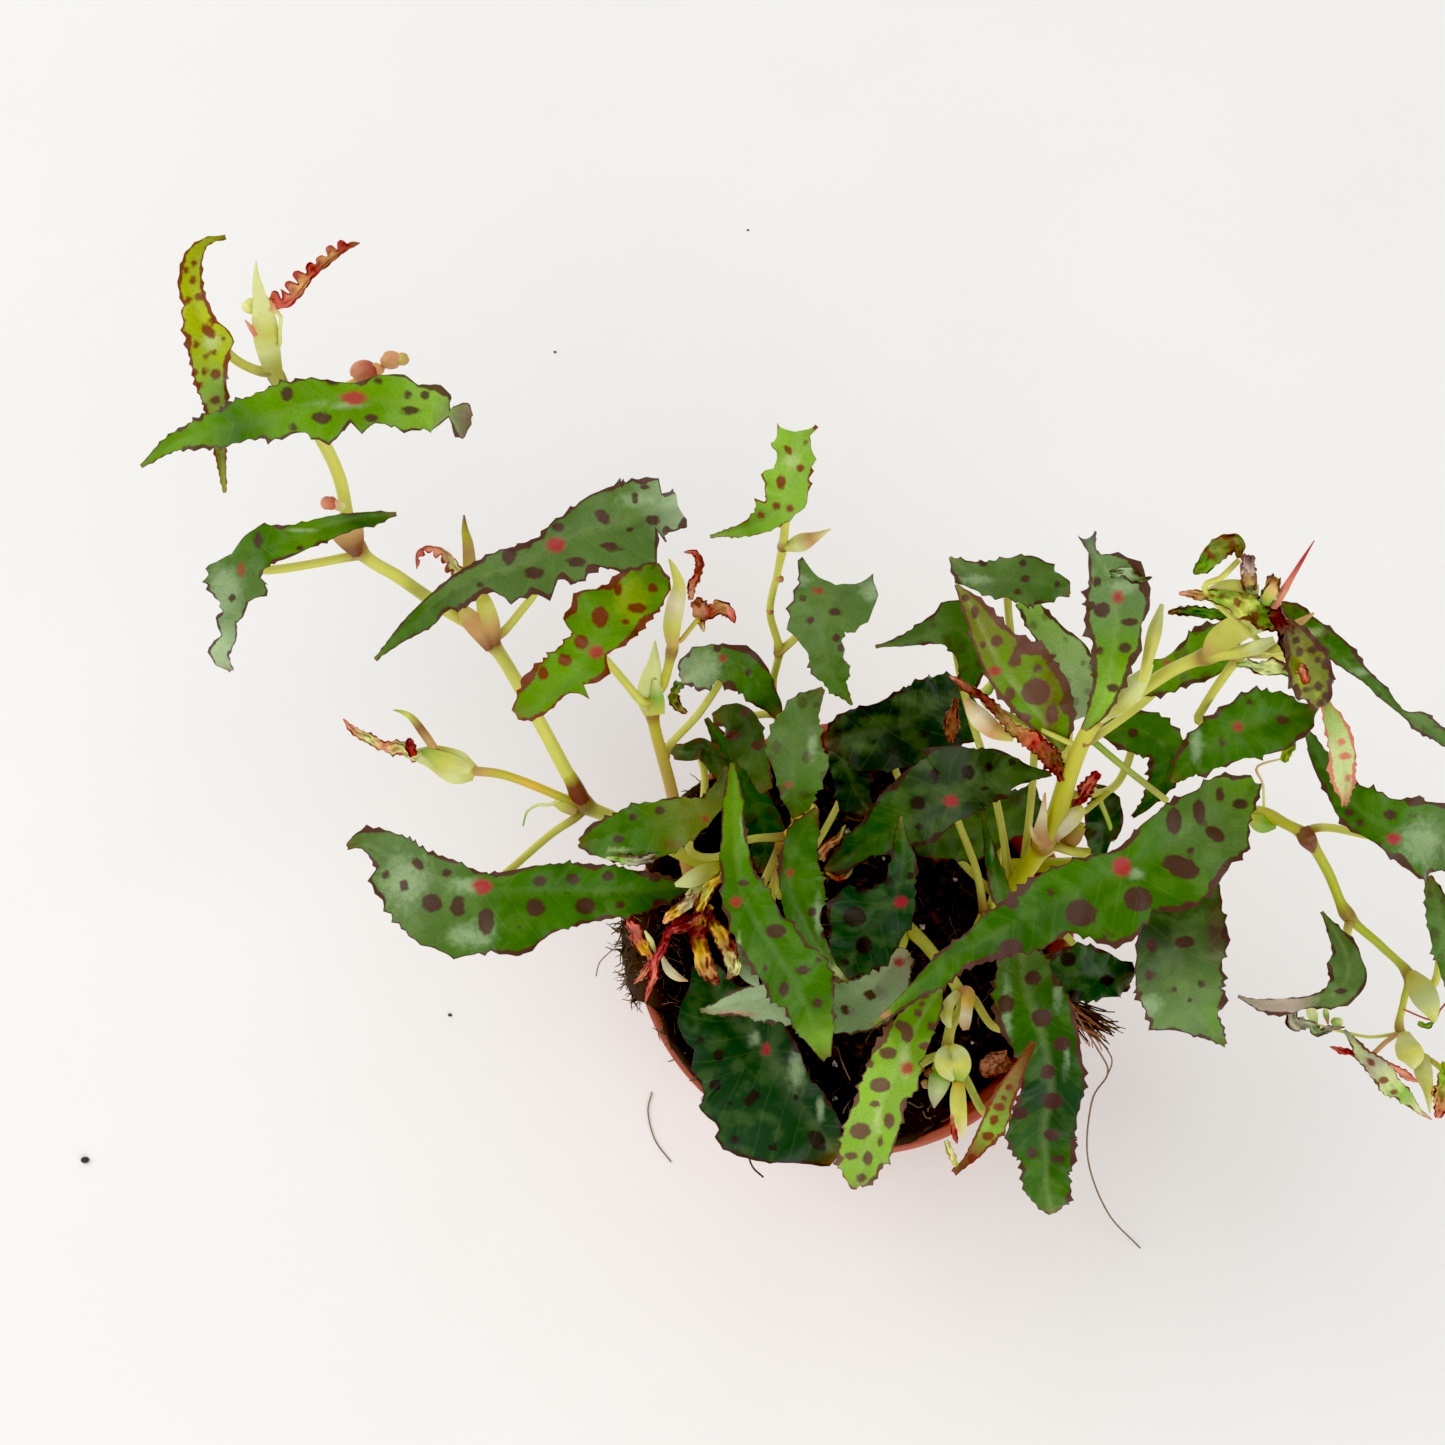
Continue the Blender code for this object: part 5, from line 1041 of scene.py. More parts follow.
# %% [markdown]
# ## Spots and colours
# A leaf with spots in the table gets those, and one that is mostly hidden gets seeded ones. Noise in
# the finish could give spots too, but not in rows beside the midrib, as the real ones are. Tips and
# margins are tinted on the same points.

# %% Spots and colours
SPOT_GROWTH = 1.08
SEEDED_ROWS = ((0.5, 0.5, 1.2), (0.93, 0.4, 0.9))
SEEDED_FAINT = 0.5
RIM_WIDTH, RIM_PITCH = 0.42, 2.4
SHADE_PITCH, SHADE_SWING = 9, 0.12
TIP_REACH, TIP_BROWN = 1.3, 0.75
POINTED = 5
RIDGE_WIDTH, RIDGE_PALE = 0.5, 0.05


def seeded_spots(random, s, reach, halves):
    """Signed distance to spots in two rows on each side of the midrib."""
    field = np.full(reach.shape, FAR)
    for side in (-1, 1):
        for share, low, high in SEEDED_ROWS:
            place = s.min() + random.uniform(3, 6)
            while place < s.max() - 4:
                half = np.interp(place, s, halves[:, int(side > 0)])
                radius = min(random.uniform(low, high), 0.3 * half)
                centre = side * half * share * random.uniform(0.85, 1.1)
                away = np.hypot((s[:, None] - place) / 1.25, reach - centre)
                field = np.maximum(field, radius - away)
                place += random.uniform(4.5, 8.5)
    return field


def painted(name, spine, random, along, reach, places):
    """The tone at each point, and the colour and weight of its washes, mostly painted highlights."""
    shade = 1 + SHADE_SWING * wander(random, along, SHADE_PITCH)[:, None] * np.sign(COLUMNS)
    tone = along_colours(TONES[name], along / along[-1])[:, None] * shade[..., None]
    for end, away in ((0, along), (-1, along[-1] - along)):
        if spine[end][3] <= POINTED:
            tone = towards(tone, "brown", TIP_BROWN * np.exp(-away / TIP_REACH)[:, None, None])
    sheen = np.zeros(reach.shape)
    gleam = tone.copy()
    # Each wash paints a soft patch, most of them a painted highlight on the gloss.
    for wash, *shape in HIGHLIGHTS_AND_TINTS.get(name, []):
        strength = np.exp(-1.1 * ellipse_distance(places, *shape) ** 2)
        gleam[strength > sheen] = rgb(wash)
        sheen = np.maximum(sheen, strength)
    ridge = RIDGES.get(name, RIDGE_PALE) * np.exp(-((reach / RIDGE_WIDTH) ** 2))
    return towards(tone, "pale", ridge[..., None]), gleam, sheen


# %% [markdown]
# ## One whole leaf
# The steps above come together for one leaf at a time. Copies of a single leaf would be quicker to
# make, but no two leaves of this plant are alike, so each is built from its own rows.

# %% Building a leaf
STEP_PITCH, STEP_SWING = 3.7, 1.3


def build_leaf(name, record, number):
    """One leaf, as a thin closed sheet in place of its plain blade."""
    random = np.random.default_rng(100 + number)
    spine = record["spine"]
    length = arc_length(smooth_path([sight(*row[:3]) for row in spine], 200))[-1]
    count = len(TOOTH_SHAPE) * max(8, round(length / TOOTH_PITCH)) + 1
    shares = np.linspace(0, 1, count)
    uneven = wander(random, shares * length, STEP_PITCH) * np.sin(math.pi * shares)
    shares = shares + STEP_SWING / count * uneven
    middle, across, out, halves = blade_frame(spine, count, record["tilt"], shares)
    halves = follow_outline(name, middle, across, halves)
    along = arc_length(middle)
    seat_row = nearest(middle, sight(*spine[record["seat"]][:3]))
    s = along - along[seat_row]
    v = COLUMNS[None, :]
    half = by_side(v, halves)
    reach, sweep = toothed_margin(name, random, along, s, halves, seat_row)
    rise, rib = relief(record, random, along, s, half, reach)
    upper = (middle[:, None] + across[:, None] * (reach * math.cos(CUP))[..., None]
             + np.cross(out, across)[:, None] * sweep[..., None] + out[:, None] * rise[..., None])
    lower = upper - out[:, None] * blade_thickness(v, reach)[..., None]
    places, scale = in_picture(upper), pixel_size(middle)[:, None]
    by_hand = name in SPOTS
    spots = (marks_field(places, SPOTS[name], scale, SPOT_GROWTH) if by_hand
             else seeded_spots(random, s, reach, halves))
    blotches = 0.9 + 1.7 * np.maximum(wanders(random, along, RIM_PITCH, 2), -0.2)
    width = by_side(v, RIMS.get(name, RIM_WIDTH) * blotches)
    edge = (1 - abs(v)) * half - np.minimum(width, 0.35 * half)
    tone, gleam, sheen = painted(name, spine, random, along, reach, places)
    seat = marks_field(places, [SEATS[name]] if name in SEATS else [], scale)
    form = Form()
    add_sheet(form, upper, lower, tone=tone, gleam=gleam, sheen=sheen, spot=spots, edge=edge,
              rib=rib + 40, seat=seat, under=np.repeat((0.0, 1.0), reach.size),
              faint=1.0 if by_hand else SEEDED_FAINT, ink=rgb(INKS.get(name, "maroon")))
    form.make("fine_leaf_" + name, leaf_skin, "leaf_skin", ["leaf_" + name])
    return 2 * reach.size


points_made = [build_leaf(name, record, number) for number, (name, record) in enumerate(LEAVES.items())]
print("leaves built, with", sum(points_made), "points")

# %% [markdown]
# ## The stems' finish
# Begonia stems are juicy and a little see-through. A yellow-green skin with fine darker streaks and
# a soft gloss gives that look. Their colour changes along the stem, so each point carries it.

# %% Stem finish
stem_finish = Finish("stem_skin", Specular_IOR_Level=0.45)
streaks = stem_finish.noise(0.7, 3)
patches = stem_finish.noise(3.5)
skin_tone = stem_finish.colour("tone")
greened = stem_finish.mix(0.1 * patches.step(0.4, 0.7), skin_tone, srgb(160, 172, 40))
stem_colour = stem_finish.mix(0.2 * streaks.step(0.55, 0.8), greened, srgb(150, 104, 46))
stem_skin = stem_finish.done(stem_colour, 0.36 + 0.12 * patches, streaks, 0.08)

# %% [markdown]
# ## The stems' shapes
# A stem is a tube whose radius swells at each joint. The rows are those of the plain stems: a point
# of the picture, its height and the radius. A row that is thicker than both neighbours is a joint,
# which gets a short swelling and a brown ring.

# %% Stem shapes
STEMS = {
    "a": [(742, 882, 75, 1.7), (668, 846, 97, 1.5), (612, 818, 104, 1.4), (583, 803, 109, 1.9),
         (568, 775, 114, 1.3), (530, 705, 127, 1.2), (489, 640, 140, 1.7), (440, 606, 148, 1.15),
         (400, 578, 156, 1.1), (357, 547, 165, 1.6), (340, 480, 177, 1.05), (322, 440, 184, 1.05),
         (300, 405, 188, 1.1), (276, 376, 193, 1.4), (268, 340, 204, 1.0)],
    "b": [(700, 905, 75, 1.3), (690, 880, 82, 1.25), (672, 793, 103, 1.2), (652, 712, 121, 1.4),
         (664, 682, 129, 0.9), (672, 650, 137, 1.15), (679, 610, 144, 0.7)],
    "c": [(800, 870, 75, 1.1), (792, 790, 86, 0.85), (778, 720, 101, 0.75), (773, 684, 111, 0.72),
         (779, 650, 124, 1.0), (770, 612, 135, 0.68), (777, 575, 146, 0.64), (783, 547, 156, 0.85)],
    "d": [(1003, 911, 75, 1.91), (1014, 889, 92, 1.78), (1044, 843, 113, 2.26), (1058, 815, 122, 1.61),
         (1070, 774, 133, 1.48), (1086, 735, 143, 1.39), (1104, 712, 149, 1.7), (1140, 690, 156, 1.22),
         (1174, 669, 163, 1.13), (1207, 656, 169, 1.52), (1238, 652, 175, 1.04), (1264, 645, 180, 1.13)],
    "e": [(1005, 866, 75, 1.5), (1110, 860, 93, 1.4), (1200, 822, 105, 1.2), (1255, 812, 111, 1.25),
         (1286, 824, 114, 1.0), (1307, 838, 113, 1.6), (1328, 872, 108, 0.95), (1347, 914, 104, 1.4),
         (1380, 945, 100, 0.8), (1408, 974, 97, 1.15), (1404, 1000, 96, 0.65), (1400, 1031, 94, 0.95),
         (1422, 1056, 92, 0.6)],
    "f": [(905, 925, 75, 1.5), (930, 950, 88, 1.2), (962, 998, 101, 1.6), (951, 1026, 105, 1.0),
         (948, 1053, 108, 1.4), (957, 1082, 111, 0.9)],
    "g": [(768, 905, 75, 1.4), (775, 880, 84, 0.8), (778, 858, 91, 0.8), (782, 842, 96, 1.3),
         (795, 826, 100, 0.8), (815, 806, 103, 0.7)],
    "h": [(972, 942, 75, 1.1), (984, 912, 84, 0.9)],
}

# The small parts of each stem: kind, rows of a point, its height and half-width in the picture, and
# colours from base to tip, with the margin's ink last for a young leaf.
BITS = {}
BITS["a"] = [
    ("twig", [(568, 774, 114.3, 7), (574, 785, 112.4, 8), (579, 796, 110.6, 9.2), (583, 803, 109, 9.4)],
     "stalk rust wine rust"),
    ("twig", [(578, 804, 110, 5), (530, 784, 113, 4.5), (500, 774, 115, 4.5), (474, 771, 115, 5)],
     "rust stalk yolk stalk tan"),
    ("sheath", [(475, 773, 115, 8), (458, 768, 117, 17), (436, 758, 119, 13), (418, 755, 120, 7),
     (400, 752, 120, 2)], "straw cream straw cream cream"),
    ("sheath", [(470, 770, 118, 4), (452, 764, 120, 9), (432, 755, 121, 6), (420, 750, 121, 1)],
     "cream straw fresh"),
    ("young", [(418, 756, 121, 7), (398, 749, 121, 8), (380, 745, 122, 7), (366, 737, 122, 7),
     (353, 731, 123, 5), (343, 719, 123, 1)], "cream cream blush cream blush pink red"),
    ("young", [(414, 756, 122, 5), (410, 746, 123, 6), (409, 738, 123, 2)], "red wine wine"),
    ("sheath", [(438, 754, 120, 4), (425, 735, 123, 4.5), (412, 718, 125, 3.5), (402, 712, 125, 2),
     (393, 710, 125, 0.5)], "tan tan brown straw fresh"),
    ("sheath", [(576, 812, 110, 5), (563, 806, 111, 6), (552, 803, 111, 1)], "tan straw straw"),
    ("twig", [(552, 804, 111, 1.8), (538, 805, 111, 1.8), (527, 812, 110, 1.5), (523, 826, 108, 0.8)],
     "straw cream fresh"),
    ("sheath", [(490, 650, 142, 4), (477, 628, 146, 10), (466, 614, 149, 8), (456, 604, 150, 1)],
     "brown tan tan straw"),
    ("sheath", [(496, 646, 142, 5), (490, 624, 146, 10), (484, 602, 149, 8), (480, 590, 149, 4)],
     "brown tan straw stalk"),
    ("sheath", [(470, 570, 150, 7), (468, 545, 154, 5.5), (465, 530, 156, 3.5), (464, 515, 157, 0.8)],
     "stalk tan stalk rust"),
    ("comb", [(466, 580, 148, 6), (452, 562, 152, 6), (440, 551, 154, 4), (426, 548, 154, 3),
     (418, 555, 154, 2.5), (417, 569, 153, 0.8)], "blush cream blush pink pink red"),
    ("sheath", [(358, 556, 166, 5), (352, 542, 170, 13), (346, 528, 172, 17), (342, 516, 172, 12)],
     "rust brown tan tan"),
    ("bud", [(329, 503, 181, 8)], "blush red"),
    ("sheath", [(344, 508, 178, 4), (337, 505, 181, 5), (330, 500, 182, 1)], "cream blush"),
    ("sheath", [(279, 384, 194, 6), (272, 365, 199, 10), (267, 342, 205, 12.5), (264, 320, 210, 12),
     (261, 304, 213, 8), (258, 288, 216, 5.5), (256, 273, 218, 2.5), (256, 261, 219, 0.6)],
     "straw straw cream straw cream cream cream"),
    ("bud", [(251, 306, 211, 8.5)], "cream straw"),
    ("sheath", [(256, 336, 209, 2.5), (251, 328, 210, 2.5), (245, 320, 210, 0.6)], "pink blush"),
    ("sheath", [(263, 298, 212, 4), (271, 306, 212, 5), (281, 316, 211, 1)], "cream blush cream"),
    ("comb", [(270, 303, 212, 7), (287, 302, 212, 7), (299, 290, 213, 7), (308, 279, 214, 6),
     (320, 267, 214, 6), (334, 256, 214, 5), (348, 247, 213, 4), (360, 243, 212, 0.8)],
     "red pink tan red tan red rust red"),
    ("twig", [(279, 345, 204, 2), (280, 330, 208, 2), (281, 316, 211, 2)], "straw cream"),
    ("twig", [(300, 405, 188, 3), (340, 388, 190, 3), (368, 374, 193, 3), (384, 366, 194, 3)],
     "straw straw pink"),
    ("bud", [(364, 372, 194, 13)], "blush red"),
    ("bud", [(377, 369, 194, 7)], "yolk blush"),
    ("bud", [(391, 360, 195, 10)], "tan blush"),
    ("bud", [(402, 359, 195, 7)], "straw tan"),
    ("twig", [(714, 882, 80, 5), (708, 884, 98, 5), (708, 882, 113, 5)], "straw straw"),
    ("sheath", [(716, 868, 114, 6), (704, 873, 116, 9), (690, 880, 117, 8), (675, 885, 117, 2)],
     "stalk straw cream cream"),
    ("sheath", [(714, 880, 113, 5), (700, 888, 115, 8), (686, 896, 115, 2)], "straw cream"),
    ("young", [(741, 861, 117, 3), (727, 871, 118, 5), (714, 882, 118, 7), (705, 896, 118, 7),
     (700, 912, 117, 7), (704, 926, 116, 8)], "brown olive yolk straw yolk wine wine", "a_fan"),
    ("young", [(705, 916, 117, 6), (700, 934, 117, 11), (702, 952, 116, 12), (708, 969, 115, 11),
     (718, 984, 113, 4)], "yolk wine yolk tan rust wine", "a_fan"),
    ("young", [(708, 918, 116, 6), (721, 936, 117, 10), (730, 953, 116, 12), (733, 968, 115, 9),
     (728, 979, 113, 3)], "wine yolk tan cream rust wine", "a_fan"),
    ("young", [(712, 906, 116, 4), (700, 918, 117, 8), (687, 926, 117, 8), (674, 931, 116, 5)],
     "yolk rose wine rose wine", "a_fan"),
    ("young", [(697, 893, 115, 6), (684, 905, 116, 8), (672, 915, 116, 7), (663, 923, 115, 2)],
     "tan paper yolk blush rust", "a_fan"),
    ("young", [(690, 914, 114, 5), (676, 925, 114, 6), (667, 935, 114, 6), (660, 952, 113, 5),
     (655, 968, 112, 6), (650, 986, 110, 4), (645, 1003, 107, 1)], "wine rose wine rose pink rose pink red"),
    ("young", [(628, 915, 112, 6), (635, 930, 113, 8), (643, 946, 113, 8), (653, 960, 112, 6)],
     "rose pink rose yolk rose wine"),
    ("young", [(654, 960, 112, 4), (645, 972, 111, 5), (634, 984, 109, 1)], "rose blush pink red"),
    ("sheath", [(662, 956, 108, 1.5), (668, 969, 108, 4.5), (677, 977, 107, 4), (688, 981, 106, 0.8)],
     "paper paper tan"),
    ("sheath", [(645, 931, 114, 1), (651, 942, 113, 3), (656, 954, 112, 1)], "cream cream"),
    ("sheath", [(720, 940, 108, 5), (736, 956, 108, 9), (750, 975, 106, 8), (758, 986, 104, 2)],
     "silver grey silver"),
]
BITS["b"] = [
    ("sheath", [(654, 714, 123, 10), (650, 698, 127, 13), (651, 680, 130, 11), (654, 662, 133, 6),
     (655, 641, 136, 0.8)], "straw cream cream cream"),
    ("sheath", [(657, 714, 125, 8), (657, 698, 128, 7), (655, 680, 131, 2)], "straw fresh cream"),
    ("sheath", [(673, 650, 138, 5), (672, 627, 142, 9), (676, 603, 146, 9), (679, 585, 150, 6),
     (673, 567, 153, 3), (669, 559, 154, 0.6)], "tan straw paper straw straw"),
    ("twig", [(680, 641, 139, 2.5), (690, 629, 141, 2.5), (698, 619, 143, 2.5)], "tan stalk"),
    ("young", [(692, 600, 144, 4), (690, 586, 147, 6), (697, 576, 149, 6), (701, 563, 150, 6),
     (694, 553, 150, 4), (684, 552, 150, 1)], "blush blush red red pink wine"),
    ("young", [(694, 600, 143, 6), (702, 609, 143, 11), (713, 611, 144, 8), (722, 608, 144, 10),
     (731, 614, 143, 6), (735, 623, 142, 1)], "red blush red tan pink red wine"),
    ("young", [(700, 612, 142, 5), (703, 624, 141, 4), (704, 632, 140, 1)], "pink tan cream red"),
    ("young", [(680, 682, 112, 7), (673, 695, 110, 7), (677, 706, 108, 6), (687, 713, 107, 2)],
     "sage olive olive tan rust"),
]
BITS["c"] = [
    ("sheath", [(785, 548, 158, 4), (800, 543, 162, 9), (815, 537, 165, 5), (831, 529, 166, 0.6)],
     "straw cream tan cream"),
    ("bud", [(780, 579, 146, 4)], "tan brown"),
    ("bud", [(770, 611, 136, 4)], "tan brown"),
]
BITS["d"] = [
    ("sheath", [(1048, 846, 116, 9), (1041, 832, 120, 7), (1043, 814, 124, 4), (1045, 793, 127, 0.8)],
     "chip tan paper tan"),
    ("sheath", [(1046, 842, 117, 5), (1036, 838, 119, 4), (1031, 826, 120, 1)], "tan tan paper"),
    ("sheath", [(1054, 840, 117, 4), (1062, 829, 121, 8), (1073, 817, 124, 9), (1084, 808, 125, 4)],
     "chip paper paper straw"),
    ("sheath", [(1060, 846, 112, 4), (1072, 838, 115, 9), (1081, 822, 118, 4)], "tan tan stalk"),
    ("twig", [(1080, 813, 123, 3.5), (1094, 804, 121, 3), (1108, 792, 119, 3)], "straw stalk"),
    ("twig", [(1056, 846, 113, 5), (1072, 851, 113, 5), (1090, 853, 113, 5)], "stalk stalk"),
    ("twig", [(1092, 790, 117, 3), (1102, 806, 116, 3), (1110, 826, 112, 2.5), (1113, 840, 109, 2.5)],
     "bright straw fresh"),
    ("twig", [(1088, 738, 140, 3.5), (1120, 764, 133, 3.5), (1166, 800, 122, 3.5)], "bright straw"),
    ("young", [(1072, 810, 121, 4), (1080, 796, 125, 9), (1089, 784, 128, 9), (1098, 772, 130, 5)],
     "blush red pink red wine"),
    ("sheath", [(1100, 722, 150, 3), (1112, 708, 154, 10), (1126, 694, 158, 13), (1140, 680, 161, 9),
     (1152, 664, 163, 2)], "cream straw cream cream"),
    ("sheath", [(1142, 682, 163, 4), (1149, 655, 167, 6), (1155, 630, 169, 7), (1162, 604, 169, 2)],
     "straw straw cream"),
    ("sheath", [(1208, 658, 170, 7), (1218, 642, 175, 13), (1235, 630, 180, 14), (1254, 626, 183, 9),
     (1270, 628, 184, 2)], "tan straw straw cream"),
    ("sheath", [(1240, 654, 178, 3), (1256, 648, 181, 7), (1274, 640, 183, 4)], "straw cream cream"),
    ("young", [(1110, 574, 177, 5), (1124, 571, 179, 8), (1139, 580, 178, 5), (1152, 577, 177, 1)],
     "grey silver grey plum maroon"),
    ("twig", [(1206, 592, 189, 3), (1222, 577, 192, 3), (1239, 560, 193, 3)], "straw straw"),
    ("young", [(1240, 558, 193, 3), (1238, 544, 195, 9), (1226, 545, 195, 14), (1211, 556, 194, 13),
     (1201, 566, 193, 10), (1194, 574, 191, 2)], "brown olive olive bright olive rust", "d_tip"),
    ("sheath", [(1206, 592, 188, 3), (1224, 588, 190, 8), (1242, 590, 190, 10), (1258, 592, 189, 8)],
     "cream straw cream"),
    ("young", [(1250, 590, 190, 8), (1248, 575, 194, 9), (1249, 563, 197, 9), (1250, 555, 197, 6)],
     "sage tan fold plum rust"),
    ("young", [(1266, 604, 190, 7), (1270, 590, 193, 10), (1275, 576, 196, 8)],
     "sage mist tan brown maroon"),
    ("sheath", [(1264, 604, 190, 5), (1271, 592, 194, 6), (1277, 580, 195, 2)], "fresh straw blush"),
    ("sheath", [(1273, 608, 190, 4), (1283, 592, 194, 4), (1290, 580, 197, 3), (1301, 562, 200, 2),
     (1314, 541, 203, 0.5)], "pink blush pink red red"),
    ("young", [(1230, 618, 178, 3), (1212, 614, 179, 7), (1190, 612, 178, 8), (1168, 612, 176, 3)],
     "leaf bright leaf rust maroon"),
    ("young", [(1277, 622, 186, 14), (1262, 614, 188, 17), (1244, 606, 190, 15), (1222, 599, 190, 9),
     (1200, 594, 188, 7), (1179, 593, 185, 2)], "lime fresh straw fresh tan blush rust", "d_head"),
    ("young", [(1270, 606, 187, 5), (1279, 618, 190, 9), (1284, 634, 189, 9), (1286, 658, 185, 3)],
     "maroon wine maroon wine maroon"),
    ("sheath", [(1288, 627, 183, 3), (1300, 622, 184, 4), (1314, 613, 185, 1)], "straw tan tan"),
    ("young", [(1236, 664, 180, 3), (1254, 666, 182, 7), (1274, 667, 184, 9), (1292, 676, 185, 5)],
     "fresh pale cream fresh rust"),
    ("young", [(1297, 668, 186, 5), (1303, 672, 190, 7), (1307, 684, 190, 4)], "pink blush red wine"),
    ("young", [(1066, 776, 133, 11), (1048, 756, 137, 13), (1030, 740, 140, 11), (1012, 727, 141, 9),
     (998, 711, 142, 7), (982, 696, 143, 6), (965, 686, 143, 5), (950, 676, 142, 1)],
     "wine rust red tan wine rust pink wine"),
    ("sheath", [(1014, 738, 138, 4), (994, 730, 138, 9), (978, 716, 139, 10), (966, 699, 140, 3)],
     "straw tan paper tan"),
    ("young", [(952, 742, 130, 5), (950, 722, 133, 9), (957, 698, 136, 3)], "rust brown rust wine"),
    ("twig", [(988, 704, 139, 3), (991, 690, 141, 3), (995, 677, 143, 3)], "straw fresh"),
]
BITS["e"] = [
    ("sheath", [(1249, 818, 114, 4), (1262, 824, 113, 9), (1276, 825, 112, 4)], "stalk fresh fresh"),
    ("sheath", [(1302, 828, 115, 7), (1308, 840, 115, 9), (1314, 852, 112, 3)], "brown rust brown"),
    ("twig", [(1264, 812, 112, 1.5), (1263, 785, 118, 1.3), (1257, 767, 121, 1.3), (1284, 758, 121, 1)],
     "straw cream tan cream"),
    ("young", [(1283, 762, 121, 3), (1288, 754, 122, 7), (1295, 745, 122, 2)], "fresh lime fresh lime"),
    ("sheath", [(1410, 972, 99, 5), (1420, 988, 103, 13), (1429, 1005, 105, 11), (1435, 1022, 104, 2)],
     "stalk straw pale straw"),
    ("young", [(1418, 1023, 102, 3), (1428, 1025, 102, 4), (1437, 1018, 102, 1)], "fresh fresh sage rust"),
    ("twig", [(1432, 1020, 103, 1), (1440, 1010, 104, 1), (1446, 1003, 104, 1)], "pink red"),
    ("twig", [(1400, 1033, 94, 2), (1370, 1037, 97, 1.6), (1340, 1031, 98, 1.6), (1314, 1024, 98, 1.4)],
     "straw straw"),
    ("sheath", [(1316, 1024, 98, 2), (1312, 1014, 99, 5.5), (1308, 1004, 100, 1)], "fresh cream cream"),
    ("sheath", [(1328, 1024, 98, 1), (1326, 1014, 99, 3), (1325, 1007, 100, 0.6)], "pink fresh cream"),
    ("bud", [(1337, 1022, 99, 5.5)], "fresh cream"),
    ("young", [(1290, 1010, 109.5, 6), (1294, 1023, 108.5, 9), (1308, 1024, 107, 6), (1318, 1033, 104.5, 5),
     (1330, 1029, 102, 4), (1345, 1027, 99.5, 1)], "mist mist sage mist brown maroon"),
    ("young", [(1344, 1030, 99, 1.5), (1358, 1047, 101, 7), (1374, 1066, 102, 13), (1391, 1083, 102, 14),
     (1405, 1097, 100, 10), (1417, 1109, 99, 4), (1432, 1120, 97, 0.8)],
     "mist pale mist pale fresh pale pink rust", "e_low"),
    ("young", [(1362, 1059, 100, 4), (1350, 1053, 100, 5), (1340, 1050, 100, 4), (1330, 1047, 100, 1)],
     "pink red pink red"),
    ("young", [(1388, 1063, 103, 2), (1402, 1073, 103, 5), (1418, 1082, 102, 1.5)], "pink blush pink red"),
    ("twig", [(1399, 1033, 94, 2.5), (1386, 1042, 97, 2.5), (1373, 1054, 99, 2.5)], "tan tan"),
    ("sheath", [(1404, 1032, 96, 5), (1407, 1046, 99, 12), (1412, 1058, 99, 12), (1413, 1069, 98, 2)],
     "straw cream straw cream"),
    ("sheath", [(1424, 1054, 94, 5), (1423, 1070, 97, 9), (1428, 1090, 98, 5), (1430, 1113, 98, 0.6)],
     "stalk cream straw cream"),
    ("twig", [(1420, 1054, 92, 3), (1436, 1064, 95, 3), (1448, 1076, 96, 3)], "stalk straw"),
    ("young", [(1446, 1062, 97, 4), (1444, 1080, 98, 9), (1440, 1100, 98, 10), (1438, 1118, 96, 4)],
     "lime fresh tan pink red"),
]
BITS["f"] = [
    ("sheath", [(958, 992, 104, 4), (949, 1004, 107, 6), (946, 1016, 108, 6), (950, 1028, 108, 2)],
     "straw cream straw cream"),
    ("sheath", [(962, 988, 104, 4), (968, 994, 107, 7), (967, 1008, 108, 6), (965, 1022, 108, 6),
     (966, 1030, 108, 3)], "chip tan yolk paper tan"),
    ("sheath", [(950, 1047, 111, 5), (944, 1057, 114, 9), (946, 1069, 115, 9), (954, 1080, 114, 3)],
     "straw pale straw pale"),
    ("sheath", [(950, 1047, 112, 5), (959, 1055, 114.5, 9), (962, 1067, 115.5, 9), (960, 1081, 114.5, 4)],
     "stalk pale straw fresh"),
    ("sheath", [(942, 1062, 111, 8), (940, 1078, 113, 11), (936, 1094, 113, 8), (934, 1108, 112, 0.8)],
     "straw fresh pale mist"),
    ("bud", [(929, 1073, 112, 5)], "rust brown"),
    ("bud", [(926, 1084, 112, 5)], "tan brown"),
    ("twig", [(944, 1053, 109, 4), (933, 1058, 109, 3.5), (920, 1066, 108, 3)], "straw straw"),
    ("sheath", [(959, 1079, 113, 5), (958, 1095, 115, 8), (959, 1114, 116, 8), (962, 1130, 115, 5),
     (964, 1139, 114, 0.8)], "yolk straw straw paper"),
    ("young", [(951, 1114, 117, 1), (953, 1126, 118, 4), (955, 1136, 117, 4), (957, 1144, 115, 1)],
     "blush red chip red"),
    ("twig", [(966, 1076, 112, 2.5), (974, 1094, 112, 2.3), (984, 1112, 110, 2.3)], "straw fresh"),
    ("young", [(946, 1140, 110, 2), (951, 1152, 110, 5), (957, 1166, 108, 3)], "cream cream straw tan"),
]
BITS["g"] = [
    ("young", [(606, 858, 121, 2), (624, 860, 122, 7), (644, 861, 122, 8), (662, 855, 122, 4)],
     "pale fresh mist mist plum plum"),
    ("young", [(821, 860, 100, 4), (827, 846, 103, 7), (838, 838, 104, 5), (846, 825, 105, 1)],
     "tan blush tan straw brown"),
    ("young", [(827, 871, 98, 3), (838, 879, 99, 5), (852, 868, 99, 4)], "yolk red cream rust"),
]
BITS["h"] = []

# %% [markdown]
# ## Building the stems
# The stalks leave the stem at a joint and end under the leaf's seat, inside the blade. Young leaves,
# papery sheaths and buds sit at the joints. They are gathered by what they are made of, one piece
# for the stem with its stalks, one for its sheaths and one for its young leaves.

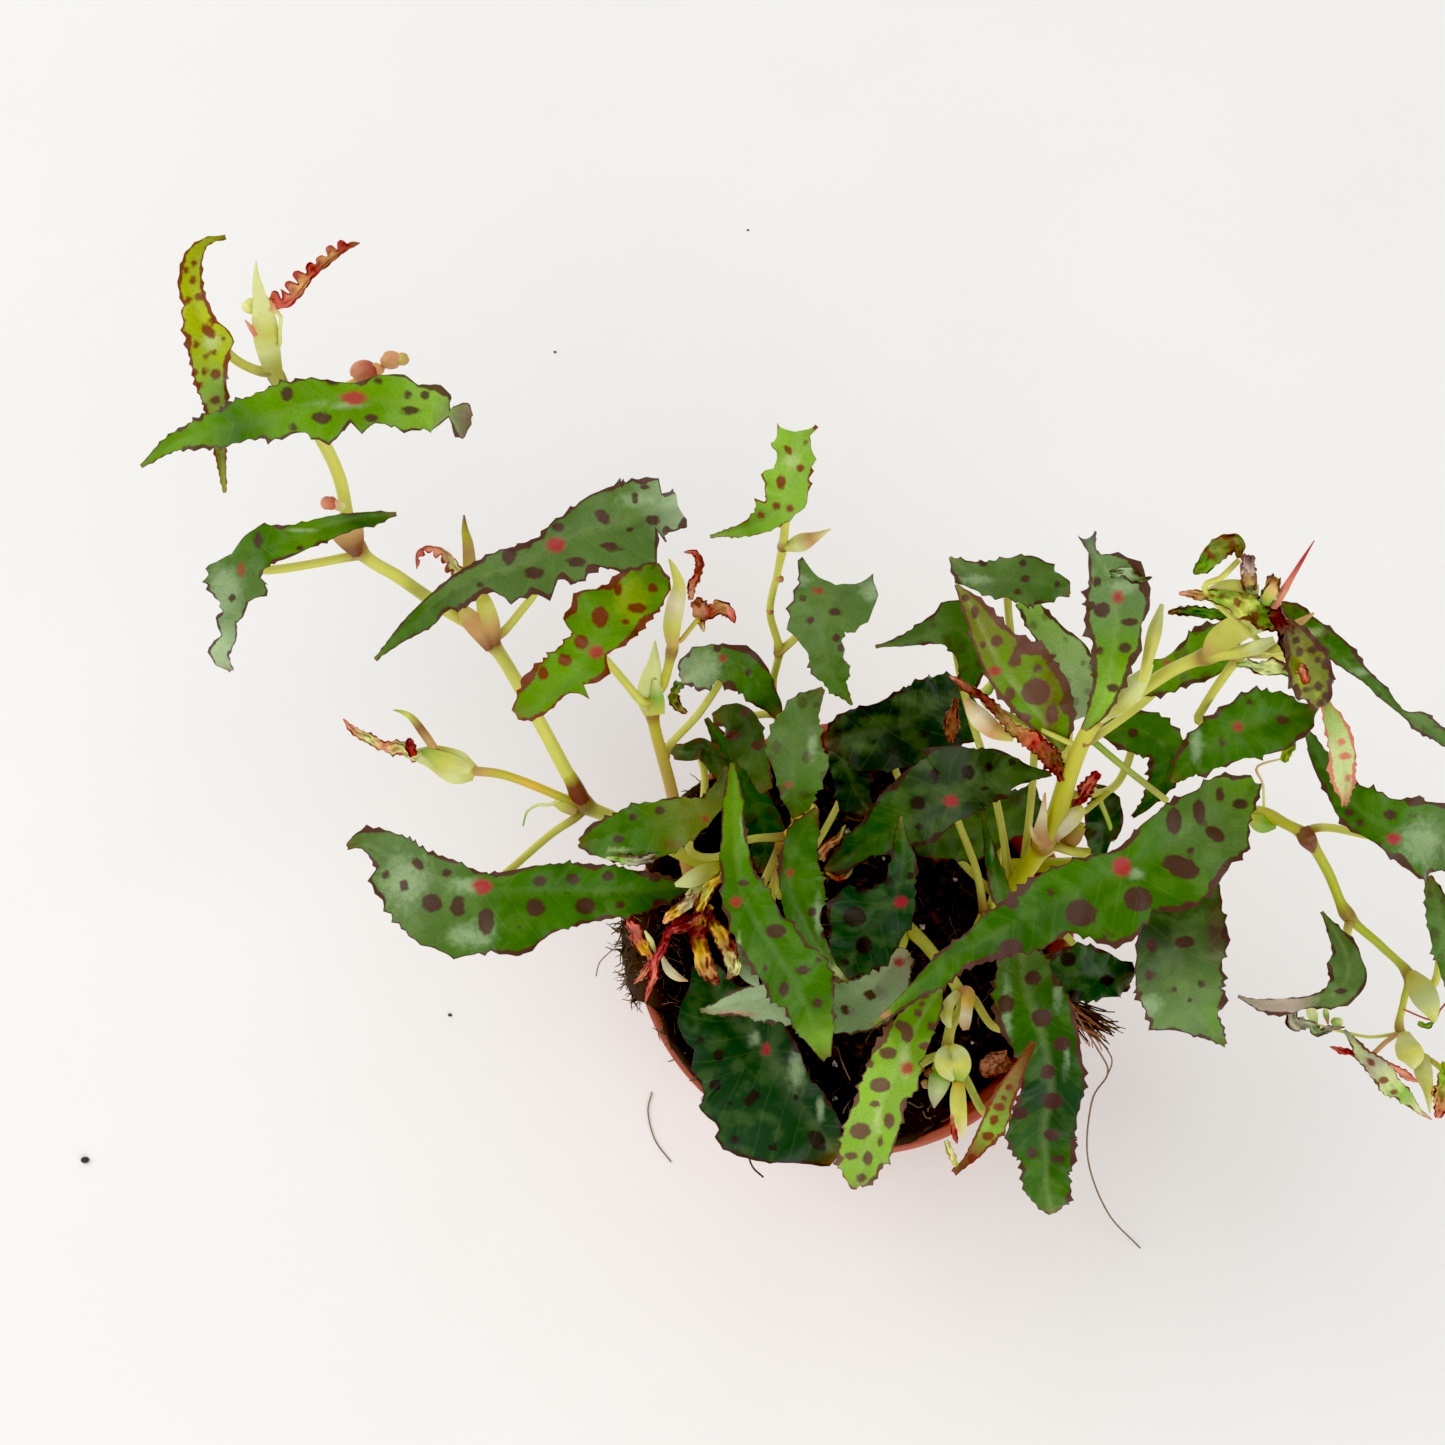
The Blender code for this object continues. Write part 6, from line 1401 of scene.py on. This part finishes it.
# %% Stems and stalks
FOOT_DEPTH = 14.0
REACH_OF_STEM = 30.0
RING = 2.0
STEM_SIDES, PART_SIDES = 16, 10
SWOLLEN = 1.15
STALK_RADIUS, STALK_DROP = 0.74, 5.0
STALK_TONES = "brown straw straw straw straw blush"
STEM_TONES = {"a": "stalk straw straw straw straw straw", "b": "tan tan stalk straw", "c": "lime straw",
              "d": "stalk stalk stalk straw straw", "e": "stalk lime stalk lime straw", "f": "straw straw",
              "g": "straw yolk", "h": "straw stalk"}


def colours_along(names, count):
    """Named colours, spread evenly over so many steps."""
    return along_colours(names, np.linspace(0, 1, count))


def stem_line(points):
    """A stem's middle line and radii, and how close each point is to a joint."""
    rows = np.array([(*sight(*p[:3]), p[3]) for p in points])
    radii = rows[:, 3].copy()
    joints = [k for k in range(1, len(rows) - 1)
              if radii[k] > SWOLLEN * max(radii[k - 1], radii[k + 1])]
    plain = rows.copy()
    for k in joints:
        plain[k, 3] = (radii[k - 1] + radii[k + 1]) / 2
    curve = smooth_path(plain, 14 * (len(points) - 1))
    near = np.zeros(len(curve))
    for k in joints:
        away = np.linalg.norm(curve[:, :3] - rows[k, :3], axis=1)
        curve[:, 3] += (radii[k] - plain[k, 3]) * np.exp(-((away / RING) ** 2))
        near = np.maximum(near, np.exp(-((away / (1.05 * RING)) ** 2)))
    foot = curve[0] - np.array((0, 0, FOOT_DEPTH, 0))
    return np.vstack((foot, curve)), np.append(0, near)


def rooted(path, line):
    """A path that begins on a stem's middle line, at the place nearest to its first point."""
    middle = line[1:, :3]
    start = middle[nearest(middle, path[0])]
    if 0.5 <= np.linalg.norm(start - path[0]) <= REACH_OF_STEM:
        return [start] + list(path)
    return path


def add_stalk(form, record, line):
    """A leaf stalk, from the stem to the seat inside the blade."""
    middle, _, out, _ = blade_frame(record["spine"], 61, record["tilt"])
    at = nearest(middle, sight(*record["spine"][record["seat"]][:3]))
    below = middle[at] - out[at] * 0.5
    path = rooted([sight(*p) for p in record["stalk"]], line)
    path += [below - out[at] * STALK_DROP, below - out[at] * 1.5, below]
    curve = smooth_path(path, 36)
    t = np.linspace(0, 1, len(curve))
    radii = STALK_RADIUS + 0.3 * np.exp(-t * 12) + 0.16 * np.exp((t - 1) * 14)
    add_tube(form, curve, radii, PART_SIDES, tone=colours_along(STALK_TONES, len(curve)))


# %% [markdown]
# ## Sheaths and young leaves
# Each joint keeps a papery brown sheath, and a new leaf comes out of it red and crumpled. Cloth would
# crumple well but never twice alike. Both are small lumpy sheets along a path, with a coarse frill
# drawn for the young leaves.

# %% Sheaths and young leaves
SHEATH_ROWS, SHEATH_COLUMNS, SHEATH_THICK = 25, 9, 0.22
YOUNG_COLUMNS, YOUNG_THICK = 11, 0.24
COMB_TOOTH, TOOTH = (0.0, 0.8, 1.0, 1.0, 0.8, 0.0), (0.0, 0.3, 0.8, 1.0, 0.5, 0.1)
COMB_PITCH, FRILL_PITCH = 1.9, 1.3
CRINKLE = 0.4


def part_frame(points, count):
    """A blade's frame for a small part, with one half-width in millimetres for both sides."""
    middle, across, out, halves = blade_frame(points, count, (0, 0), narrowest=0.08)
    return middle, across, out, halves[:, :1]


def add_sheath(form, points, names):
    """A papery sheath: a boat-shaped blade with a fine point."""
    middle, across, out, half = part_frame(points, SHEATH_ROWS)
    v = np.linspace(-1, 1, SHEATH_COLUMNS)[None, :]
    rise = np.minimum(0.16 * half, 0.3) * (1 - abs(v)) ** 0.8 + 0.08 * np.cos(7 * math.pi * v)
    upper = middle[:, None] + across[:, None] * (v * half)[..., None] + out[:, None] * rise[..., None]
    veins = 1 - 0.1 * np.cos(8 * math.pi * v)
    tone = colours_along(names, SHEATH_ROWS)[:, None] * veins[..., None]
    add_sheet(form, upper, upper - out[:, None] * SHEATH_THICK, tone=tone)


def frilled_sides(random, along, teeth, comb, frill):
    """How far the two sides of a young leaf reach, as shares of its half-width."""
    sides = []
    for side in (-1, 1):
        height = np.repeat(random.uniform(0.1, 1, teeth) ** 0.7, len(TOOTH))
        line = np.append(height * np.tile(COMB_TOOTH if comb else TOOTH, teeth), 0)
        if comb:
            sides.append(0.7 + (1.6 * line if side < 0 else 0.2 * line))
        else:
            sides.append(0.8 + frill * (0.25 * wander(random, along, 2.2) + 0.3 * line - 0.1))
    return np.stack(sides, axis=1)


def add_young_leaf(form, points, names, random, comb, tag):
    """A young leaf: a narrow crinkled strip. A comb has square teeth along one side only."""
    names, ink = names.rsplit(" ", 1)
    length = arc_length(smooth_path([sight(*p[:3]) for p in points], 60))[-1]
    teeth = max(3, round(length / (COMB_PITCH if comb else FRILL_PITCH)))
    count = len(TOOTH) * teeth + 1
    middle, across, out, half = part_frame(points, count)
    along = arc_length(middle)
    v = np.sin(np.linspace(-math.pi / 2, math.pi / 2, YOUNG_COLUMNS))[None, :]
    reach = v * half * by_side(v, frilled_sides(random, along, teeth, comb, 0.5 if tag in SPOTS else 1.0))
    small = np.minimum(half, 1.6)
    crinkle = CRINKLE * CALM.get(tag, 1) * wanders(random, along, 1.1, YOUNG_COLUMNS) * small
    sway = 0.18 * wander(random, along, 1.8)[:, None] * small
    rise = abs(reach) * 0.2 + crinkle
    upper = middle[:, None] + across[:, None] * (reach + sway)[..., None] + out[:, None] * rise[..., None]
    # Painted shade and highlight: the tone is darker where the crinkle dips into a crease and lighter where
    # it rises.
    tone = colours_along(names, count)[:, None] * (1 + 0.9 * crinkle / small)[..., None]
    inked = 0.8 + 0.9 * by_side(v, wanders(random, along, 1.6, 2))
    edge = (1 - abs(v)) * half - np.minimum(RIMS.get(tag, RIM_WIDTH), 0.35 * half) * inked
    spots = marks_field(in_picture(upper), SPOTS.get(tag, []), pixel_size(middle)[:, None], 1.05)
    add_sheet(form, upper, upper - out[:, None] * YOUNG_THICK, tone=tone, edge=edge, spot=spots,
              rib=40.5, seat=FAR, under=np.repeat((0.0, 0.5), reach.size), faint=1.0, ink=rgb(ink),
              sheen=0.0, gleam=rgb("pale"))


# %% [markdown]
# ## Twigs and buds
# Short stalks carry the buds and the youngest leaves. They could be curves with a bevel, but a bevel
# gives one colour, so they are tubes made of rings that carry a colour each.

# %% Twigs and buds
TWIG_STEPS = 24


def add_twig(form, points, names, line):
    """A short stalk, from the stem's middle line where it begins near the stem."""
    places = [sight(*p[:3]) for p in points]
    radii = [p[3] * pixel_size(place) for p, place in zip(points, places)]
    path = smooth_path(rooted(places, line), TWIG_STEPS)
    radii = np.interp(np.linspace(0, 1, TWIG_STEPS), np.linspace(0, 1, len(radii)), radii)
    add_tube(form, path, radii, PART_SIDES, tone=colours_along(names, TWIG_STEPS))


def add_bud(form, point, names, random):
    """A small plump bud with a seam."""
    corners, faces = icosphere(3, point[3] * float(pixel_size(sight(*point[:3]))))
    turn = random.uniform(0, math.pi)
    squeeze = 1 - 0.16 * np.exp(-((corners @ (math.cos(turn), math.sin(turn), 0)) / 0.3) ** 2)
    corners = corners * squeeze[:, None] * (1.1, 0.95, 0.9)
    share = (corners[:, 0] / corners[:, 0].max() + 1) / 2
    form.add(corners + sight(*point[:3]), faces, tone=along_colours(names, share))


# %% [markdown]
# ## A stem with all that it carries
# On the real plant a stem, its stalks and its sheaths have grown together. One mesh for all of it
# would be simplest, but the young leaves need the leaf's finish. So each stem gives up to three pieces:
# the stem with its stalks and twigs, its sheaths and buds in the same finish as the stem, and its young
# leaves in the leaf's finish. Each piece rides with the same node.

# %% A stem with all that it carries
def build_stem(letter):
    """One stem, its stalks and its small parts, as up to three pieces."""
    random = np.random.default_rng(ord(letter))
    line, near = stem_line(STEMS[letter])
    stems, sheaths, young = Form(), Form(), Form()
    tone = towards(colours_along(STEM_TONES[letter], len(line)), "rust" if letter == "a" else "brown",
                   (0.8 * near)[:, None])
    add_tube(stems, line[:, :3], line[:, 3], STEM_SIDES, tone=tone)
    for record in LEAVES.values():
        if record["stem"] == letter:
            add_stalk(stems, record, line)
    for kind, points, names, *tag in BITS[letter]:
        if kind == "twig":
            add_twig(stems, points, names, line)
        elif kind == "bud":
            add_bud(sheaths, points[0], names, random)
        elif kind == "sheath":
            add_sheath(sheaths, points, names)
        else:
            add_young_leaf(young, points, names, random, kind == "comb", tag[0] if tag else "")
    stems.make("fine_stem_" + letter, stem_skin, "stem_skin", ["stem_" + letter])
    if sheaths.count:
        sheaths.make("sheaths_" + letter, stem_skin, "stem_skin")
    if young.count:
        young.make("young_leaves_" + letter, leaf_skin, "leaf_skin")
    return stems.count


# %% Build the stems
print("stem points:", {letter: build_stem(letter) for letter in STEMS})

# %% [markdown]
# ## The pot
# The nursery pot is thin terracotta-coloured plastic, formed in one mould. It is turned from one
# profile with a rolled lip, then six drain holes are cut through its floor.

# %% Pot
RIM_RADIUS = 43.5
POT_HEIGHT = 80.0
BASE_RADIUS = 31.0
WALL = 1.2
LIP_WIDTH = 2.0
COLLAR_DEPTH = 11.0
DRAIN_HOLES = 6
DRAIN_RADIUS = 4.0
DRAIN_CIRCLE = 21.0
DRAIN_SIDES = 32
POT_SIDES = 144

plastic = Finish("pot_plastic", Specular_IOR_Level=0.4)
cloudy = plastic.noise(14)
scuffs = plastic.noise(0.8, 4)
place = plastic.node("ShaderNodeTexCoord", output=3)
# The lowest 2 cm of the wall turn towards the scuffs' dull brown, most at the floor.
lowest_band = plastic.node("ShaderNodeSeparateXYZ", values={"Vector": place}, output=2).step(0.02, 0.0)
warm = plastic.mix(cloudy, srgb(160, 74, 50), srgb(176, 88, 62))
scuffs_and_low_band = plastic.mix(0.5 * scuffs.step(0.62, 0.75) + 0.3 * lowest_band, warm, srgb(120, 84, 66))
pot_plastic = plastic.done(scuffs_and_low_band, 0.42 + 0.2 * scuffs, scuffs, 0.05)


def outer_radius(height):
    """The pot wall's outer radius at a height."""
    return BASE_RADIUS + (RIM_RADIUS - LIP_WIDTH - BASE_RADIUS) * height / POT_HEIGHT


def turned(profile, sides):
    """Points and faces of a solid turned about the Z axis from a profile of radius and height."""
    points, faces, rings = [], [], []
    for radius, height in profile:
        first = len(points)
        if radius == 0:
            points.append((0, 0, height))
            rings.append([first] * sides)
        else:
            points += ring(radius, height, sides)
            rings.append(list(range(first, first + sides)))
    for lower, upper in zip(rings, rings[1:]):
        for k in range(sides):
            n = (k + 1) % sides
            faces.append(list(dict.fromkeys((lower[k], lower[n], upper[n], upper[k]))))
    return points, faces


def arc(centre, radius, start, end, steps):
    """Points of a profile round a centre, from one angle to another in degrees."""
    turns = np.radians(np.linspace(start, end, steps))
    return [(centre[0] + radius * math.cos(t), centre[1] + radius * math.sin(t)) for t in turns]


collar = POT_HEIGHT - COLLAR_DEPTH
profile = [(0, 0.6), (BASE_RADIUS - 7, 0.6), (BASE_RADIUS - 6.4, 0)]
profile += arc((BASE_RADIUS - 0.6, 1.0), 1.0, -90, -8, 5)
profile += [(outer_radius(h), h) for h in np.linspace(4, collar - 3, 12)]
profile += [(outer_radius(collar - 1.2), collar - 1.2), (outer_radius(collar) + 0.3, collar - 0.4)]
profile += [(RIM_RADIUS - 1.6, collar + 0.1), (RIM_RADIUS - 1.0, collar + 0.9)]
profile += [(RIM_RADIUS - 0.5, POT_HEIGHT - 3.4), (RIM_RADIUS - 0.35, POT_HEIGHT - 2.9)]
profile += arc((RIM_RADIUS - 0.9, POT_HEIGHT - 1.9), 0.9, -35, 0, 4)
profile += arc((RIM_RADIUS - 0.9, POT_HEIGHT - 0.9), 0.9, 0, 90, 6)
profile += arc((RIM_RADIUS - LIP_WIDTH + 0.6, POT_HEIGHT - 0.6), 0.6, 90, 180, 5)
profile += [(outer_radius(collar) - WALL, collar), (BASE_RADIUS - WALL, 3.0)]
profile += arc((BASE_RADIUS - WALL - 1.2, WALL + 1.2), 1.2, 0, -90, 5) + [(0, WALL)]
pot_form = Form()
pot_form.add(*turned(profile, POT_SIDES))
pot = pot_form.make("fine_pot", pot_plastic, "pot_plastic", ["pot"])
cutters = []
for k in range(DRAIN_HOLES):
    turn = 2 * math.pi * (k + 0.5) / DRAIN_HOLES
    place = (DRAIN_CIRCLE * math.cos(turn) * MM, DRAIN_CIRCLE * math.sin(turn) * MM, 0)
    bpy.ops.mesh.primitive_cylinder_add(vertices=DRAIN_SIDES, radius=DRAIN_RADIUS * MM, depth=8 * MM,
                                        location=place)
    cutters.append(bpy.context.object)
    hole = pot.modifiers.new("drain_hole", "BOOLEAN")
    hole.object = cutters[-1]
pot.data = bpy.data.meshes.new_from_object(pot.evaluated_get(bpy.context.evaluated_depsgraph_get()))
pot.modifiers.clear()
for cutter in cutters:
    bpy.data.objects.remove(cutter)
print("pot faces:", len(pot.data.polygons))

# %% [markdown]
# ## The soil
# Damp peat is nearly black, with crumbs of every size. Its top is a polar grid raised by several
# sizes of noise, then bark chips, pale grit and fibres are scattered over it by a seeded rule.

# %% Soil
SOIL_HEIGHT = 73.0
SOIL_BUMPS = 1.1
PILE = 5.0
PILE_TURN = math.radians(205)
GAP = 0.3
SOIL_RINGS, AROUND = 90, 220
EDGE_FROM, EDGE_SPAN, EDGE_FALL = 0.96, 0.04, 1.2

peat = Finish("potting_soil", Specular_IOR_Level=0.2)
crumbs = peat.noise(1.6, 4)
dust = peat.noise(0.5, 2)
dark_peat = peat.mix(crumbs.step(0.4, 0.75), srgb(34, 30, 27), srgb(78, 64, 54))
peat_colour = peat.mix(0.6 * dust.step(0.66, 0.74), dark_peat, srgb(116, 96, 78))
potting_soil = peat.done(peat_colour, 0.75 + 0.25 * crumbs, crumbs + 0.5 * dust, 0.5)


def soil_height(x, y):
    """The soil's large bumps, which the plain solid also has."""
    bumps = math.sin(x * 0.31 + 1.1) * math.cos(y * 0.27) + 0.6 * math.sin(x * 0.61 + y * 0.53)
    return SOIL_HEIGHT + SOIL_BUMPS * bumps * 0.6


def crumb_height(x, y):
    """The soil's surface with its crumbs."""
    place = Vector((x, y, 0))
    rough = 1.3 * noise.noise(place * 0.22) + 0.9 * abs(noise.noise(place * 0.6))
    rough += 0.7 * abs(noise.noise(place * 1.4 + Vector((9, 3, 1))))
    leftward = max(0.0, math.cos(math.atan2(y, x) - PILE_TURN)) ** 0.7
    pile = PILE * leftward * min(1.0, (math.hypot(x, y) / 40.0) ** 6)
    return soil_height(x, y) + rough - 0.4 + pile


inner = outer_radius(collar) - WALL - GAP
radii = [inner * math.sqrt(k / SOIL_RINGS) for k in range(1, SOIL_RINGS + 1)]
points = [(0, 0, crumb_height(0, 0))]
for radius in radii:
    fall = EDGE_FALL * max(0, radius / inner - EDGE_FROM) / EDGE_SPAN
    points += [(x, y, crumb_height(x, y) - fall) for x, y, _ in ring(radius, 0, AROUND)]
for radius, height in ((inner, collar - 1.5), (BASE_RADIUS - WALL - GAP, WALL + GAP)):
    points += ring(radius, height, AROUND)
points.append((0, 0, WALL + GAP))
grid = 1 + np.arange((SOIL_RINGS + 2) * AROUND).reshape(-1, AROUND)
beside = np.roll(grid, -1, axis=1)
faces = np.stack((grid[:-1], grid[1:], beside[1:], beside[:-1]), axis=-1).reshape(-1, 4).tolist()
faces += [[0, grid[0, k], beside[0, k]] for k in range(AROUND)]
faces += [[len(points) - 1, beside[-1, k], grid[-1, k]] for k in range(AROUND)]
soil_form = Form()
soil_form.add(points, faces)
soil_form.make("fine_soil", potting_soil, "potting_soil", ["soil"])
print("soil points:", len(points))

# %% [markdown]
# ## Bark, grit and fibres
# Potting soil holds bits of bark, pale grit and old fibres. A particle system could strew them, but
# its copies are hard to export. A loop with a seeded rule sets each of them on the soil, and gives the
# same soil on each run.

# %% Bark, grit and fibres
scatter = np.random.default_rng(7)
chips_finish = Finish("bark_and_grit")
chip_grain = chips_finish.noise(0.8, 3)
chip_colour = chips_finish.mix(chip_grain.step(0.35, 0.7), chips_finish.colour("tone"), srgb(70, 44, 30))
bark_and_grit = chips_finish.done(chip_colour, 0.8 + 0.1 * chip_grain, chip_grain, 0.2)
fibre_finish = Finish("moss_and_roots")
fibre_grain = fibre_finish.noise(0.6)
fibre_colour = fibre_finish.mix(0.5 * fibre_grain, fibre_finish.colour("tone"), srgb(50, 40, 26))
moss_and_roots = fibre_finish.done(fibre_colour, 0.8 + 0.1 * fibre_grain, fibre_grain, 0.1)


def add_lump(form, centre, sizes, turn, colour, rough=0.25):
    """A rough lump of bark or grit."""
    corners, faces = icosphere(2, 1)
    swell = [1 + rough * noise.noise(Vector(c * 2.1 + centre)) * 2 for c in corners]
    corners = np.sign(corners) * abs(corners) ** 0.8 * np.array(swell)[:, None] * sizes
    x = corners[:, 0] * math.cos(turn) - corners[:, 1] * math.sin(turn)
    y = corners[:, 0] * math.sin(turn) + corners[:, 1] * math.cos(turn)
    form.add(np.stack((x, y, corners[:, 2]), axis=1) + centre, faces, tone=rgb(colour))


def on_soil():
    """A random place on the soil, clear of its edge."""
    radius, turn = inner * 0.93 * math.sqrt(scatter.uniform()), scatter.uniform(0, 2 * math.pi)
    x, y = radius * math.cos(turn), radius * math.sin(turn)
    return np.array((x, y, crumb_height(x, y)))


def pick(*names):
    """One of these names, at random."""
    return names[scatter.integers(len(names))]


BARK_BITS, GRIT_BITS, FIBRES = 26, 60, 170
chips = Form()
add_lump(chips, sight(995, 1064, 75.6), (3.1, 2.4, 1.4), 0.3, "chip")
for _ in range(BARK_BITS):
    size = scatter.uniform(0.8, 2.6)
    add_lump(chips, on_soil(), (size, size * 0.6, size * 0.4), scatter.uniform(0, 6), "bark")
for _ in range(GRIT_BITS):
    size = scatter.uniform(0.25, 0.65)
    add_lump(chips, on_soil() + (0, 0, 0.2), (size, size, size * 0.8), 0, "grit", 0.4)
chips.make("bark_and_grit", bark_and_grit, "potting_soil")


def add_strand(form, start, way, length, radius, droop, colour, steps=9, stray=0.28):
    """A thin root or moss strand that wanders from its start."""
    path = [np.array(start, float)]
    way = unit(way)
    for _ in range(steps):
        way = unit(way + scatter.normal(0, stray, 3) + (0, 0, -droop))
        path.append(path[-1] + way * length / steps)
    add_tube(form, path, radius * np.linspace(1, 0.45, len(path)), 4, tone=rgb(colour))


fibres = Form()
for _ in range(FIBRES):
    place, turn = on_soil() + (0, 0, 0.4), scatter.uniform(0, 6.28)
    colour = pick("fibre", "bark", "shade")
    add_strand(fibres, place, (math.cos(turn), math.sin(turn), 0.25), scatter.uniform(3, 11),
               scatter.uniform(0.08, 0.2), 0.06, colour)
fibres.make("soil_fibres", moss_and_roots, "moss_and_roots")

# %% [markdown]
# ## The root mat and the hair roots
# At the left the soil has knitted together with moss and old roots, and lies over the lip. The mat is
# a lumpy closed sheet that carries hundreds of short strands. Single hair roots hang over the rim,
# and a tuft of them stands out at the right.

# %% Root mat
MAT_THICK, CRUST_THICK = 1.5, 0.7
MAT_ROWS, MAT_COLUMNS = 30, 50
inside = RIM_RADIUS - LIP_WIDTH
MAT = [(inside - 8.5, SOIL_HEIGHT + 1.9), (inside - 4.5, SOIL_HEIGHT + 2.1),
       (inside - 1.3, SOIL_HEIGHT + 3.6), (inside - 0.8, POT_HEIGHT - 0.4),
       (inside + 0.1, POT_HEIGHT + 0.7), (RIM_RADIUS - 0.6, POT_HEIGHT + 0.9),
       (RIM_RADIUS + 0.7, POT_HEIGHT + 0.1), (RIM_RADIUS + 0.8, POT_HEIGHT - 2.4)]
CRUST = [(inside - 7, SOIL_HEIGHT + 4), (inside - 2, POT_HEIGHT - 1.4), (inside, POT_HEIGHT + 0.4)]
THIN_CRUST = CRUST + [(RIM_RADIUS - 1.7, POT_HEIGHT + 0.4), (RIM_RADIUS - 1.4, POT_HEIGHT)]
FULL_CRUST = CRUST + [(RIM_RADIUS - 0.6, POT_HEIGHT + 0.5), (RIM_RADIUS - 0.2, POT_HEIGHT - 0.2)]


def lumpy_sheet(line, turns, lumps):
    """A profile swept round the pot, with lumps, a frayed course and tapered ends."""
    ends = abs(np.linspace(-1, 1, len(turns)))
    rows = []
    for step in range(MAT_ROWS):
        at = step * (1 - 0.4 * ends**3)
        radius, height = (np.interp(at, np.arange(MAT_ROWS), column) for column in line.T)
        swell = np.array([lumps * noise.noise(Vector((0.45 * step, t * 22, 3))) for t in turns])
        swell -= lumps * 1.1 * ends**5
        spread = turns + 0.09 * np.array([noise.noise(Vector((step * 0.4, t * 9, 8))) for t in turns])
        rows.append(np.stack(((radius + swell) * np.cos(spread), (radius + swell) * np.sin(spread),
                              height + 0.8 * swell), axis=1))
    return np.array(rows)


def add_mat(form, profile, first, last, thick, strands, pale=0.4):
    """A lumpy frayed sheet of roots over the lip, from one turn to another, with loose strands."""
    under_mat = smooth_path(profile, MAT_ROWS)
    way = unit(np.gradient(under_mat, axis=0))
    over_mat = under_mat + thick * np.stack((-way[:, 1], way[:, 0]), axis=1)
    turns = np.radians(np.linspace(first, last, MAT_COLUMNS))
    lower = lumpy_sheet(under_mat, turns, 0.0)
    upper = lumpy_sheet(over_mat, turns, thick / MAT_THICK)
    shade = np.repeat(np.linspace(0.2, pale, MAT_ROWS), MAT_COLUMNS).reshape(MAT_ROWS, MAT_COLUMNS, 1)
    add_sheet(form, upper, lower, flipped=True, tone=shade * rgb("bark"))
    for _ in range(strands):
        row, column = scatter.integers(2, MAT_ROWS), scatter.integers(0, MAT_COLUMNS)
        place = upper[row, column]
        outward = unit(np.array((place[0], place[1], 0)))
        way = outward * scatter.uniform(0.1, 1) + (*scatter.normal(0, 0.7, 2), 0.7 - row / MAT_ROWS)
        colour = pick("fibre", "bark", "moss", "root")
        add_strand(form, place, way, scatter.uniform(1.2, 4.2), scatter.uniform(0.08, 0.24), 0.08,
                   colour, 5)


mat = Form()
add_mat(mat, MAT, 168, 203, MAT_THICK, 620, 1.1)
add_mat(mat, FULL_CRUST, 126, 172, CRUST_THICK, 120)
add_mat(mat, THIN_CRUST, 196, 246, CRUST_THICK, 160)
add_mat(mat, THIN_CRUST, 244, 296, CRUST_THICK, 60)
mat.make("fine_root_mat", moss_and_roots, "moss_and_roots", ["root_mat"])
print("mat points:", mat.count)

# %% [markdown]
# ## The hair roots
# Hair roots as thin as thread stand out of the mat and over the rim. Blender's hair would look right
# but has no mesh, so each one is a thin tube. The few that the eye catches follow their own points,
# and a tuft is drawn by a seeded rule.

# %% Hair roots
HAIR_SIDES = 5
TUFT = 70
HAIRS = [
    ([(1060, 985, 81), (1080, 1021, 84), (1098, 1050, 70), (1108, 1073, 60), (1092, 1101, 48),
      (1088, 1159, 30), (1108, 1213, 12), (1140, 1248, 1)], 0.2, "root"),
    ([(1088, 1022, 82), (1100, 1040, 78), (1112, 1060, 70), (1106, 1078, 64)], 0.16, "root"),
    ([(742, 1130, 80), (747, 1148, 80), (752, 1166, 74), (763, 1177, 70)], 0.2, "bark"),
    ([(838, 1048, 80), (842, 1062, 84), (850, 1080, 79)], 0.14, "root"),
    ([(612, 950, 84), (600, 962, 82), (596, 976, 78)], 0.12, "root"),
]


def add_hair(form, points, radius, colour, steps=60):
    """A long hair root through places in the picture."""
    add_tube(form, smooth_path([sight(*p) for p in points], steps), radius, HAIR_SIDES, tone=rgb(colour))


hairs = Form()
for hair in HAIRS:
    add_hair(hairs, *hair)
for _ in range(TUFT):
    start = sight(scatter.uniform(1044, 1070), scatter.uniform(988, 1014), 79.8)
    end = sight(scatter.uniform(1102, 1124), scatter.uniform(1030, 1052), 80.5)
    add_strand(hairs, start, end - start, scatter.uniform(9, 13), scatter.uniform(0.12, 0.34), 0.01,
               pick("bark", "fibre", "chip"), stray=0.09)
hairs.make("hair_roots", moss_and_roots, "moss_and_roots")

# %% [markdown]
# One hair root has dropped off and lies on the floor beside the pot. It isn't part of the plant.

# %% Fallen hair root
FALLEN = [(652, 1092, 0.3), (648, 1112, 0.3), (655, 1140, 0.3), (671, 1162, 0.3)]
fallen = Form()
add_hair(fallen, FALLEN, 0.14, "root", 40)
fallen.make("fallen_root", moss_and_roots, None)

# %% [markdown]
# ## Size
# The boxes of the imported model and of the dressed plant are both printed.

# %% Size
visual_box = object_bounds()
for word, (low, high) in (("solids", cad_box), ("dressed", visual_box)):
    print(word, [round(1000 * x, 1) for x in (*low, *high)], "mm")
